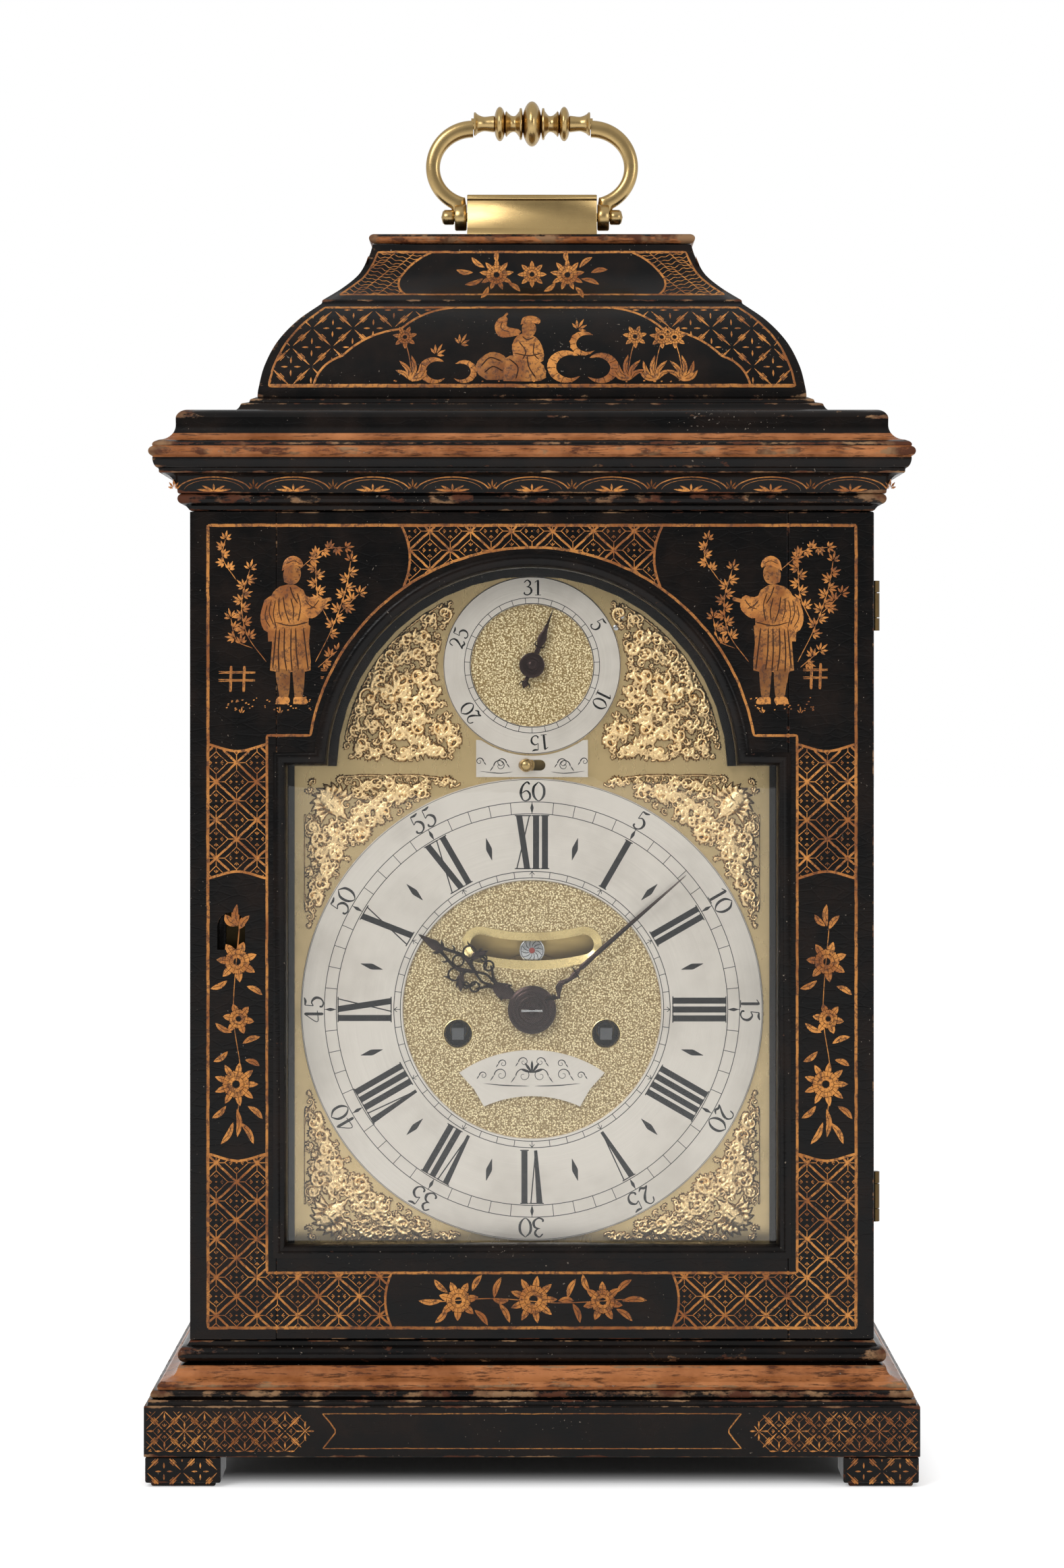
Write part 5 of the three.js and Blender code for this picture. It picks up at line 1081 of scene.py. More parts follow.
# %% Painting on the front of the door
LINE_X, LINE_LOW, LINE_HIGH = 118.9, 55.6, 350.1
SIGHT_X, SIGHT_LOW, SIGHT_SHOULDER, SIGHT_ARCH = 97.3, 75.8, 273.0, 82.5
STILE_RESERVE = (119.5, 220.5)
HEAD_RESERVE, RAIL_RESERVE = 49.0, 51.5


def on_door(u, v, height):
    """Surface of the door's face."""
    return np.column_stack([u, DOOR_FRONT - height, v])


def in_side_band(u, v):
    return (np.abs(u) > SIGHT_X) & (np.abs(u) < LINE_X)


def sagged(u):
    """Depth of the round end of a reserve at a place across the stile."""
    return 2.6 * (1 - ((np.abs(u) - 108.1) / 10.8) ** 2)


def upper_stile(u, v):
    """Region of diaper above the flowers of a stile."""
    sag = sagged(u)
    return in_side_band(u, v) & (v < SIGHT_SHOULDER - 3.2 - sag) & (v > STILE_RESERVE[1] + sag)


def lower_stile(u, v):
    """Region of diaper below them, with the corner of the rail."""
    corner = (np.abs(u) < LINE_X) & (np.abs(u) > RAIL_RESERVE + bulge(v)) & (v < SIGHT_LOW)
    stile = in_side_band(u, v) & (v < STILE_RESERVE[0] - sagged(u)) & (v >= SIGHT_LOW)
    return (stile | corner) & (v > LINE_LOW)


def bulge(v):
    """How far the rail's reserve swells at a height."""
    return 2.4 * (1 - ((v - 65.7) / 10.1) ** 2)


def head_edge(v):
    """Half width of the diaper over the arch at a height."""
    return HEAD_RESERVE - 4.2 * np.clip(1 - ((v - 338) / 14) ** 2, 0, 1)


def above_arch(u, v):
    """Region of diaper over the arch."""
    outside = np.hypot(u, v - ARCH_CENTRE) > SIGHT_ARCH
    return outside & (np.abs(u) < head_edge(v)) & (v < LINE_HIGH)


def one_side(region, sign):
    """The half of a region that lies right (1) or left (-1) of the middle."""
    return lambda u, v: region(u, v) & (u * sign > 0)


def door_painting():
    """Outer and inner lines, the round ends of the reserves, and the lattice between them."""
    sheet = Painting(3)
    box_lines(sheet, LINE_X, LINE_LOW, LINE_HIGH, 1.55)
    rise = math.degrees(math.asin((SIGHT_SHOULDER - ARCH_CENTRE) / SIGHT_ARCH))
    arch = arc((0, ARCH_CENTRE), (SIGHT_ARCH, SIGHT_ARCH), rise, 180 - rise, 60)
    right = [(0, SIGHT_LOW), (SIGHT_X, SIGHT_LOW), (SIGHT_X, SIGHT_SHOULDER), tuple(arch[0])]
    for sign in (1, -1):
        for a, b in zip(right, right[1:]):
            line(sheet, mirrored([a, b], sign), 1.35)
    line(sheet, arch, 1.35)
    for sign in (-1, 1):
        middle = sign * (LINE_X + SIGHT_X) / 2
        half = (LINE_X - SIGHT_X) / 2
        for v, sag in ((SIGHT_SHOULDER - 3.2, -2.6), (STILE_RESERVE[1], 2.6), (STILE_RESERVE[0], -2.6)):
            sheet.brush([(middle - half, v), (middle, v + sag), (middle + half, v)], 1.3, 0.1, 0.8)
        v = np.linspace(LINE_LOW, SIGHT_LOW, 9)
        edge_curve(sheet, np.column_stack([sign * (RAIL_RESERVE + bulge(v)), v]), 1.2)
        v = np.linspace(LINE_HIGH, 327.5, 9)
        edge_curve(sheet, np.column_stack([sign * head_edge(v), v]), 1.2)
        side = sorted((sign * SIGHT_X, sign * LINE_X))
        lattice(sheet, one_side(upper_stile, sign), side, (221, 270), (sign * 108.4, 249))
        rail = sorted((sign * RAIL_RESERVE, sign * LINE_X))
        lattice(sheet, one_side(lower_stile, sign), rail, (56, 119), (sign * 108.4, 67.2))
    lattice(sheet, above_arch, (-52, 52), (320, 350), (0, 341))
    return sheet


door_painting().lay("door_diaper", on_door, "front_door")


# %% [markdown]
# The reserves hold pictures: a climbing spray on each stile, a lying one on the rail, and a figure among
# bushes in each upper corner. A region keeps every stroke clear of the arch.

# %% Pictures in the reserves
def stile_spray(sheet, sign):
    """Flowers on a climbing stem in the reserve of one stile."""
    u = sign * 108.2
    sheet.brush([(u, 131), (u + 1.2, 150), (u - 1.4, 172), (u + 1, 205)], 0.45, 0.1, 0.5)
    flower(sheet, (u, 190), 7.6, 7, 20)
    flower(sheet, (u + 0.5, 169), 5.8, 6, 50)
    flower(sheet, (u - 0.4, 145), 8.2, 9, 0)
    leaves_at(sheet, [
        ((u, 203), 90, 7), ((u - 0.6, 203), 132, 5), ((u + 0.8, 202), 52, 5.4), ((u - 3.6, 183), 205, 6),
        ((u + 3.6, 181), -30, 5.6), ((u - 2, 164), 150, 6), ((u + 2, 160), 20, 6),
        ((u - 3.4, 157), 215, 5.6),
        ((u + 3, 154), -24, 5), ((u - 4, 137), 220, 6), ((u, 136), 270, 9), ((u + 4, 137), -42, 6.2),
        ((u - 1.4, 131), 240, 8), ((u + 1.4, 131), -60, 8)], 1.15, 3.1, 0.08)


def rail_spray(sheet):
    """Three flowers and leaves lying along the bottom rail."""
    v = 65.6
    sheet.brush([(-36, v - 0.5), (-14, v + 0.8), (10, v - 0.8), (36, v + 0.6)], 0.5, 0.1, 0.5)
    flower(sheet, (-27, v), 7.4, 7, 10)
    flower(sheet, (0.5, v + 0.4), 8.8, 9, 0)
    flower(sheet, (26, v - 0.3), 7.4, 7, 40)
    leaves_at(sheet, [
        ((-33, v), 180, 7.5), ((-31, v + 3), 135, 6), ((-31, v - 3), 228, 6), ((-22, v + 3.6), 58, 6),
        ((-21, v - 3.4), -50, 6.4), ((-14, v + 1), 70, 7), ((-12, v - 1), -62, 7), ((-8.6, v), 175, 5),
        ((9.6, v), 0, 5), ((13, v + 1), 66, 6.6), ((15, v - 1), -70, 6.6), ((21, v + 3.2), 110, 6),
        ((31, v + 3), 40, 6.4), ((31, v - 3), -38, 6.4), ((33, v), 0, 8)], 1.15, 3.2, 0.07)


def corner_picture(sheet, sign):
    """A figure between flowering bushes before a fence, in an upper corner of the door."""
    u = sign * 88.5
    robed_figure(sheet, (u, 284.5), 56, -sign, (9.5, 30))
    fence(sheet, u - 26.5, u - 13, 290)
    fence(sheet, u + 11, u + 20, 291)
    for path in ([(u - 9, 300), (u - 16, 310), (u - 18, 322), (u - 15, 334)],
                 [(u - 14, 305), (u - 20, 308), (u - 22, 316)],
                 [(u + 9, 300), (u + 15, 312), (u + 20, 326), (u + 22, 337)],
                 [(u + 15, 313), (u + 10, 324), (u + 9, 338)],
                 [(u + 18, 318), (u + 25, 325)], [(u + 10, 298), (u + 17, 304)]):
        spray(sheet, path)
    for path in ([(u - 20, 330), (u - 25, 338), (u - 24, 345)],
                 [(u + 3, 334), (u + 12, 341), (u + 20, 342)]):
        spray(sheet, path, 3.4, 2.8)
    grass(sheet, (u - 26, u + 17), 284.5, 90, 2.4)
    for k in range(3):
        fan(sheet, (u - 18 + 14 * k, 281), 90, 2.6, 3, 80, 0.7)


def pictures():
    """All the pictures of the door on one sheet."""
    sheet = Painting(7, lambda u, v: np.hypot(u, v - ARCH_CENTRE) > SIGHT_ARCH + 1.4)
    for sign in (-1, 1):
        stile_spray(sheet, sign)
        corner_picture(sheet, sign)
    rail_spray(sheet)
    return sheet


pictures().lay("door_pictures", on_door, "front_door")

# %% [markdown]
# ### The caddy, the cornice and the plinth
# The same painting runs round all four sides. A side is drawn once, with u along it and v the height, and
# the surface function finds how far out the profile stands at that height and which way it leans.

# %% Surfaces for the four sides
def on_side(side, reach_at, depth_less=49.0):
    """Surface on side 0 front, 1 right, 2 back or 3 left; reach_at(v) is the half width at height v."""

    def surface(u, v, height):
        step = 0.05
        reach = reach_at(v) - (depth_less if side % 2 == 0 else 0)
        lean = (reach_at(v + step) - reach_at(v - step)) / (2 * step)
        length = np.hypot(1, lean)
        out, up = reach + height / length, v - height * lean / length
        x, y = [(u, -out), (out, u), (-u, out), (-out, -u)][side]
        return np.column_stack([x, y, up])

    return surface


FRONT_HALF, SIDE_HALF = 102.3, 53.3  # half lengths of the bell at its foot


def caddy_reach(v):
    """Half width of the bell and neck at a height."""
    return np.interp(v, bell_outline[:, 1], bell_outline[:, 0])


# %% [markdown]
# The bell's corners carry a second diaper, of four-petalled flowers. It fills the region between a line of
# lobes and the edge of the panel, and a region is told by counting crossings of its outline.

# %% Petal diaper, lobes and regions
def petal_diaper(sheet, inside, u_range, v_range, origin, pitch=7.6, petal=1.5):
    """Four-petalled flowers on a diagonal net, with dots and short cross leaves between them."""
    (u0, u1), (v0, v1) = u_range, v_range
    for i in range(int((u0 - origin[0]) / pitch) - 2, int((u1 - origin[0]) / pitch) + 3):
        for j in range(int((v0 - origin[1]) / pitch) - 2, int((v1 - origin[1]) / pitch) + 3):
            centre = np.array([origin[0] + i * pitch, origin[1] + j * pitch])
            if not (u0 - pitch < centre[0] < u1 + pitch and v0 - pitch < centre[1] < v1 + pitch):
                continue
            if (i + j) % 2 == 0:
                for angle in (45, 135, 225, 315):
                    tip = centre + turned(angle, pitch * 1.3)
                    sheet.brush([centre + turned(angle, pitch * 0.1), (centre + tip) / 2, tip],
                                [0.2, petal, 0.2], 0, 0.5, inside=inside)
            else:
                for angle in (0, 90, 180, 270):
                    foot = centre + turned(angle, pitch * 0.16)
                    sheet.brush([foot, centre + turned(angle, pitch * 0.48)], [0.35, 1.0, 0.2], 0, 0.4,
                                inside=inside)
                    sheet.brush([centre + turned(angle + 30, pitch * 0.62),
                                 centre + turned(angle + 60, pitch * 0.62)],
                                0.4, 0, 0.5, inside=inside, curved=False)


def lobed(points, sag):
    """A line of arcs between the points, each bulging by sag to its left."""
    path = []
    for a, b in zip(points, points[1:]):
        a, b = np.array(a, float), np.array(b, float)
        across = np.array([-(b - a)[1], (b - a)[0]])
        across /= np.linalg.norm(across)
        t = np.linspace(0, 1, 9)[:, None]
        path.append(a + (b - a) * t + across * sag * 4 * t * (1 - t))
    return np.vstack(path)


def within(outline):
    """Region function of a closed outline: counts how often a line to the right crosses it."""
    ring = np.asarray(outline, float)
    ahead = np.roll(ring, -1, 0)

    def inside(u, v):
        (x0, y0), (x1, y1) = ring.T[:, :, None], ahead.T[:, :, None]
        spans = (y0 > v) != (y1 > v)
        with np.errstate(divide="ignore", invalid="ignore"):
            crossing = x0 + (v - y0) * (x1 - x0) / (y1 - y0)
        return (spans & (u < crossing)).sum(0) % 2 == 1

    return inside


# %% [markdown]
# The bell's front shows a seated figure among curling rocks and flowers; its other sides show flowers.

# %% Figure and rocks for the bell
def seated_figure(sheet, foot, size):
    """A seated robed figure with one sleeve raised, knees drawn up."""
    figure = Figure(sheet, foot, size)
    figure.shapes([
        (0.4, 0.02, (-9, 0.4), (-12, 2.6), (-12.4, 6), (-8, 9.6), (-3.4, 8.4), (-1.6, 4),
         (-3, 0.8)),  # train
        (0.3, 0.05, (-4, 0.2), (-5, 3.6), (-3, 8), (3, 8.4), (8, 6), (9.6, 2), (7, 0.2)),  # knees
        (0.2, 0.09, (-0.6, 7.2), (-1.2, 12), (1.6, 15.4), (6.2, 14.2), (8.4, 10), (8, 6.2),
         (3, 6.0)),  # back
        (0.05, 0.12, (0.8, 14.8), (-4.8, 14.2), (-6.6, 17.6), (-5.2, 20.6), (-2.6, 21), (-2.8, 17.8),
         (1.4, 16.6)),  # raised sleeve
        (0.3, 0.1, (2.0, 15.0), (1.9, 18), (3.4, 19.6), (5.4, 19.2), (6.2, 17), (5.4, 14.9),
         (3.6, 14.4)),  # head
        (0.0, 0.15, (1.4, 18.4), (2.2, 20.8), (5, 21.4), (7.4, 20.2), (7, 18.6), (4.4, 19.2)),  # cap
    ])
    figure.folds([
        [(-10.6, 5), (-8, 7.6), (-4.6, 6.6)], [(-9.6, 3), (-7, 4.8), (-4, 3.4)],
        [(-2, 7.2), (0.6, 4.6), (0, 1)],
        [(3.4, 8), (4, 4.6), (6, 1.4)], [(1, 12.6), (3, 9.6), (2, 7)], [(5.6, 12.4), (5.4, 9), (7, 7)],
        [(-4.2, 19.4), (-4.6, 17), (-2, 15.8)], [(2, 14.4), (3.4, 13.4), (5.4, 14)],
        [(-0.4, 9), (4, 8.2), (8, 9)],
    ])
    sheet.brush([figure.at(-4, 20.6), figure.at(-2.6, 22.4)], 0.9, 0.2, 0.4, 0.1)


def scroll_rock(sheet, u, v, radius, turn=1):
    """A curling rock or wave: a thick crescent with dark ribs across it."""
    t = np.linspace(0.3, 1.75, 9) * math.pi
    path = np.column_stack([u + turn * radius * np.cos(t), v + radius * 0.85 * np.sin(t)])
    sheet.brush(path, np.array([0.2, 0.5, 0.8, 1.0, 1.0, 0.9, 0.7, 0.4, 0.1]) * radius * 0.7, 0.05, 0.3,
                0.02)
    for k in range(2, 8):
        sheet.brush([path[k] + (path[k] - [u, v]) * 0.22, path[k] - (path[k] - [u, v]) * 0.22], 0.2, 1.0,
                    0.5, 0.18)


# %% [markdown]
# Each side of the bell is framed by double lines with a band of diaper, and the neck below it has a panel
# of its own.

# %% Panels of the bell and the neck
def panel(sheet, half_length, low, high, margin, widths):
    """Lines round one side of the caddy, set in by a margin; returns the outline of each end and what
    this side is shorter than the front."""
    less = FRONT_HALF - half_length

    def edge(v):
        return caddy_reach(v) - less - margin

    heights = np.linspace(low, high, 12)
    for v, width in zip((low, high), widths):
        line(sheet, [(-edge(v), v), (edge(v), v)], width)
    return less, lambda sign: np.column_stack([sign * edge(heights), heights])


def bell_painting(half_length, figure):
    """One side of the bell: a lined panel, scalloped diaper corners and a garden scene."""
    sheet = Painting(11)
    low, high = 403.2, 434.3
    less, end = panel(sheet, half_length, low, high, 3.6, (1.9, 1.2))
    share = 1.0 if less < 20 else 0.94
    corners = (28, high), (49.2, 425.3), (70.9, 414.6), (81.5, low)
    knots = [(max(u - less * share, 6), v) for u, v in corners]
    for sign in (-1, 1):
        line(sheet, end(sign), 1.1)
        curve = lobed(mirrored(knots, sign), 2.2 * sign)
        edge_curve(sheet, curve, 1.15)
        span = sorted((sign * 20, sign * half_length))
        petal_diaper(sheet, within(np.vstack([curve, end(sign)])), span, (low, high), (sign * 90, 418))
    if figure:
        seated_figure(sheet, (-6, 404.6), 1.22)
        for u, v, r, turn in ((13.5, 410.5, 6.2, 1), (25, 410, 5.8, -1), (20, 419.5, 4.8, 1),
                              (-36, 409, 5.0, 1),
                              (-26, 408.6, 4.4, -1)):
            scroll_rock(sheet, u, v, r, turn)
        clumps = ((36, 405.2, 1), (46, 405, 1), (56, 405, -1), (-45, 405, -1))
    else:
        clumps = ((-18, 405.2, 1), (-6, 405, -1), (6, 405, 1), (18, 405, -1))
    for u, v, side in clumps:
        tuft = [((u, v), angle, size) for angle, size in ((90, 11), (60, 10), (120, 10), (35, 8), (145, 8))]
        leaves_at(sheet, tuft, 0.9, 2.6, 0.12 * side)
        sheet.brush([(u, v + 4), (u + side, v + 10), (u + side * 2.4, v + 15)], 0.5, 0.1, 0.5)
        flower(sheet, (u + side * 2.6, v + 17), 4.6, 7, 15)
    if figure:
        for u, v in ((-27, 419), (17, 425), (-36, 415)):
            fan(sheet, (u, v), 60, 5, 5, 130, 1.3)
    grass(sheet, (-half_length * 0.55, half_length * 0.55), 404.9, 50, 0.4)
    return sheet


def neck_painting(half_length):
    """One side of the neck: end panels of wavy scribble, and two flowers with leaves."""
    sheet = Painting(13)
    low, high = 439.8, 457.4
    less, end = panel(sheet, half_length, low, high, 2.8, (0.9, 1.3))
    inner = max(48 - less, 14)
    for sign in (-1, 1):
        line(sheet, end(sign), 1.0)
        curve = lobed(mirrored([(inner - 10, high), (inner + 2.4, 446.8), (inner, low)], sign), 1.4 * sign)
        edge_curve(sheet, curve, 1.1)
        corner = within(np.vstack([curve, end(sign)]))
        for k in range(14):
            v = low + 0.8 + 1.25 * k
            t = np.linspace(0, 1, 40)
            u = sign * (inner - 10 + t * 34)
            path = np.column_stack([u, v + 0.55 * np.sin(t * 26 + k * 1.3) + 0.4
                                    * np.sin(t * 61 + k * 2.1)])
            sheet.brush(path, 0.42, 0.1, 0.6, inside=corner, curved=False, reach=5)
    gap = min(13.5, inner * 0.5)
    for sign in (-1, 1):
        flower(sheet, (sign * gap, 448.2), 6.6, 9, 10)
        for foot, way, size in (((0, 5.2), 95, 3.6), ((4.6, 3), 40, 5), ((5.2, -1.6), -20, 5.6),
                                ((3, -5), -60, 4.4),
                                ((-4.6, -3.4), 220, 4.4), ((9, 1), 10, 5)):
            spot = (sign * (gap + foot[0]), 448.2 + foot[1])
            way = way if sign > 0 else 180 - way
            if inner > 20 or foot[0] < 8:
                sheet.leaf(spot, np.array(spot) + turned(way, size * 1.3), 2.8, 0.05, 0.0, True, 0.08)
    if inner > 20:
        flower(sheet, (0, 448.4), 5.6, 8, 0)
    return sheet


for side, half in enumerate((FRONT_HALF, SIDE_HALF) * 2):
    bell_painting(half, side == 0).lay(f"bell_painting_{side}", on_side(side, caddy_reach), "case")
    neck_painting(half).lay(f"neck_painting_{side}", on_side(side, caddy_reach), "case")


# %% [markdown]
# A row of arches runs in the cornice's hollow, and diaper fills the ends of the plinth and the feet.

# %% Arches of the cornice and the plinth's diaper
def cove_reach(v):
    """Half width of the cornice's hollow at a height."""
    rise = np.clip((v - 361.7) / 7.2, 0, 1)
    return CASE_X + 9.8 - 5.6 * np.sqrt(1 - rise**2)


def plinth_reach(v):
    return np.full_like(v, CASE_X + 15.5)


def foot_reach(v):
    return np.full_like(v, CASE_X + 15.1)


def cove_painting(half_length):
    """A row of gold arches, each over a flower, with a leaf spray between them."""
    sheet = Painting(17)
    count = int(round(2 * half_length / 29.5))
    pitch = 2 * half_length / count
    for k in range(count):
        u = -half_length + pitch * (k + 0.5)
        for size in (1.0, 0.82):
            t = np.linspace(8, 172, 15)
            bow = np.column_stack([u + pitch * 0.46 * size * np.cos(np.radians(t)),
                                   362.5 + 5.0 * size * np.sin(np.radians(t))])
            sheet.brush(bow, 0.62 if size == 1 else 0.3, 0.1, 0.6, curved=False)
        for way in (15, 50, 90, 130, 165):
            tip = np.array([u, 362.4]) + turned(way, 4.4) * [1.5, 0.62]
            sheet.leaf((u, 362.4), tip, 1.3, 0.0, 0.0, False)
        for side in (-1, 1):
            fan(sheet, (u + side * pitch * 0.5, 363.4), 90, 3.4, 5, 150, 0.9)
    return sheet


def plinth_painting(half_length, reach):
    """Petal diaper at both ends of a plinth board, and thin lines with pointed ends between."""
    sheet = Painting(19)
    low, high = 13.2, 27.8
    inner, outer = half_length - reach, half_length - 0.8
    middle = (low + high) / 2
    for sign in (-1, 1):
        region = within(mirrored([(outer, low), (outer, high), (inner, high), (inner - 6, middle),
                                  (inner, low)], sign))
        span = sorted((sign * (inner - 8), sign * half_length))
        petal_diaper(sheet, region, span, (low, high), (sign * (half_length - 7.5), middle), 7.3, 1.3)
        lattice(sheet, region, span, (low, high), (sign * (half_length - 0.2), middle), 7.3, 7.3, 0.5, 0.25)
        line(sheet, mirrored([(inner - 9, high - 1), (inner - 14, middle), (inner - 9, low + 1)], sign),
             0.7)
        for v in (low + 1, high - 1):
            line(sheet, mirrored([(0, v), (inner - 9, v)], sign), 0.45)
    return sheet


def foot_painting(half_length):
    """A little diaper on the faces of the feet."""
    sheet = Painting(23)
    inner, outer = half_length - 26.4, half_length - 0.8
    for sign in (-1, 1):
        region = within(mirrored([(outer, 1.2), (outer, 10.4), (inner, 10.4), (inner, 1.2)], sign))
        petal_diaper(sheet, region, sorted((sign * (half_length - 28), sign * half_length)), (1, 11),
                     (sign * (half_length - 13.5), 5.8), 6.6, 1.1)
    return sheet


for side, (half_x, half_y) in enumerate(((CASE_X, CASE_Y), (CASE_Y, CASE_X)) * 2):
    cove_painting(half_x + 5.5).lay(f"cornice_arches_{side}", on_side(side, cove_reach), "case")
    reach = 56 if side % 2 == 0 else 34
    plinth_painting(half_x + 15.5, reach).lay(f"plinth_diaper_{side}", on_side(side, plinth_reach), "case")
    foot_painting(half_x + 15.1).lay(f"foot_diaper_{side}", on_side(side, foot_reach), "case")


# %% [markdown]
# ### Side boards
# The photograph shows only the front, so the sides are finished as such cases usually are: lines round
# the board and the window, diaper in the corners and a flower spray above and below.

# %% Painting on the side boards
WINDOW_HALF, WINDOW_LOW, WINDOW_SPRING = 36, 112, 262


def board_reach(v):
    return np.full_like(v, CASE_X)


def side_painting():
    """Lines round the board and its window, diaper in the corners, a flower above and below."""
    sheet = Painting(29)
    edge, low, high = 55.5, LINE_LOW, LINE_HIGH
    box_lines(sheet, edge, low, high, 1.4)
    half, sill = WINDOW_HALF + 4.5, WINDOW_LOW - 4.5
    window = np.vstack([[(-half, sill), (half, sill)], arc((0, WINDOW_SPRING), (half, half), 0, 180, 40)])
    for path in (window[:2], window[1:3], window[2:], window[[-1, 0]]):
        line(sheet, path, 1.1)
    upper = [(20, high), (30, 326), (44, 314), (edge, 308)]
    lower = [(20, low), (26, 74), (40, 86), (edge, 92)]
    for sign in (-1, 1):
        for ends, corner, bow, span, origin in ((upper, high, 1.5, (306, high), 341),
                                                (lower, low, -1.5, (low, 93), 66)):
            curve = mirrored(ends, sign)
            edge_curve(sheet, lobed(curve, bow * sign), 1.1)
            region = within([(sign * edge, corner), *curve])
            lattice(sheet, region, sorted((sign * 18, sign * edge)), span, (sign * 40, origin))
    for v in (326, 84):
        flower(sheet, (0, v), 6.0, 7, 10)
        for way in (20, 60, 120, 160, 200, 250, 290, 340):
            foot = np.array([0, v]) + turned(way, 5.6)
            sheet.leaf(foot, foot + turned(way, 6), 2.4, 0.05)
    return sheet


for side in (1, 3):
    side_painting().lay(f"side_painting_{side}", on_side(side, board_reach), "case")

# %% [markdown]
# ## The dial
# Brass sheet, matted centre, silvered rings with wax-filled engraving, cast spandrels and hands. Everything
# is placed by angle and radius about two centres.

# %% Dial finishes and flat sheets
DIAL_Z, DATE_Z, DIAL_FRONT = 171.1, 298.9, -56.9
RING_FRONT = -58.13


def turned_metal(name, light, dark, roughness, centre_z, rings=1700, relief=0.45, metallic=0.8):
    """Metal spun about a centre in the dial: its grain runs in circles, cut by slow cloudy marks."""
    material, net, shader = new_material(name, Metallic=metallic)
    place = net.place()
    split = net.node("SeparateXYZ", {0: place}).outputs
    up = net.math("SUBTRACT", split["Z"], centre_z * MM)
    radius = net.math("SQRT", net.math("ADD", net.math("MULTIPLY", split["X"], split["X"]),
                                       net.math("MULTIPLY", up, up)))
    slow = net.noise(place, 25, 2)
    across = net.node("CombineXYZ",
                      {0: net.math("MULTIPLY", radius, rings),
                       1: net.math("MULTIPLY", slow, 2.0)}).outputs[0]
    grain = net.noise(across, 1, 2, 0.6)
    cloud = net.noise(place, 40, 4, 0.6)
    colour = net.mix(net.math("MULTIPLY", net.step(cloud, 0.4, 0.75), 0.45), light + (1,), dark + (1,))
    colour = net.mix(net.math("MULTIPLY", grain, 0.4), colour, dark + (1,))
    coat(net, shader, colour, grain, *roughness)
    bump(net, shader, grain, 0.00008, relief)
    return material


def matted():
    """Punched ground of the dial centre: close bright grains with dark pits between them."""
    material, net, shader = new_material("matted_brass", Metallic=0.85)
    grains = net.node("TexVoronoi", {"Vector": net.place(), "Scale": 1500}).outputs["Distance"]
    fine = net.noise(net.place(), 1700, 3, 0.7)
    pits = net.step(net.math("ADD", grains, net.math("MULTIPLY", fine, 1.4)), 0.75, 1.4)
    colour = net.mix(pits, (1.0, 0.86, 0.55, 1), (0.30, 0.20, 0.08, 1))
    coat(net, shader, colour, pits, 0.38, 0.62)
    bump(net, shader, pits, 0.00025, 0.5)
    return material


def wax():
    """Black wax in the engraving, a little dusty."""
    material, net, shader = new_material("black_wax", Specular_IOR_Level=0.2)
    dust = net.noise(net.place(), 900, 3, 0.6)
    colour = net.mix(net.step(dust, 0.5, 0.75), (0.004, 0.004, 0.005, 1), (0.03, 0.027, 0.024, 1))
    coat(net, shader, colour, dust, 0.45, 0.7)
    return material


SILVER, SILVER_GREY = (0.81, 0.74, 0.67), (0.50, 0.445, 0.39)
CHAPTER_SILVER = turned_metal("silvered_chapter", SILVER, SILVER_GREY, (0.34, 0.46), DIAL_Z)
DATE_SILVER = turned_metal("silvered_date", SILVER, SILVER_GREY, (0.34, 0.46), DATE_Z)
DIAL_BRASS = metal("dial_brass", (0.64, 0.47, 0.24), (0.34, 0.25, 0.11), (0.24, 0.32), (1, 1, 0.3), 300,
                   0.04, 0.45, 0.8,
                   0.1)


def cast_gilt():
    """Gilded casting: painted shade in the hollows and painted highlight on the tops, by the point value "relief".
    """
    material, net, shader = new_material("cast_gilt", Metallic=1.0)
    chased = net.noise(net.place(), 900, 4, 0.7)
    height = net.math("ADD", net.attribute("relief"), net.math("MULTIPLY", chased, 0.35))
    # Colour by height: the dark hollow colour is painted shade, the bright top colour is painted highlight.
    colour = net.mix(net.step(height, 0.34, 0.95), (0.15, 0.066, 0.018, 1), (0.98, 0.70, 0.37, 1))
    coat(net, shader, colour, chased, 0.16, 0.4)
    bump(net, shader, chased, 0.0004, 0.5)
    return material


CAST_GILT = cast_gilt()
# Near-black brass is painted shade: the discs behind the winding holes and the lock case seen through the keyhole.
SHADE_BRASS = metal("brass_in_painted_shade", (0.035, 0.025, 0.012), (0.01, 0.008, 0.005), (0.3, 0.5))
DARK_BRASS = metal("dark_hinge_brass", (0.13, 0.085, 0.035), (0.04, 0.025, 0.012), (0.3, 0.5))
MATTED, WAX = matted(), wax()


# %% [markdown]
# Flat sheets with holes are filled with triangles on both faces; rings and knobs are turned on an axis
# square to the dial. The mock pendulum's opening is an arc about the verge, so its ends are turned too.

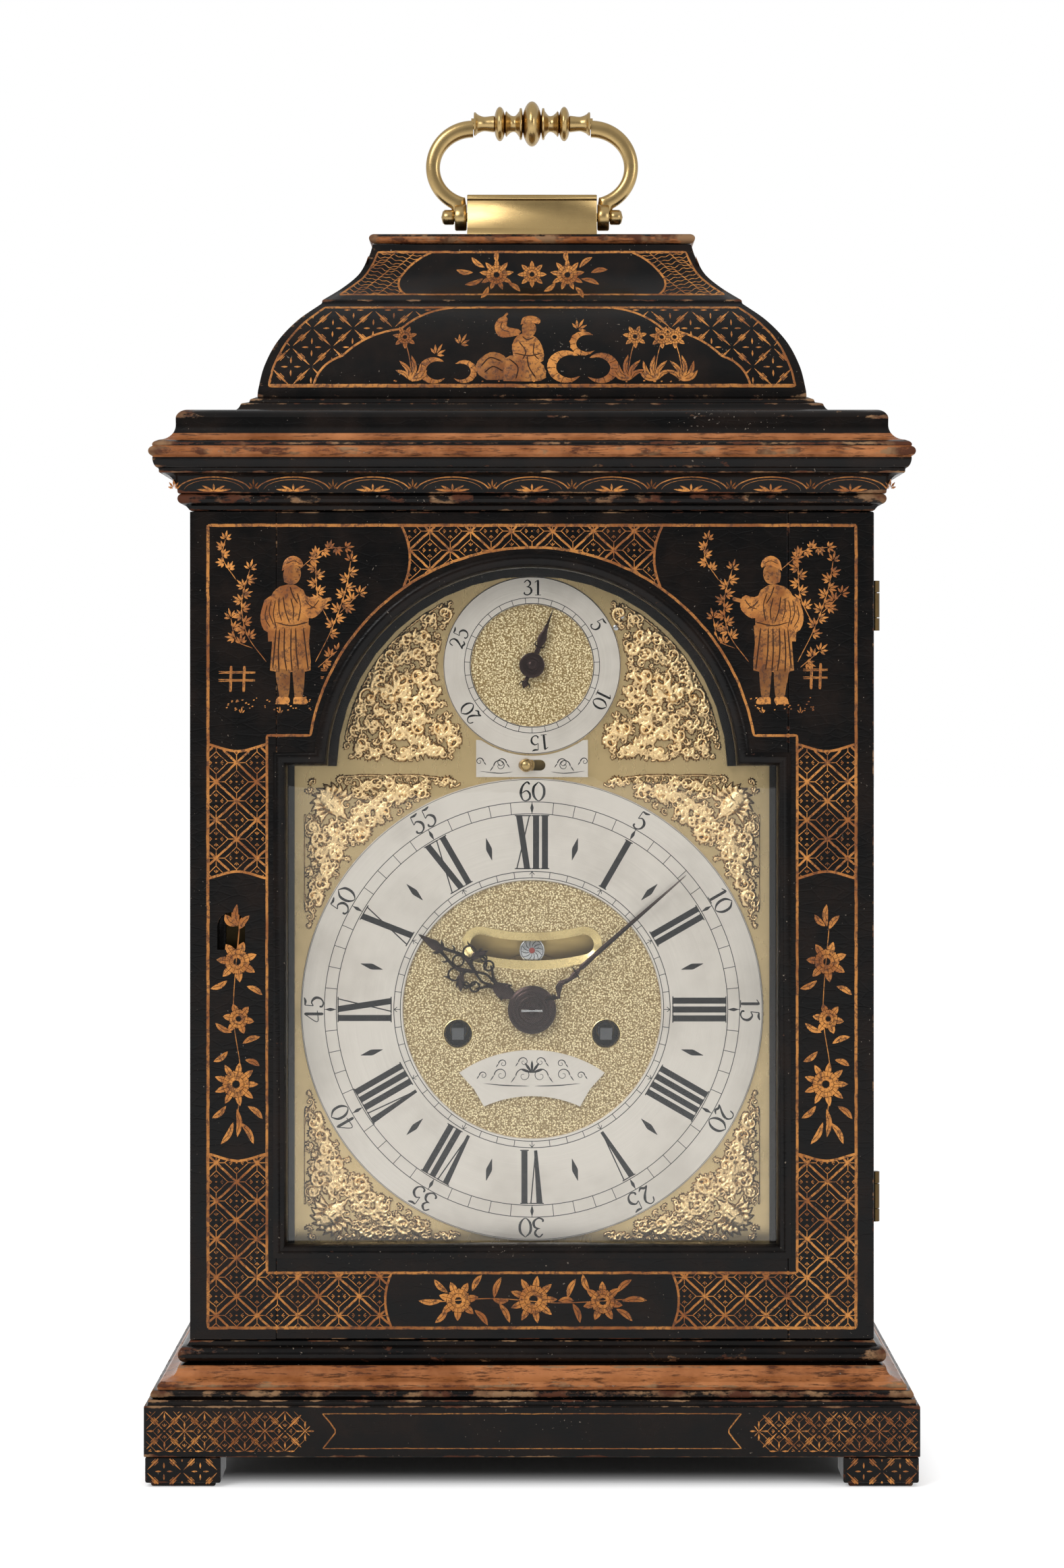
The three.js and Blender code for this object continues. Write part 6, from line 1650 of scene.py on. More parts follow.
# %% Sheets and turned pieces
def pierced_sheet(name, outline, holes, front, back, material, body, replaces=()):
    """A flat sheet with holes: both faces filled with triangles and joined by walls."""
    loops = [np.asarray(loop, float) for loop in [outline, *holes]]
    ordered = []
    for k, loop in enumerate(loops):
        ahead = np.roll(loop, -1, 0)
        area = np.sum(loop[:, 0] * ahead[:, 1] - loop[:, 1] * ahead[:, 0])
        ordered.append(loop if (area > 0) == (k == 0) else loop[::-1])
    flat = np.vstack(ordered)
    triangles = np.array(tessellate_polygon([[Vector((u, v, 0)) for u, v in loop] for loop in ordered]))
    a, b, c = (flat[triangles[:, k]] for k in range(3))
    up = (b - a)[:, 0] * (c - a)[:, 1] - (b - a)[:, 1] * (c - a)[:, 0]
    triangles[up < 0] = triangles[up < 0][:, ::-1]
    count = len(flat)
    walls, first = [], 0
    for loop in ordered:
        here = first + np.arange(len(loop))
        there = first + (np.arange(len(loop)) + 1) % len(loop)
        walls.append(np.stack([here, here + count, there + count, there], -1))
        first += len(loop)
    points = np.vstack([np.column_stack([flat[:, 0], np.full(count, y), flat[:, 1]])
                        for y in (front, back)])
    faces = [triangles, triangles[:, ::-1] + count, np.vstack(walls)]
    return piece(name, points, faces, [material], body, replaces)


def lathed_y(name, profile, centre, material, body, replaces=(), segments=96, sharp=35):
    """A turned ring or knob on an axis along Y: the profile is [radius, y], closed."""
    profile = np.asarray(profile, float)
    t = np.linspace(0, 2 * math.pi, segments, endpoint=False)
    rows = [np.column_stack([centre[0] + r * np.sin(t), np.full(segments, y), centre[1] + r * np.cos(t)])
            for r, y in profile]
    return ring_piece(name, rows, material, body, replaces, sharp=sharp)


def circle(centre, radius, steps=64):
    """A closed circle, its last point one step short of its first."""
    return arc(centre, (radius, radius), 0, 360 * (1 - 1 / steps), steps - 1)


SLOT_RADIUS, SLOT_HALF, SLOT_CHORD, VERGE_Z = 82.2, 3.7, 23, 275


def slot_outline(grow=0.0, steps=30):
    """The arched opening of the mock pendulum, grown by a margin."""
    reach = math.degrees(math.asin((SLOT_CHORD - SLOT_HALF) / SLOT_RADIUS))
    low, high = SLOT_RADIUS + SLOT_HALF + grow, SLOT_RADIUS - SLOT_HALF - grow
    ends = []
    for way in (-90 + reach, -90 - reach):
        centre = np.array([0, VERGE_Z]) + SLOT_RADIUS * np.array([math.cos(math.radians(way)),
                                                                  math.sin(math.radians(way))])
        turn = way if way > -90 else way + 180
        ends.append(arc(centre, (SLOT_HALF + grow,) * 2, turn, turn + 180, 14)[1:-1])
    return np.vstack([arc((0, VERGE_Z), (low, low), -90 - reach, -90 + reach, steps), ends[0],
                      arc((0, VERGE_Z), (high, high), -90 + reach, -90 - reach, steps), ends[1]])


# %% [markdown]
# The dial sheet is pierced for the hands, the winding squares, the slide and the mock pendulum. Matted
# grounds lie on it inside the rings, and a bevelled rim leads into each opening.

# %% Sheet, matted grounds and rims
BEVEL = 3.1
sheet_edge = break_arch(88.9, SILL, 262.3, 73.5, 90)
slide_slot = np.vstack([arc((3, 261.8), (2, 2), -90, 90, 10), arc((-3, 261.8), (2, 2), 90, 270, 10)])
windings = [(-27.5, 162.0), (27.5, 162.0)]
centre_holes = [circle((0, DIAL_Z), 4.7), *[circle(spot, 5.4) for spot in windings]]
date_hole = circle((0, DATE_Z), 2.4, 32)
pierced_sheet("dial_sheet", sheet_edge, [*centre_holes, date_hole, slot_outline(BEVEL), slide_slot],
              DIAL_FRONT, DIAL_FRONT + 2, DIAL_BRASS, "case", ["dial_plate"])
grounds = (("matted_centre", circle((0, DIAL_Z), 48.2, 160), [*centre_holes, slot_outline(BEVEL)]),
           ("matted_date_centre", circle((0, DATE_Z), 22.9, 96), [date_hole]))
for name, outline, holes in grounds:
    pierced_sheet(name, outline, holes, DIAL_FRONT - 0.06, DIAL_FRONT + 0.4, MATTED, "case")
for k, spot in enumerate([(-52, 112), (52, 112), (-52, 240), (52, 240)]):
    foot = [[0.01, DIAL_FRONT + 1], [2.6, DIAL_FRONT + 1], [2.6, -38.3], [0.01, -38.3]]
    lathed_y(f"dial_foot_{k}", foot, spot, DIAL_BRASS, "case", segments=32)
rim = [(5.5, 0.6), (5.5, -0.1), (5.3, -0.2), (4.6, 0.5), (4.5, 0.9), (4.5, 2), (5.2, 2)]
rim = [[radius, DIAL_FRONT + depth] for radius, depth in rim]
# A dark disc before the front plate, round each winding arbor, is painted shade in the space behind the hole.
shade_disc = [[3.4, -38.55], [9.5, -38.55], [9.5, -38.35], [3.4, -38.35]]
for k, spot in enumerate(windings):
    lathed_y(f"winding_rim_{k}", rim, spot, GILT, "case")
    lathed_y(f"winding_shadow_{k}", shade_disc, spot, SHADE_BRASS, "case")
rivet = [(0.01, 0.5), (0.01, -0.2), (0.7, -0.17), (1.05, -0.02), (1.05, 0.5)]
rivet = [[radius, DIAL_FRONT + depth] for radius, depth in rivet]
for k, spot in enumerate([(-33, 284.9), (31.2, 312.9), (33.2, 317.2)]):
    lathed_y(f"dial_rivet_{k}", rivet, spot, STEEL, "case", segments=32)
rim = [(BEVEL + 0.15, 0.5), (BEVEL + 0.15, -0.08), (BEVEL - 0.1, -0.12), (0.3, 1.15), (0, 1.3), (0, 2),
       (BEVEL, 2)]
rows = [np.insert(slot_outline(grow), 1, DIAL_FRONT + depth, axis=1) for grow, depth in rim]
ring_piece("slot_rim", rows, GILT, "case", sharp=30)


def ring_section(inner, outer, back=RING_FRONT + 1.2, edge=0.25):
    """Section of a flat ring with broken edges."""
    return [[inner, back], [inner, RING_FRONT + edge], [inner + edge, RING_FRONT],
            [outer - edge, RING_FRONT],
            [outer, RING_FRONT + edge], [outer, back]]


lathed_y("chapter_ring_finish", ring_section(47.9, 85.9), (0, DIAL_Z), CHAPTER_SILVER, "case",
         ["chapter_ring"], 240)
lathed_y("date_ring_finish", ring_section(22.7, 33), (0, DATE_Z), DATE_SILVER, "case",
         ["date_ring"], 144)
print("dial sheet and rings made")

# %% [markdown]
# ### Engraving
# Numbers stand with their feet to the centre. A local point (x, y) lies x clockwise along the circle and
# y outward: centre + (radius + y) * outward + x * clockwise. Digits are strokes whose width swells and thins.

# %% Numbers and tracks
DIGITS = {
    "0": ([([(0.3, 1), (0.04, 0.72), (0.04, 0.28), (0.3, 0), (0.56, 0.28), (0.56, 0.72), (0.3, 1)],
            [0.3, 1, 1, 0.3, 1, 1, 0.3])], 0.6),
    "1": ([([(0.3, 1), (0.3, 0)], [1.1, 1.1]), ([(0.08, 0.84), (0.28, 0.98)], [0.35, 0.4]),
           ([(0.1, 0), (0.5, 0)], [0.35, 0.35])], 0.5),
    "2": ([([(0.06, 0.72), (0.14, 0.95), (0.36, 0.98), (0.52, 0.76), (0.4, 0.45), (0.06, 0.06)],
            [0.6, 0.4, 0.6, 1.1, 0.7, 0.35]),
           ([(0.06, 0.05), (0.25, 0.12), (0.42, 0.02), (0.6, 0.16)], [0.5, 1.0, 0.9, 0.3])], 0.62),
    "3": ([([(0.08, 0.82), (0.28, 1), (0.5, 0.8), (0.38, 0.58), (0.22, 0.54)], [0.6, 0.5, 1.0, 0.7, 0.3]),
           ([(0.24, 0.55), (0.5, 0.48), (0.56, 0.2), (0.32, 0), (0.08, 0.08), (0.1, 0.2)],
            [0.3, 0.8, 1.1, 0.6, 0.6, 0.9])], 0.6),
    "4": ([([(0.44, 1), (0.44, 0)], [1.1, 1.1]),
           ([(0.42, 0.98), (0.03, 0.32), (0.62, 0.32)], [0.35, 0.35, 0.35])], 0.64),
    "5": ([([(0.16, 0.97), (0.36, 0.94), (0.56, 1.0)], [0.5, 1.0, 0.4]),
           ([(0.16, 0.97), (0.12, 0.52)], [0.35, 0.35]),
           ([(0.12, 0.52), (0.32, 0.62), (0.54, 0.42), (0.5, 0.14), (0.28, 0), (0.08, 0.08), (0.1, 0.2)],
            [0.3, 0.6, 1.1, 0.9, 0.5, 0.6, 0.9])], 0.6),
    "6": ([([(0.52, 0.86), (0.4, 1.0), (0.16, 0.78), (0.06, 0.4), (0.16, 0.08), (0.32, 0), (0.52, 0.12),
             (0.54, 0.36), (0.36, 0.54), (0.12, 0.4)],
            [0.9, 0.5, 0.8, 1.1, 0.8, 0.4, 0.8, 0.9, 0.5, 0.3])], 0.6),
}


class Engraving(Painting):
    """A painting in polar places about a centre."""

    BASE = 0.02

    def __init__(self, centre):
        super().__init__(1)
        self.centre = np.array(centre, float)

    def at(self, angle, radius, x=0.0):
        """A place by clock angle and radius, x to the clockwise side."""
        t = math.radians(angle)
        outward, clockwise = np.array([math.sin(t), math.cos(t)]), np.array([math.cos(t), -math.sin(t)])
        return self.centre + radius * outward + x * clockwise

    def ring(self, radius, width=0.3):
        self.brush(arc(self.centre, (radius, radius), 0, 360, 300), width, ends=1, curved=False)

    def tick(self, angle, low, high, width=0.25, x=0.0):
        """A straight bar along the radius."""
        self.brush([self.at(angle, low, x), self.at(angle, high, x)], width, ends=1)

    def number(self, text, angle, radius, height, weight=0.95):
        """Arabic digits with their middle at the given radius."""
        widths = [DIGITS[digit][1] * height for digit in text]
        x = -(sum(widths) + 0.1 * height * (len(text) - 1)) / 2
        for digit, width in zip(text, widths):
            for path, swell in DIGITS[digit][0]:
                points = [self.at(angle, radius + (b - 0.5) * height, x + a * height) for a, b in path]
                self.brush(points, np.array(swell) * weight, ends=0.6, reach=6)
            x += width + 0.1 * height

    def roman(self, text, angle, low, high):
        """Roman numeral between two radii: thick and thin bars closed by hairline serifs."""
        bar, gap = 2.25, 1.05
        pitch = {"I": bar + gap, "V": 5.6, "X": 6.3}
        x = -(sum(pitch[letter] for letter in text) - gap) / 2
        for letter in text:
            middle = x + (pitch[letter] - gap) / 2
            half = (pitch[letter] - gap) / 2
            left, right = middle - half, middle + half
            if letter == "I":
                self.tick(angle, low, high, bar, middle)
            else:
                foot, thin_foot = (middle + 0.3,) * 2 if letter == "V" else (right - bar / 2, left + 0.3)
                self.brush([self.at(angle, high, left + bar / 2), self.at(angle, low, foot)],
                           [bar, 1.2] if letter == "V" else bar, ends=1)
                self.brush([self.at(angle, high, right - (0.2 if letter == "V" else 0.3)),
                            self.at(angle, low, thin_foot)], 0.45, ends=1)
            for r in (low, high):
                if letter != "V" or r == high:
                    self.brush([self.at(angle, r, left - 0.45), self.at(angle, r, right + 0.45)], 0.42,
                               ends=1)
            x += pitch[letter]


def on_ring(u, v, height):
    return np.column_stack([u, RING_FRONT - height, v])


# %% [markdown]
# The chapter ring has a minute track with numbers every five minutes, a ring of quarter hours, Roman hours
# and lozenges at the half hours. The date ring has a track of 31 days with six of them numbered.

# %% Chapter ring and date ring
chapter = Engraving((0, DIAL_Z))
for radius, width in ((77.1, 0.28), (72.7, 0.28), (51.3, 0.28), (48.9, 0.28), (85.4, 0.18)):
    chapter.ring(radius, width)
for minute in range(60):
    chapter.tick(6 * minute, 72.7, 77.1)
    if minute % 5 == 0:
        chapter.brush([chapter.at(6 * minute, 73.0), chapter.at(6 * minute, 76.8)], [0.3, 1.3, 0.1],
                      curved=False)
        chapter.number(str(minute or 60), 6 * minute, 81.0, 7.1)
for quarter in range(48):
    chapter.tick(7.5 * quarter, 48.9, 51.3)
for hour, text in enumerate(("XII", "I", "II", "III", "IIII", "V", "VI", "VII", "VIII", "IX", "X", "XI")):
    chapter.roman(text, 30 * hour, 52.3, 72.0)
    for side in (-1, 1):
        chapter.brush([chapter.at(30 * hour, 51.2), chapter.at(30 * hour, 50.1, side * 0.9)], 0.25, ends=1)
    chapter.brush([chapter.at(30 * hour + 15, r) for r in (57.4, 61.6, 65.8)], [0.15, 2.3, 0.15], ends=1,
                  curved=False)
chapter.lay("chapter_engraving", on_ring, "case", material=WAX, slot="silvered", thin=0.3)

dates = Engraving((0, DATE_Z))
for radius, width in ((25.1, 0.25), (23.0, 0.25), (32.7, 0.16)):
    dates.ring(radius, width)
for day in range(31):
    dates.tick(360 * (day + 0.5) / 31, 23.0, 25.1, 0.22)
for day in (31, 5, 10, 15, 20, 25):
    dates.number(str(day), 360 * day / 31, 28.9, 5.6, 0.75)
dates.lay("date_engraving", on_ring, "case", material=WAX, slot="silvered", thin=0.3)


# %% [markdown]
# ### Plates
# The two small plates carry plain scrolls of engraving.

# %% Strike/silent plate and plaque
def engraved_scroll(sheet, place, size, way, turns=1.3):
    """A tapering spiral with a leaf at its root."""
    t = np.linspace(0, turns * 2 * math.pi, 40)
    r = size * (1 - t / t[-1] * 0.85)
    path = np.column_stack([place[0] + way * (r * np.cos(t) - size), place[1] + r * np.sin(t)])
    sheet.brush(path, np.linspace(0.42, 0.16, 8), ends=1, reach=2.5)
    sheet.leaf(place, np.array(place) + turned(-90 + way * 35, size * 1.1), 0.4, 0, 0, False)


plate_y = DIAL_FRONT - 0.03 - 0.9
label = np.vstack([[(-20.75, 257.4), (20.75, 257.4), (20.75, 271.2)],
                   [p for p in arc((0, DATE_Z), (33.6, 33.6), -52, -128, 40) if abs(p[0]) < 20.5
                    and p[1] < 271.2], [(-20.75, 271.2)]])
pierced_sheet("strike_silent_finish", label, [slide_slot], plate_y, plate_y + 0.9, CHAPTER_SILVER, "case",
              ["strike_silent_plate"])
plaque = np.vstack([arc((0, 106), (38, 32.9), 62, 118, 40), [(-21.6, 141.6)],
                    arc((0, 120), (42, 36), 130, 50, 40), [(21.6, 141.6)]])
pierced_sheet("plaque_finish", plaque, [], plate_y, plate_y + 0.9, CHAPTER_SILVER, "case",
              ["name_plaque"])


def on_plate(u, v, height):
    return np.column_stack([u, plate_y - height, v])


scrolls = Engraving((0, 0))
for way in (-1, 1):
    for k, (u, v, size) in enumerate(((9.5, 262.6, 1.9), (14.2, 261.6, 2.3), (18.0, 263.2, 1.5))):
        engraved_scroll(scrolls, (way * u, v), size, way if k % 2 else -way)
    scrolls.brush([(way * 7, 259.4), (way * 12, 258.8), (way * 19.6, 259.6)], [0.15, 0.35, 0.1])
    for u, v, size in ((6, 146.5, 2.9), (14, 146.8, 2.5), (19.6, 146.6, 1.5), (5, 151.6, 1.9),
                       (12.4, 151, 1.6)):
        engraved_scroll(scrolls, (way * u, v), size, way)
    scrolls.brush([(way * 1, 142.6), (way * 10, 142.9), (way * 18, 143.6)], [0.2, 0.45, 0.15])
for k in range(5):
    scrolls.leaf((0, 147.6), np.array([0, 147.6]) + turned(90 + 36 * (k - 2), 4.6), 1.0, 0, 0, False)
scrolls.lay("plate_engraving", on_plate, "case", material=WAX, slot="silvered", thin=0.3)

# %% [markdown]
# Behind the slot hangs the mock bob, a small steel disc with engraved petals and a red eye. It rides on the
# pendulum, so it swings in the slot.

# %% Mock pendulum
bob_z = VERGE_Z - SLOT_RADIUS
bob = [[0.01, -54.1], [0.01, -54.62], [1.2, -54.6], [4.0, -54.45], [4.5, -54.25], [4.5, -54.1]]
lathed_y("mock_bob", bob, (0, bob_z), STEEL, "pendulum", segments=48)
eye = [[0.01, -54.3], [0.01, -54.78], [0.7, -54.74], [1.1, -54.6], [1.1, -54.3]]
lathed_y("mock_bob_eye", eye, (0, bob_z),
         metal("red_lacquer", (0.30, 0.03, 0.02), (0.1, 0.01, 0.01), (0.3, 0.5), metallic=0.2),
         "pendulum", segments=32)
petals = Engraving((0, bob_z))
for k in range(12):
    petals.brush([petals.at(30 * k, 0.9), petals.at(30 * k + 8, 2.4), petals.at(30 * k + 24, 3.9)],
                 [0.1, 0.28, 0.2], ends=1)
petals.ring(4.15, 0.2)


def on_bob(u, v, height):
    """Surface of the mock bob: its depth follows its turned profile."""
    reach = np.hypot(u, v - bob_z)
    return np.column_stack([u, np.interp(reach, [0, 1.2, 4.0, 4.5], [-54.62, -54.6, -54.45, -54.25]) - 0.03
                            - height, v])


petals.lay("mock_bob_petals", on_bob, "pendulum", material=WAX, slot="steel", thin=0.15)

# %% [markdown]
# ### Cast spandrels
# Each casting is a height field over a fine grid. Every scroll, leaf and bead adds a rounded ridge: at a
# distance d from its middle line, with half width w, the height is h * sqrt(1 - (d / w)^2). The field is
# the highest of them, and where nothing stands it dips below the face of the dial.

# %% Height fields
class Casting:
    """Relief on a grid; lengths in mm from the corner of the field."""

    def __init__(self, low, high, spacing=0.34):
        self.u = np.arange(low[0], high[0] + spacing, spacing)
        self.v = np.arange(low[1], high[1] + spacing, spacing)
        self.relief = np.full((len(self.v), len(self.u)), -0.5)

    def ridge(self, path, width, height, groove=0.0, curved=True):
        """A rounded bar along a path; widths and heights run from its start to its end."""
        path = np.asarray(path, float)
        if curved and len(path) > 2:
            path = spline(path, 8)
        fine, _ = resampled(path, 0.3)
        t = np.linspace(0, 1, len(fine))
        half = np.interp(t, np.linspace(0, 1, np.size(width)), np.atleast_1d(width)) / 2 + 1e-3
        tall = 1.15 * np.interp(t, np.linspace(0, 1, np.size(height)), np.atleast_1d(height))
        margin = half.max() + 0.4
        cols = np.flatnonzero((self.u > fine[:, 0].min() - margin) & (self.u < fine[:, 0].max() + margin))
        rows = np.flatnonzero((self.v > fine[:, 1].min() - margin) & (self.v < fine[:, 1].max() + margin))
        if not len(cols) or not len(rows):
            return
        place = np.stack(np.meshgrid(self.u[cols], self.v[rows]), -1)[:, :, None]
        share = np.linalg.norm(place - fine, axis=-1) / half
        lift = tall * np.sqrt(np.clip(1 - share**2, 0, None)) - groove * np.exp(-((share / 0.22) ** 2))
        lift = np.where(share < 1, lift, -0.5).max(-1)
        window = np.ix_(rows, cols)
        self.relief[window] = np.maximum(self.relief[window], lift)

    def bead(self, centre, radius, height):
        self.ridge([centre, np.asarray(centre) + [0.01, 0]], 2 * radius, height, curved=False)

    def leaf(self, base, tip, width, height, bend=0.2):
        """A leaf with a groove along its middle."""
        base, tip = np.asarray(base, float), np.asarray(tip, float)
        across = np.array([-(tip - base)[1], (tip - base)[0]])
        middle = (base + tip) / 2 + across * bend
        self.ridge([base, middle, tip], [0.4 * width, width, 0.2 * width],
                   [height * 0.6, height, height * 0.5], height * 0.35)

    def scroll(self, centre, radius, start, turns, way=1, width=1.5, height=1.5):
        """A spiral that ends in a bead, with lobes along its outer side."""
        t = np.linspace(0, 1, 26)
        angle = np.radians(start) + way * turns * 2 * math.pi * t
        reach = radius * (1 - 0.82 * t)
        path = np.column_stack([centre[0] + reach * np.cos(angle), centre[1] + reach * np.sin(angle)])
        self.ridge(path, [width, width * 0.55], [height * 0.8, height], curved=False)
        self.bead(centre, radius * 0.26, height * 1.15)
        for k in range(1, 12, 2):
            out = path[k] - np.asarray(centre)
            lobe = path[k] + out / np.linalg.norm(out) * width * 0.9
            self.ridge([path[k], lobe], [width * 0.8, width * 0.35], [height * 0.9, height * 0.4],
                       curved=False)

    def acanthus(self, stem, size, width=2.0, height=1.4, sides=(1, -1)):
        """A stem with pairs of curling leaves that grow smaller toward its tip."""
        path = spline(np.asarray(stem, float), 8)
        self.ridge(path, [width * 0.7, width * 0.35], [height, height * 0.5], 0, False)
        fine, along = resampled(path, 0.5)
        for at in np.arange(1.2, along[-1] - 0.4, 2.0):
            k = int(np.searchsorted(along, at))
            way = fine[min(k + 1, len(fine) - 1)] - fine[k - 1]
            way /= np.linalg.norm(way)
            scale = 1 - 0.6 * at / along[-1]
            for side in sides:
                normal = np.array([-way[1], way[0]]) * side
                tip = fine[k] + (normal * 0.9 + way * 0.75) * size * scale
                self.leaf(fine[k], tip, width * 0.75 * scale, height * 0.85, -0.25 * side)

    def scatter(self, inside, low, high, seed, sizes=(1.7, 3.2)):
        """Scrolls of varied size wherever the region still has room, turning either way."""
        chance = np.random.default_rng(seed)
        ring = np.radians(np.arange(0, 360, 45))
        spots = []
        for u, v, share in chance.random((2600, 3)):
            u, v = low[0] + u * (high[0] - low[0]), low[1] + v * (high[1] - low[1])
            r = sizes[0] + share * (sizes[1] - sizes[0])
            if not np.all(inside(u + r * np.cos(ring), v + r * np.sin(ring))):
                continue
            if all(math.hypot(u - a, v - b) > 0.84 * (r + c) for a, b, c in spots):
                spots.append((u, v, r))
                way = 1 if len(spots) % 2 else -1
                start = chance.uniform(0, 360)
                self.scroll((u, v), r, start, 1.05, way, 0.46 * r + 0.3, 1.0 + 0.2 * r)
                tip = np.array([u, v]) + turned(start + 90 * way, r * 1.5)
                if inside(*tip):
                    self.leaf((u, v) + turned(start, r * 0.9), tip, 0.5 * r, 1.0 + 0.18 * r, 0.3 * way)
        return spots

    def keep(self, region):
        """Clears what lies outside the region."""
        place = np.meshgrid(self.u, self.v)
        self.relief = np.where(region(*place), self.relief, -0.5)

    def cast(self, name, mirrors, top):
        """One closed slab for each mirror (sign of X, sign of Z about the given height)."""
        rows, cols = self.relief.shape
        rough = np.random.default_rng(7).normal(size=self.relief.shape) * 0.05
        relief = np.where(self.relief > 0, self.relief + rough, self.relief)
        near = relief > -0.4
        wide = near.copy()
        for shift in ((0, 1), (0, -1), (1, 0), (-1, 0), (1, 1), (-1, -1), (1, -1), (-1, 1)):
            wide |= np.roll(near, shift, (0, 1))
        cell = wide[:-1, :-1] & wide[1:, :-1] & wide[:-1, 1:] & wide[1:, 1:]
        number = np.arange(rows * cols).reshape(rows, cols)
        quads = np.stack([number[:-1, :-1], number[:-1, 1:], number[1:, 1:], number[1:, :-1]], -1)[cell]
        edges = np.vstack([quads[:, [k, (k + 1) % 4]] for k in range(4)])
        keys = edges[:, 0].astype(np.int64) * rows * cols + edges[:, 1]
        back = edges[:, 1].astype(np.int64) * rows * cols + edges[:, 0]
        rim = edges[~np.isin(keys, back)]
        used = np.unique(quads)
        order = np.full(rows * cols, -1)
        order[used] = np.arange(len(used))
        count = len(used)
        walls = order[rim]
        faces = [order[quads], order[quads][:, ::-1] + count,
                 np.stack([walls[:, 1], walls[:, 0], walls[:, 0] + count, walls[:, 1] + count], -1)]
        u, v = (grid.ravel()[used] for grid in np.meshgrid(self.u, self.v))
        lift = relief.ravel()[used]
        for k, (sign_x, sign_z, middle) in enumerate(mirrors):
            points = np.vstack([np.column_stack([sign_x * u, top - level, middle + sign_z * v])
                                for level in (lift, np.full(count, -0.9))])
            flip = sign_x * sign_z < 0
            made = [group[:, ::-1] if flip else group for group in faces]
            shade = {"relief": np.tile(lift, 2) / 2}
            piece(f"{name}_{k}", points, made, [CAST_GILT], "case", values=shade, sharp=180)
        print(name, "cells:", len(quads))


# %% [markdown]
# A corner spandrel has a mask in its corner and two arms of acanthus, mirror images about the diagonal. The
# scatter first fills the ground with small scrolls, and the larger forms are laid over them.

# %% Corner spandrels
def grotesque(casting, centre, size):
    """A plain antique mask in relief, turned to the corner of the dial, with a crown of rays."""
    out = np.array([1, 1]) / math.sqrt(2)
    across = np.array([1, -1]) / math.sqrt(2)

    def at(x, y):
        return np.asarray(centre) + across * x * size + out * y * size

    for k in range(11):
        lean = math.radians(-105 + 21 * k)
        way = out * math.cos(lean) + across * math.sin(lean)
        casting.leaf(at(0, 0.2) + way * 3.4 * size, at(0, 0.2) + way * 7.2 * size, 2.1 * size, 1.5)
    casting.ridge([at(0, -3.4), at(0, 0), at(0, 3.2)], np.array([3.4, 6.6, 5.6]) * size, [1.5, 2.0, 1.7])
    casting.ridge([at(-2.2, 1.5), at(-0.7, 1.1), at(0, 1.4), at(0.7, 1.1), at(2.2, 1.5)], 0.8 * size, 2.3)
    casting.ridge([at(0, 1.2), at(0, -0.9)], [0.8 * size, 1.5 * size], [2.3, 2.55], curved=False)
    for side in (-1, 1):
        casting.bead(at(1.35 * side, 0.55), 0.5 * size, 2.2)
        casting.bead(at(1.7 * side, -0.9), 0.9 * size, 2.15)
        casting.scroll(at(3.4 * side, -3.2), 1.9 * size, 90, 0.9, side, 1.0, 1.6)
    casting.ridge([at(-1.0, -1.9), at(0, -1.6), at(1.0, -1.9)], 0.55 * size, 2.3)
    casting.ridge([at(-0.8, -2.6), at(0, -2.75), at(0.8, -2.6)], 0.6 * size, 2.2)
    casting.leaf(at(0, -3.2), at(0, -6.6), 2.2 * size, 1.6, 0)


RING_EDGE = 87.2  # mm from the centre: the castings start just outside the chapter ring


def corner_field(u, v):
    """Where scrolls may stand: outside the ring, clear of the mask, within the square."""
    outside = (np.hypot(u, v) > RING_EDGE) & (np.hypot(u - 75, v - 77) > 7.5)
    return outside & (u < 84.6) & (v < 86.8) & (u > 26) & (v > 26)


corner = Casting((24, 24), (87.5, 91))
corner.scatter(corner_field, (30, 30), (85, 87), 3, (2.2, 3.8))
corner.scatter(corner_field, (26, 26), (85, 87), 5, (1.1, 1.9))
for flip in (False, True):
    def go(p, q):
        return (q - 2.0, p + 2.0) if flip else (p, q)

    way = -1 if flip else 1
    corner.acanthus([go(66, 70), go(58, 77.5), go(48, 81), go(36, 85.2)], 3.4, 2.0, 1.35)
    for p, q, radius, start, turns, turn, width, tall in (
            (61.5, 73.0, 4.0, 250 if flip else 200, 1.3, -1, 1.5, 1.5),
            (54.2, 76.6, 3.0, 70 if flip else 20, 1.2, 1, 1.2, 1.3),
            (47.6, 80.0, 2.4, 210, 1.2, -1, 1.0, 1.15),
            (41.4, 82.4, 1.9, 30, 1.1, 1, 0.9, 1.0), (57.4, 83.6, 3.0, 300, 1.2, 1, 1.2, 1.3),
            (66.0, 84.2, 2.6, 250, 1.1, -1, 1.1, 1.3), (49.4, 85.4, 2.1, 280, 1.1, 1, 1.0, 1.1)):
        corner.scroll(go(p, q), radius, start, turns, turn * way, width, tall)
    corner.acanthus([go(70, 66), go(66, 64), go(62.4, 65.8)], 2.2, 1.5, 1.2)
    for p, q, r in ((52, 83.4, 0.7), (45, 84.2, 0.6), (62, 79, 0.8), (69.6, 80.6, 0.9), (39.4, 85.4, 0.5),
                    (35, 85.8, 0.6)):
        corner.bead(go(p, q), r, 1.2)
    corner.ridge([go(34.5, 86), go(44, 86.9), go(54, 86.7), go(62, 86.9), go(70, 86.4)], 1.0, 0.9)
grotesque(corner, (74.0, 76.0), 1.15)
corner.keep(lambda u, v: (np.hypot(u, v) > RING_EDGE) & (u < 84.6) & (v < 87.6) & (u > 26) & (v > 26))
corner.cast("spandrel_upper", [(-1, 1, DIAL_Z), (1, 1, DIAL_Z)], DIAL_FRONT)
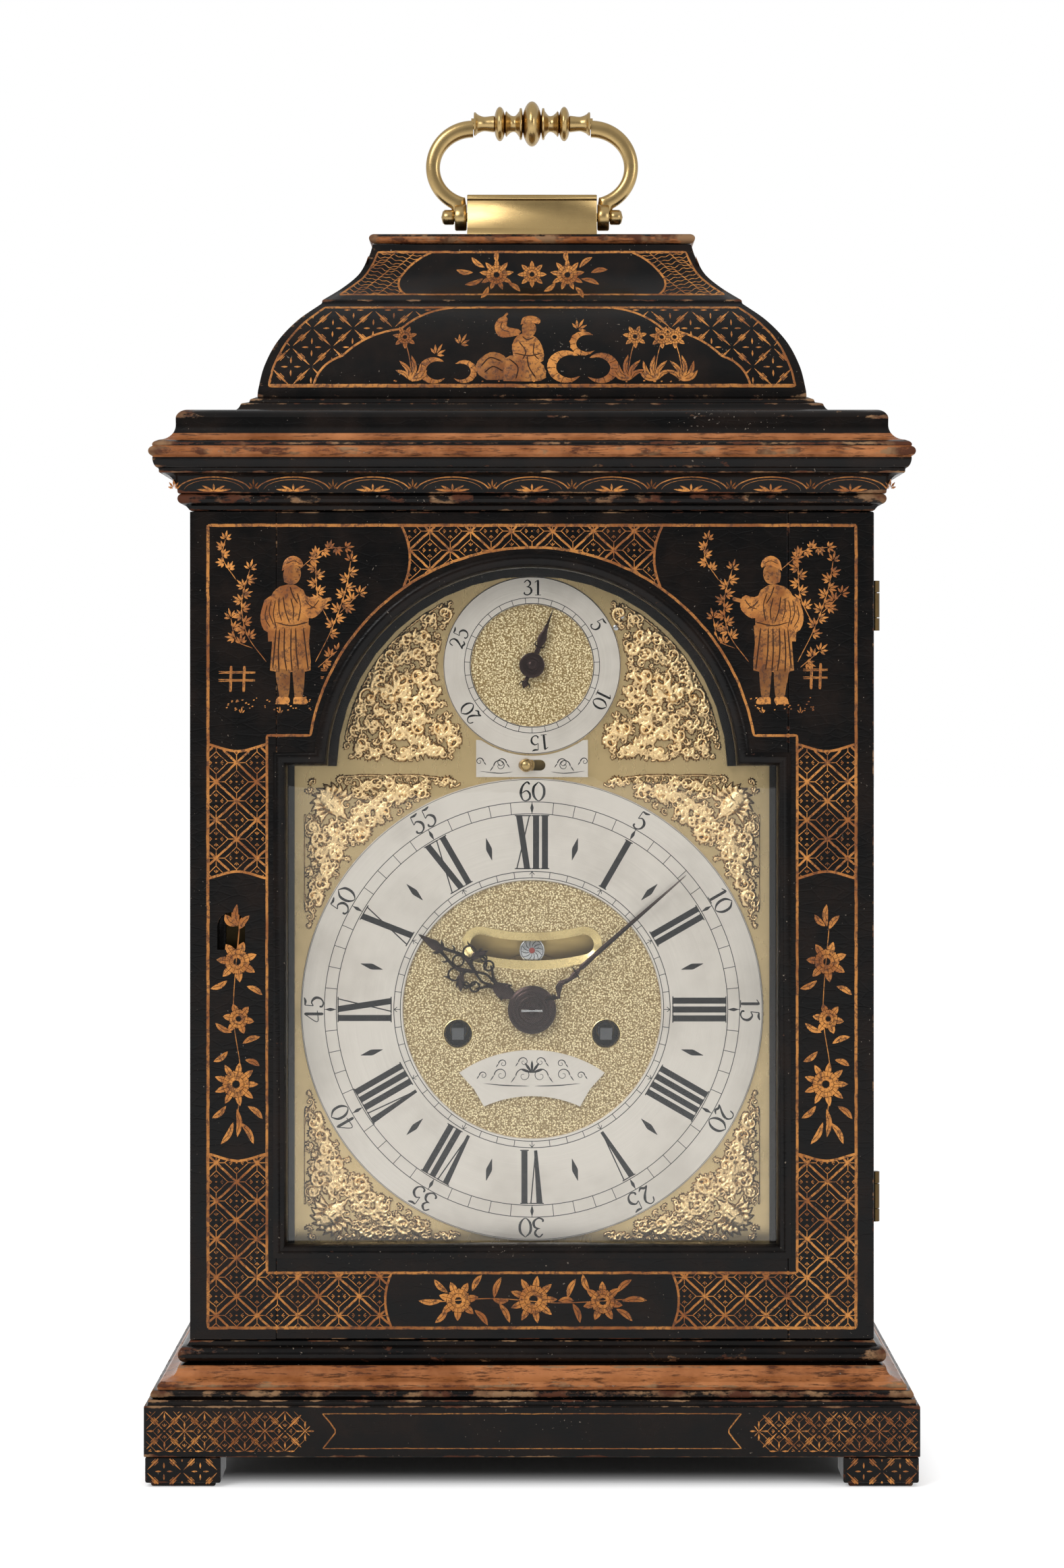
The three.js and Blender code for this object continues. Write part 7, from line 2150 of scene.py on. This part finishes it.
corner.keep(lambda u, v: v < 85.8)
corner.cast("spandrel_lower", [(-1, -1, DIAL_Z), (1, -1, DIAL_Z)], DIAL_FRONT)

# %% [markdown]
# The spandrels of the arch grow from its lower corner and fill the space between the two circles of the
# arch and the date ring.

# %% Arch spandrels
arch_casting = Casting((24, 2), (72, 72))
for stem, size in ((((36, 8), (45, 13), (55, 20), (60, 30)), 3.6),
                   (((60, 30), (57, 42), (49, 52), (38, 60)), 3.0),
                   (((34, 9), (44, 6), (56, 7), (66, 10)), 3.0)):
    arch_casting.acanthus(stem, size, 2.0, 1.35)
for spot, r, start, turns, way in (((48, 20), 4.4, 200, 1.3, 1), ((57, 36), 3.8, 20, 1.2, -1),
                                   ((50, 42), 3.0, 120, 1.2, 1),
                                   ((44.5, 13.4), 2.6, 300, 1.1, -1), ((62, 18), 3.4, 90, 1.2, -1),
                                   ((53, 49), 2.2, 30, 1.1, 1),
                                   ((40, 56.5), 2.4, 210, 1.1, -1), ((61, 26.5), 2.2, 160, 1.0, 1),
                                   ((35, 61.6), 1.7, 40, 1.0, 1)):
    arch_casting.scroll(spot, r, start, turns, way, 1.25, 1.35)
arch_casting.leaf((52, 27), (46, 33.5), 3.0, 1.8)
arch_casting.leaf((52, 28), (52.5, 36), 3.0, 1.9)
arch_casting.leaf((53, 27), (60, 31), 2.8, 1.7)
arch_casting.bead((52.2, 27.2), 2.0, 2.2)
arch_casting.ridge(arc((0, 0), (70.4, 70.4), 10, 60, 30), 0.9, 0.9, curved=False)


def arch_region(u, v):
    """Space of an arch spandrel between the arch and the date ring."""
    turn = np.degrees(np.arctan2(v, u))
    return (np.hypot(u, v) < 71) & (np.hypot(u,
                                             v + ARCH_CENTRE - DATE_Z) > 34.6) & (turn < 66) & (v > 3.6) & (u > 26)


arch_casting.scatter(arch_region, (26, 4), (72, 72), 11, (2.4, 4.2))
arch_casting.scatter(arch_region, (26, 4), (72, 72), 13, (1.1, 1.9))
arch_casting.keep(arch_region)
arch_casting.cast("arch_spandrel", [(-1, 1, ARCH_CENTRE), (1, 1, ARCH_CENTRE)], DIAL_FRONT)

# %% [markdown]
# ## Hands
# The hands are filed from thin steel. Their bars are ridges like the painted strokes, only thicker; each
# hand is drawn upright and then turned clockwise about its centre.

# %% Hands
def hand(name, sheet, centre, degrees, y, thickness, body, replaces):
    """Lays a drawing of bars in the plane of the hand, turned clockwise from twelve."""
    t = math.radians(degrees)

    def surface(u, v, height):
        x = u * math.cos(t) + v * math.sin(t)
        z = v * math.cos(t) - u * math.sin(t)
        return np.column_stack([centre[0] + x, y - height, centre[1] + z])

    return sheet.lay(name, surface, body, replaces, BLUED, "blued", thickness)


def steel_ring(sheet, centre, radius, width=0.62):
    sheet.brush(arc(centre, (radius, radius), 0, 360, 40), width, ends=1, curved=False)


class Bars(Painting):
    """Filed bars: every stroke a little bolder than it is drawn."""

    GAIN = 1.3

    def brush(self, path, width, *rest, **more):
        """As a painting's stroke, but wider by the gain."""
        super().brush(path, np.array(width) * self.GAIN, *rest, **more)


# %% [markdown]
# The hour hand is a cross of curls with a ring at its middle, its two sides mirror images. The minute hand
# is a thin blade on a curled root.

# %% Hands drawn upright
hour = Bars(41)
hour.brush([(0, 8), (0.2, 9.6), (0, 11.6), (-0.2, 14), (0, 17.2)], [1.6, 3.4, 5.0, 3.6, 1.8], ends=1)
for side in (-1, 1):
    def bar(widths, *path):
        hour.brush(mirrored(path, side), widths)

    bar([1.6, 1.1, 0.2], (1.2, 12.6), (2.4, 12.2), (3.6, 11.2))
    bar([1.3, 0.9, 0.7, 0.6], (0.5, 16), (2.0, 18.6), (4.0, 20.4), (5.2, 22.0))
    steel_ring(hour, (side * 4.7, 22.4), 1.85)
    hook = arc((side * 3.4, 25.9), (2.9, 2.9), 90 - side * 200, 90 + side * 90, 24)
    hour.brush(hook, [0.5, 0.7, 0.9, 0.6], curved=False)
    steel_ring(hour, (side * 6.0, 25.5), 1.2, 0.5)
    bar([0.9, 2.4, 1.7, 0.2], (3.0, 28.9), (5.4, 28.4), (7.4, 26.8), (9.2, 25.7))
    bar([1.2, 0.8, 0.1], (6.2, 28.2), (7.6, 28.4), (8.8, 27.6))
    steel_ring(hour, (side * 5.0, 31.2), 2.35, 0.6)
    bar([0.8, 0.5, 0.1], (7.2, 32), (7.4, 33.4), (8.2, 34.2))
    bar([0.8, 0.7, 0.7, 1.1, 1.3, 0.9, 0.9, 1.0], (0.4, 17), (1.6, 21), (0.2, 25), (-1.4, 28.4),
        (-2.6, 31.6),
        (-2.2, 34.8), (-1.2, 38.4), (-0.4, 42))
    bar([1.2, 0.9, 0.1], (0.6, 40.4), (1.8, 41.2), (3.0, 42.6))
    bar([0.9, 0.6, 0.1], (1.8, 36), (3.2, 36.8), (3.6, 38.2))
steel_ring(hour, (0, 32.9), 2.1, 0.55)
hour.brush([(0, 39.5), (0, 42.4), (0, 45.4), (0, 50.7)], [1.0, 3.0, 1.6, 0.2], curved=False)
HOUR_Y, MINUTE_Y = -59.53, -61.73
hand("hour_hand_bars", hour, (0, DIAL_Z), 303.6, HOUR_Y + 0.1, 3.6, "hour_hand", ["hour_hand"])

minute = Painting(43)
minute.brush([(0, 6), (0.9, 8.2), (2.6, 9.6), (2.9, 11.0), (1.2, 11.9), (0.2, 13.0), (-0.5, 14.8),
              (0.2, 16.4), (0.6, 18), (0.6, 20.2),
              (0.3, 22), (0.2, 24)], [2.0, 1.8, 1.4, 1.3, 1.6, 2.6, 2.2, 1.6, 1.5, 2.4, 1.9, 1.6])
minute.brush([(1.8, 10.2), (0.8, 9.4), (0.4, 10.2)], [0.9, 0.6, 0.2])
minute.brush([(-2.4, 21.8), (0.2, 21.4), (2.8, 21.0)], [0.3, 1.0, 0.3], curved=False)
minute.brush([(0.2, 23), (0, 34), (0, 56), (0, 76)], [2.0, 1.7, 1.15, 0.4], curved=False)
hand("minute_hand_bars", minute, (0, DIAL_Z), 48.8, MINUTE_Y + 0.1, 4.2, "minute_hand", ["minute_hand"])

date = Painting(47)
date.brush([(0, 4), (0, 7.2), (0, 10), (0, 13.6), (0, 17)], [2.4, 1.6, 3.6, 1.8, 1.0])
date.brush([(0, 16), (0, 22.4)], [1.1, 0.2], curved=False)
date.brush([(0, -4), (0, -6.4), (0, -8.0), (0, -9.2)], [1.6, 1.4, 2.6, 0.3])
for side in (-1, 1):
    date.brush([(0, 7), (side * 1.8, 7.8), (side * 1.4, 9.2)], [0.8, 0.6, 0.2])
    date.brush([(0, -6.6), (side * 1.7, -7.2), (side * 1.9, -8.6)], [0.8, 0.6, 0.2])
hand("date_hand_bars", date, (0, DATE_Z), 20.7, HOUR_Y + 0.1, 3.6, "date_hand", ["date_hand"])

# %% [markdown]
# Bosses, pipes and the collet are turned. The pin through the collet is a short swept bar, and the same
# sweep makes the straps of the handle.

# %% Bosses, collet and pin
boss = [[3.2, HOUR_Y + 0.4], [8.7, HOUR_Y + 0.4], [9.0, HOUR_Y], [8.9, HOUR_Y - 0.5], [8.1, HOUR_Y - 0.9],
        [7.3, HOUR_Y - 0.75],
        [6.9, HOUR_Y - 1.0], [3.2, HOUR_Y - 1.0]]
lathed_y("hour_boss", boss, (0, DIAL_Z), BLUED, "hour_hand", segments=96)
for name, outer, inner, y0, y1, body, finish, slot in (
        ("hour_pipe", 4.4, 3.0, HOUR_Y, -41.0, "hour_hand", MOVEMENT_BRASS, "brass"),
        ("hour_wheel", 19.8, 3.2, -44.0, -42.4, "hour_hand", MOVEMENT_BRASS, "brass"),
        ("minute_boss", 6.2, 2.7, MINUTE_Y - 0.55, MINUTE_Y + 0.4, "minute_hand", BLUED, "blued")):
    tube = [[inner, y0], [outer - 0.2, y0], [outer, y0 + 0.2], [outer, y1], [inner, y1]]
    lathed_y(name, tube, (0, DIAL_Z), finish, body)
hub = [[0.01, -60.3], [1.0, -60.3], [1.5, -60.0], [2.2, -60.1], [2.6, -59.8], [4.0, -60.0], [4.7, -59.7],
       [4.7, -59.1], [2.0, -59.1], [2.0, -54.6], [4.2, -54.6], [4.2, -53.6], [0.01, -53.6]]
lathed_y("date_hub", hub, (0, DATE_Z), BLUED, "date_hand")
collet = [[0.01, -65.0], [1.0, -65.0], [1.3, -64.6], [1.3, -64.2], [2.4, -64.5], [3.3, -64.35],
          [3.6, -63.9],
          [3.4, -63.5], [4.6, -63.3], [5.0, -62.9], [4.8, -62.5], [5.2, -62.3], [5.2, -61.9], [0.01, -61.9]]
lathed_y("collet_turned", collet, (0, DIAL_Z), BLUED, "minute_hand", ["hand_collet"])
knob = [[0.01, -62.7], [0.9, -62.65], [1.7, -62.2], [2.3, -61.4], [2.5, -60.6], [2.2, -59.8], [1.7, -59.0],
        [1.5, -58.4], [1.5, -54.6], [3.2, -54.6], [3.2, -53.8], [0.01, -53.8]]
lathed_y("lever_knob", knob, (-2.2, 261.8), HANDLE_BRASS, "strike_slide", ["strike_lever"], 48)


def swept(name, path, frames, section, material, body, replaces=(), sharp=40):
    """A bar along a path: each frame gives the two directions of the section; the ends are capped."""
    section = np.asarray(section, float)
    rows = [p + section[:, :1] * scale[0] * a + section[:, 1:] * scale[1] * b
            for p, (a, b, scale) in zip(np.asarray(path, float), frames)]
    points, n, k = np.vstack(rows), len(rows), len(section)
    faces = facing_out(points, grid_quads(n, k, False, True))
    ends = [np.arange(k)[None, ::-1], (n - 1) * k + np.arange(k)[None]]
    first = np.asarray(faces)[0]
    if (first[0] + 1) % k != first[1] % k or first[1] >= k:
        ends = [end[:, ::-1] for end in ends]
    return piece(name, points, [faces, *ends], [material], body, replaces, sharp=sharp)


round_section = arc((0, 0), (1, 1), 0, 345, 23)
pin_path = [(x, -64.55, DIAL_Z) for x in (-4, -3.9, 3.9, 4)]
pin_frames = [(np.array([0, 1, 0]), np.array([0, 0, 1]), (r, r)) for r in (0.3, 0.55, 0.5, 0.3)]
swept("collet_pin", pin_path, pin_frames, round_section, STEEL, "minute_hand")

# %% [markdown]
# ## Handle
# The grip is turned, so its profile is spun; the strap is a flattened bar swept round the bow of the
# handle, and the bracket is drawn out along X from its section.

# %% Handle
def lathed_x(name, profile, z, body, replaces=(), segments=72):
    """A turned part on an axis along X: the profile is [x, radius], closed."""
    t = np.linspace(0, 2 * math.pi, segments, endpoint=False)
    rows = [np.column_stack([np.full(segments, x), r * np.sin(t), z + r * np.cos(t)]) for x, r in profile]
    return ring_piece(name, rows, HANDLE_BRASS, body, replaces, sharp=50)


half_grip = np.vstack([arc((0, 0), (3.8, 8.65), 90, 22, 10),
                       [(3.9, 5.9), (4.1, 6.1), (4.6, 6.1), (4.8, 5.8)],
                       spline(np.array([(4.9, 5.0), (6.4, 3.2), (8.0, 3.25), (9.4, 4.4)]), 5),
                       [(9.8, 5.0), (10.2, 4.6)],
                       arc((12.4, 0), (2.3, 6.6), 150, 25, 14),
                       spline(np.array([(14.7, 3.2), (16.2, 3.0), (18.6, 2.8), (20.6, 3.5), (21.6, 4.3)]),
                              5),
                       [(22.0, 4.6), (22.4, 4.3), (22.4, 2.5)]])
grip = np.vstack([half_grip[::-1] * [-1, 1], half_grip[1:]])
lathed_x("grip_turned", grip, 508.2, "bail", ["handle_grip"])

outer = arc((22.7, 491.5), (18.2, 18.0), 90, -62, 48)
inner_arc = arc((22.7, 491.2), (12.8, 11.8), 90, -76, 48)
flat_round = np.sign(round_section) * np.abs(round_section) ** 0.75
for side in (-1, 1):
    path, frames = [], []
    for a, b in zip(outer, inner_arc):
        across = (a - b) / 2
        size = np.linalg.norm(across)
        path.append((side * (a + b)[0] / 2, 0, (a + b)[1] / 2))
        frames.append((np.array([side * across[0], 0, across[1]]) / size, np.array([0, 1, 0]), (size, 2.7)))
    for t in (0.3, 0.6, 1.0):
        across = np.array([side * across[0] / size, 0,
                           across[1] / size]) * (1 - t) + np.array([side, 0, 0]) * t
        across /= np.linalg.norm(across)
        path.append((side * (28.5 - 1.05 * t), 0, 477.7 - 4.7 * t))
        frames.append((across, np.array([0, 1, 0]), (3.3 - t, 2.7)))
        across, size = np.array([side * across[0], across[2]]), 1
    swept(f"strap_{'right' if side > 0 else 'left'}", path, frames, flat_round, HANDLE_BRASS, "bail",
          ["handle_bail"] if side > 0 else ())
    eye = np.array([(25.2, 1.95), (25.2, 4.8), (25.6, 5.2), (29.3, 5.2), (29.7, 4.8),
                    (29.7, 1.95)]) * [side, 1]
    lathed_x(f"bail_eye_{side + 1}", eye, 472.2, "bail")
    screw = np.array([(21.9, 0.01), (21.9, 1.7), (30.0, 1.7), (30.0, 2.5), (30.4, 2.9), (33.6, 2.9),
                      (34.4, 2.3), (35.0, 0.01)])
    lathed_x(f"bracket_screw_{side + 1}", screw * [side, 1], 472.2, "case", ["handle_bracket"] if side > 0
             else (), 32)
lathed_x("grip_core", [(-23.4, 0.01), (-23.4, 2.2), (23.4, 2.2), (23.4, 0.01)], 508.2, "bail", segments=24)

bracket = np.vstack([[(-8.8, CAP_TOP), (8.8, CAP_TOP), (8.7, 464.9)],
                     [(7.4, 466.9), (7.0, 467.5), (7.0, 477.8)], arc((6.6, 479), (1.15, 1.15), -60, 90, 8),
                     arc((-6.6, 479), (1.15, 1.15), 90, 240, 8),
                     [(-7.0, 477.8), (-7.0, 467.5), (-7.4, 466.9), (-8.7, 464.9)]])
middle = bracket.mean(0)
points = []
for x, share in ((-24.9, 0.97), (-24.6, 1), (24.6, 1), (24.9, 0.97)):
    points.append(np.insert(middle + (bracket - middle) * share, 0, x, axis=1))
points = np.vstack(points)
faces = facing_out(points, grid_quads(4, len(bracket), False, True))
count = len(bracket)
caps = [np.arange(count)[None], 3 * count + np.arange(count)[None, ::-1]]
piece("bracket_body", points, [faces, *caps], [HANDLE_BRASS], "case", sharp=35)

# %% [markdown]
# ## What comes straight from the CAD
# The movement, the hinges and the lock keep their imported shapes and only get a finish. A node that a piece
# has replaced is hidden from the render and skipped here, so it keeps its imported finish.

# %% Carried-over CAD nodes and the last lines
finishes = (
    # The lock case is near black: painted shade inside the keyhole.
    (LACQUER, "mask_board"), (OAK, "seat_board"), (SHADE_BRASS, "lock_case"),
    (STEEL, "lock_bolt bell_hammer hand_collet"),
    (DARK_BRASS, "case_hinge_lower case_hinge_upper door_hinge_lower door_hinge_upper"),
    (BELL_METAL, "bell"),
    (HANDLE_BRASS, "back_catch handle_bracket handle_bail handle_grip"), (PENDULUM, "verge_pendulum"),
    (FUSEE, "going_fusee strike_fusee"),
    (SILVERED, "chapter_ring date_ring strike_silent_plate name_plaque"),
    (BLUED, "hour_hand minute_hand date_hand"), (GILT, "dial_plate"),
)
plain = {node: finish for finish, nodes in finishes for node in nodes.split()}
for node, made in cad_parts.items():
    if made.hide_render or "glass" in node:
        continue
    made.data.materials.clear()
    made.data.materials.append(plain.get(node, MOVEMENT_BRASS))

print("carried over:", len(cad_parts), "nodes")
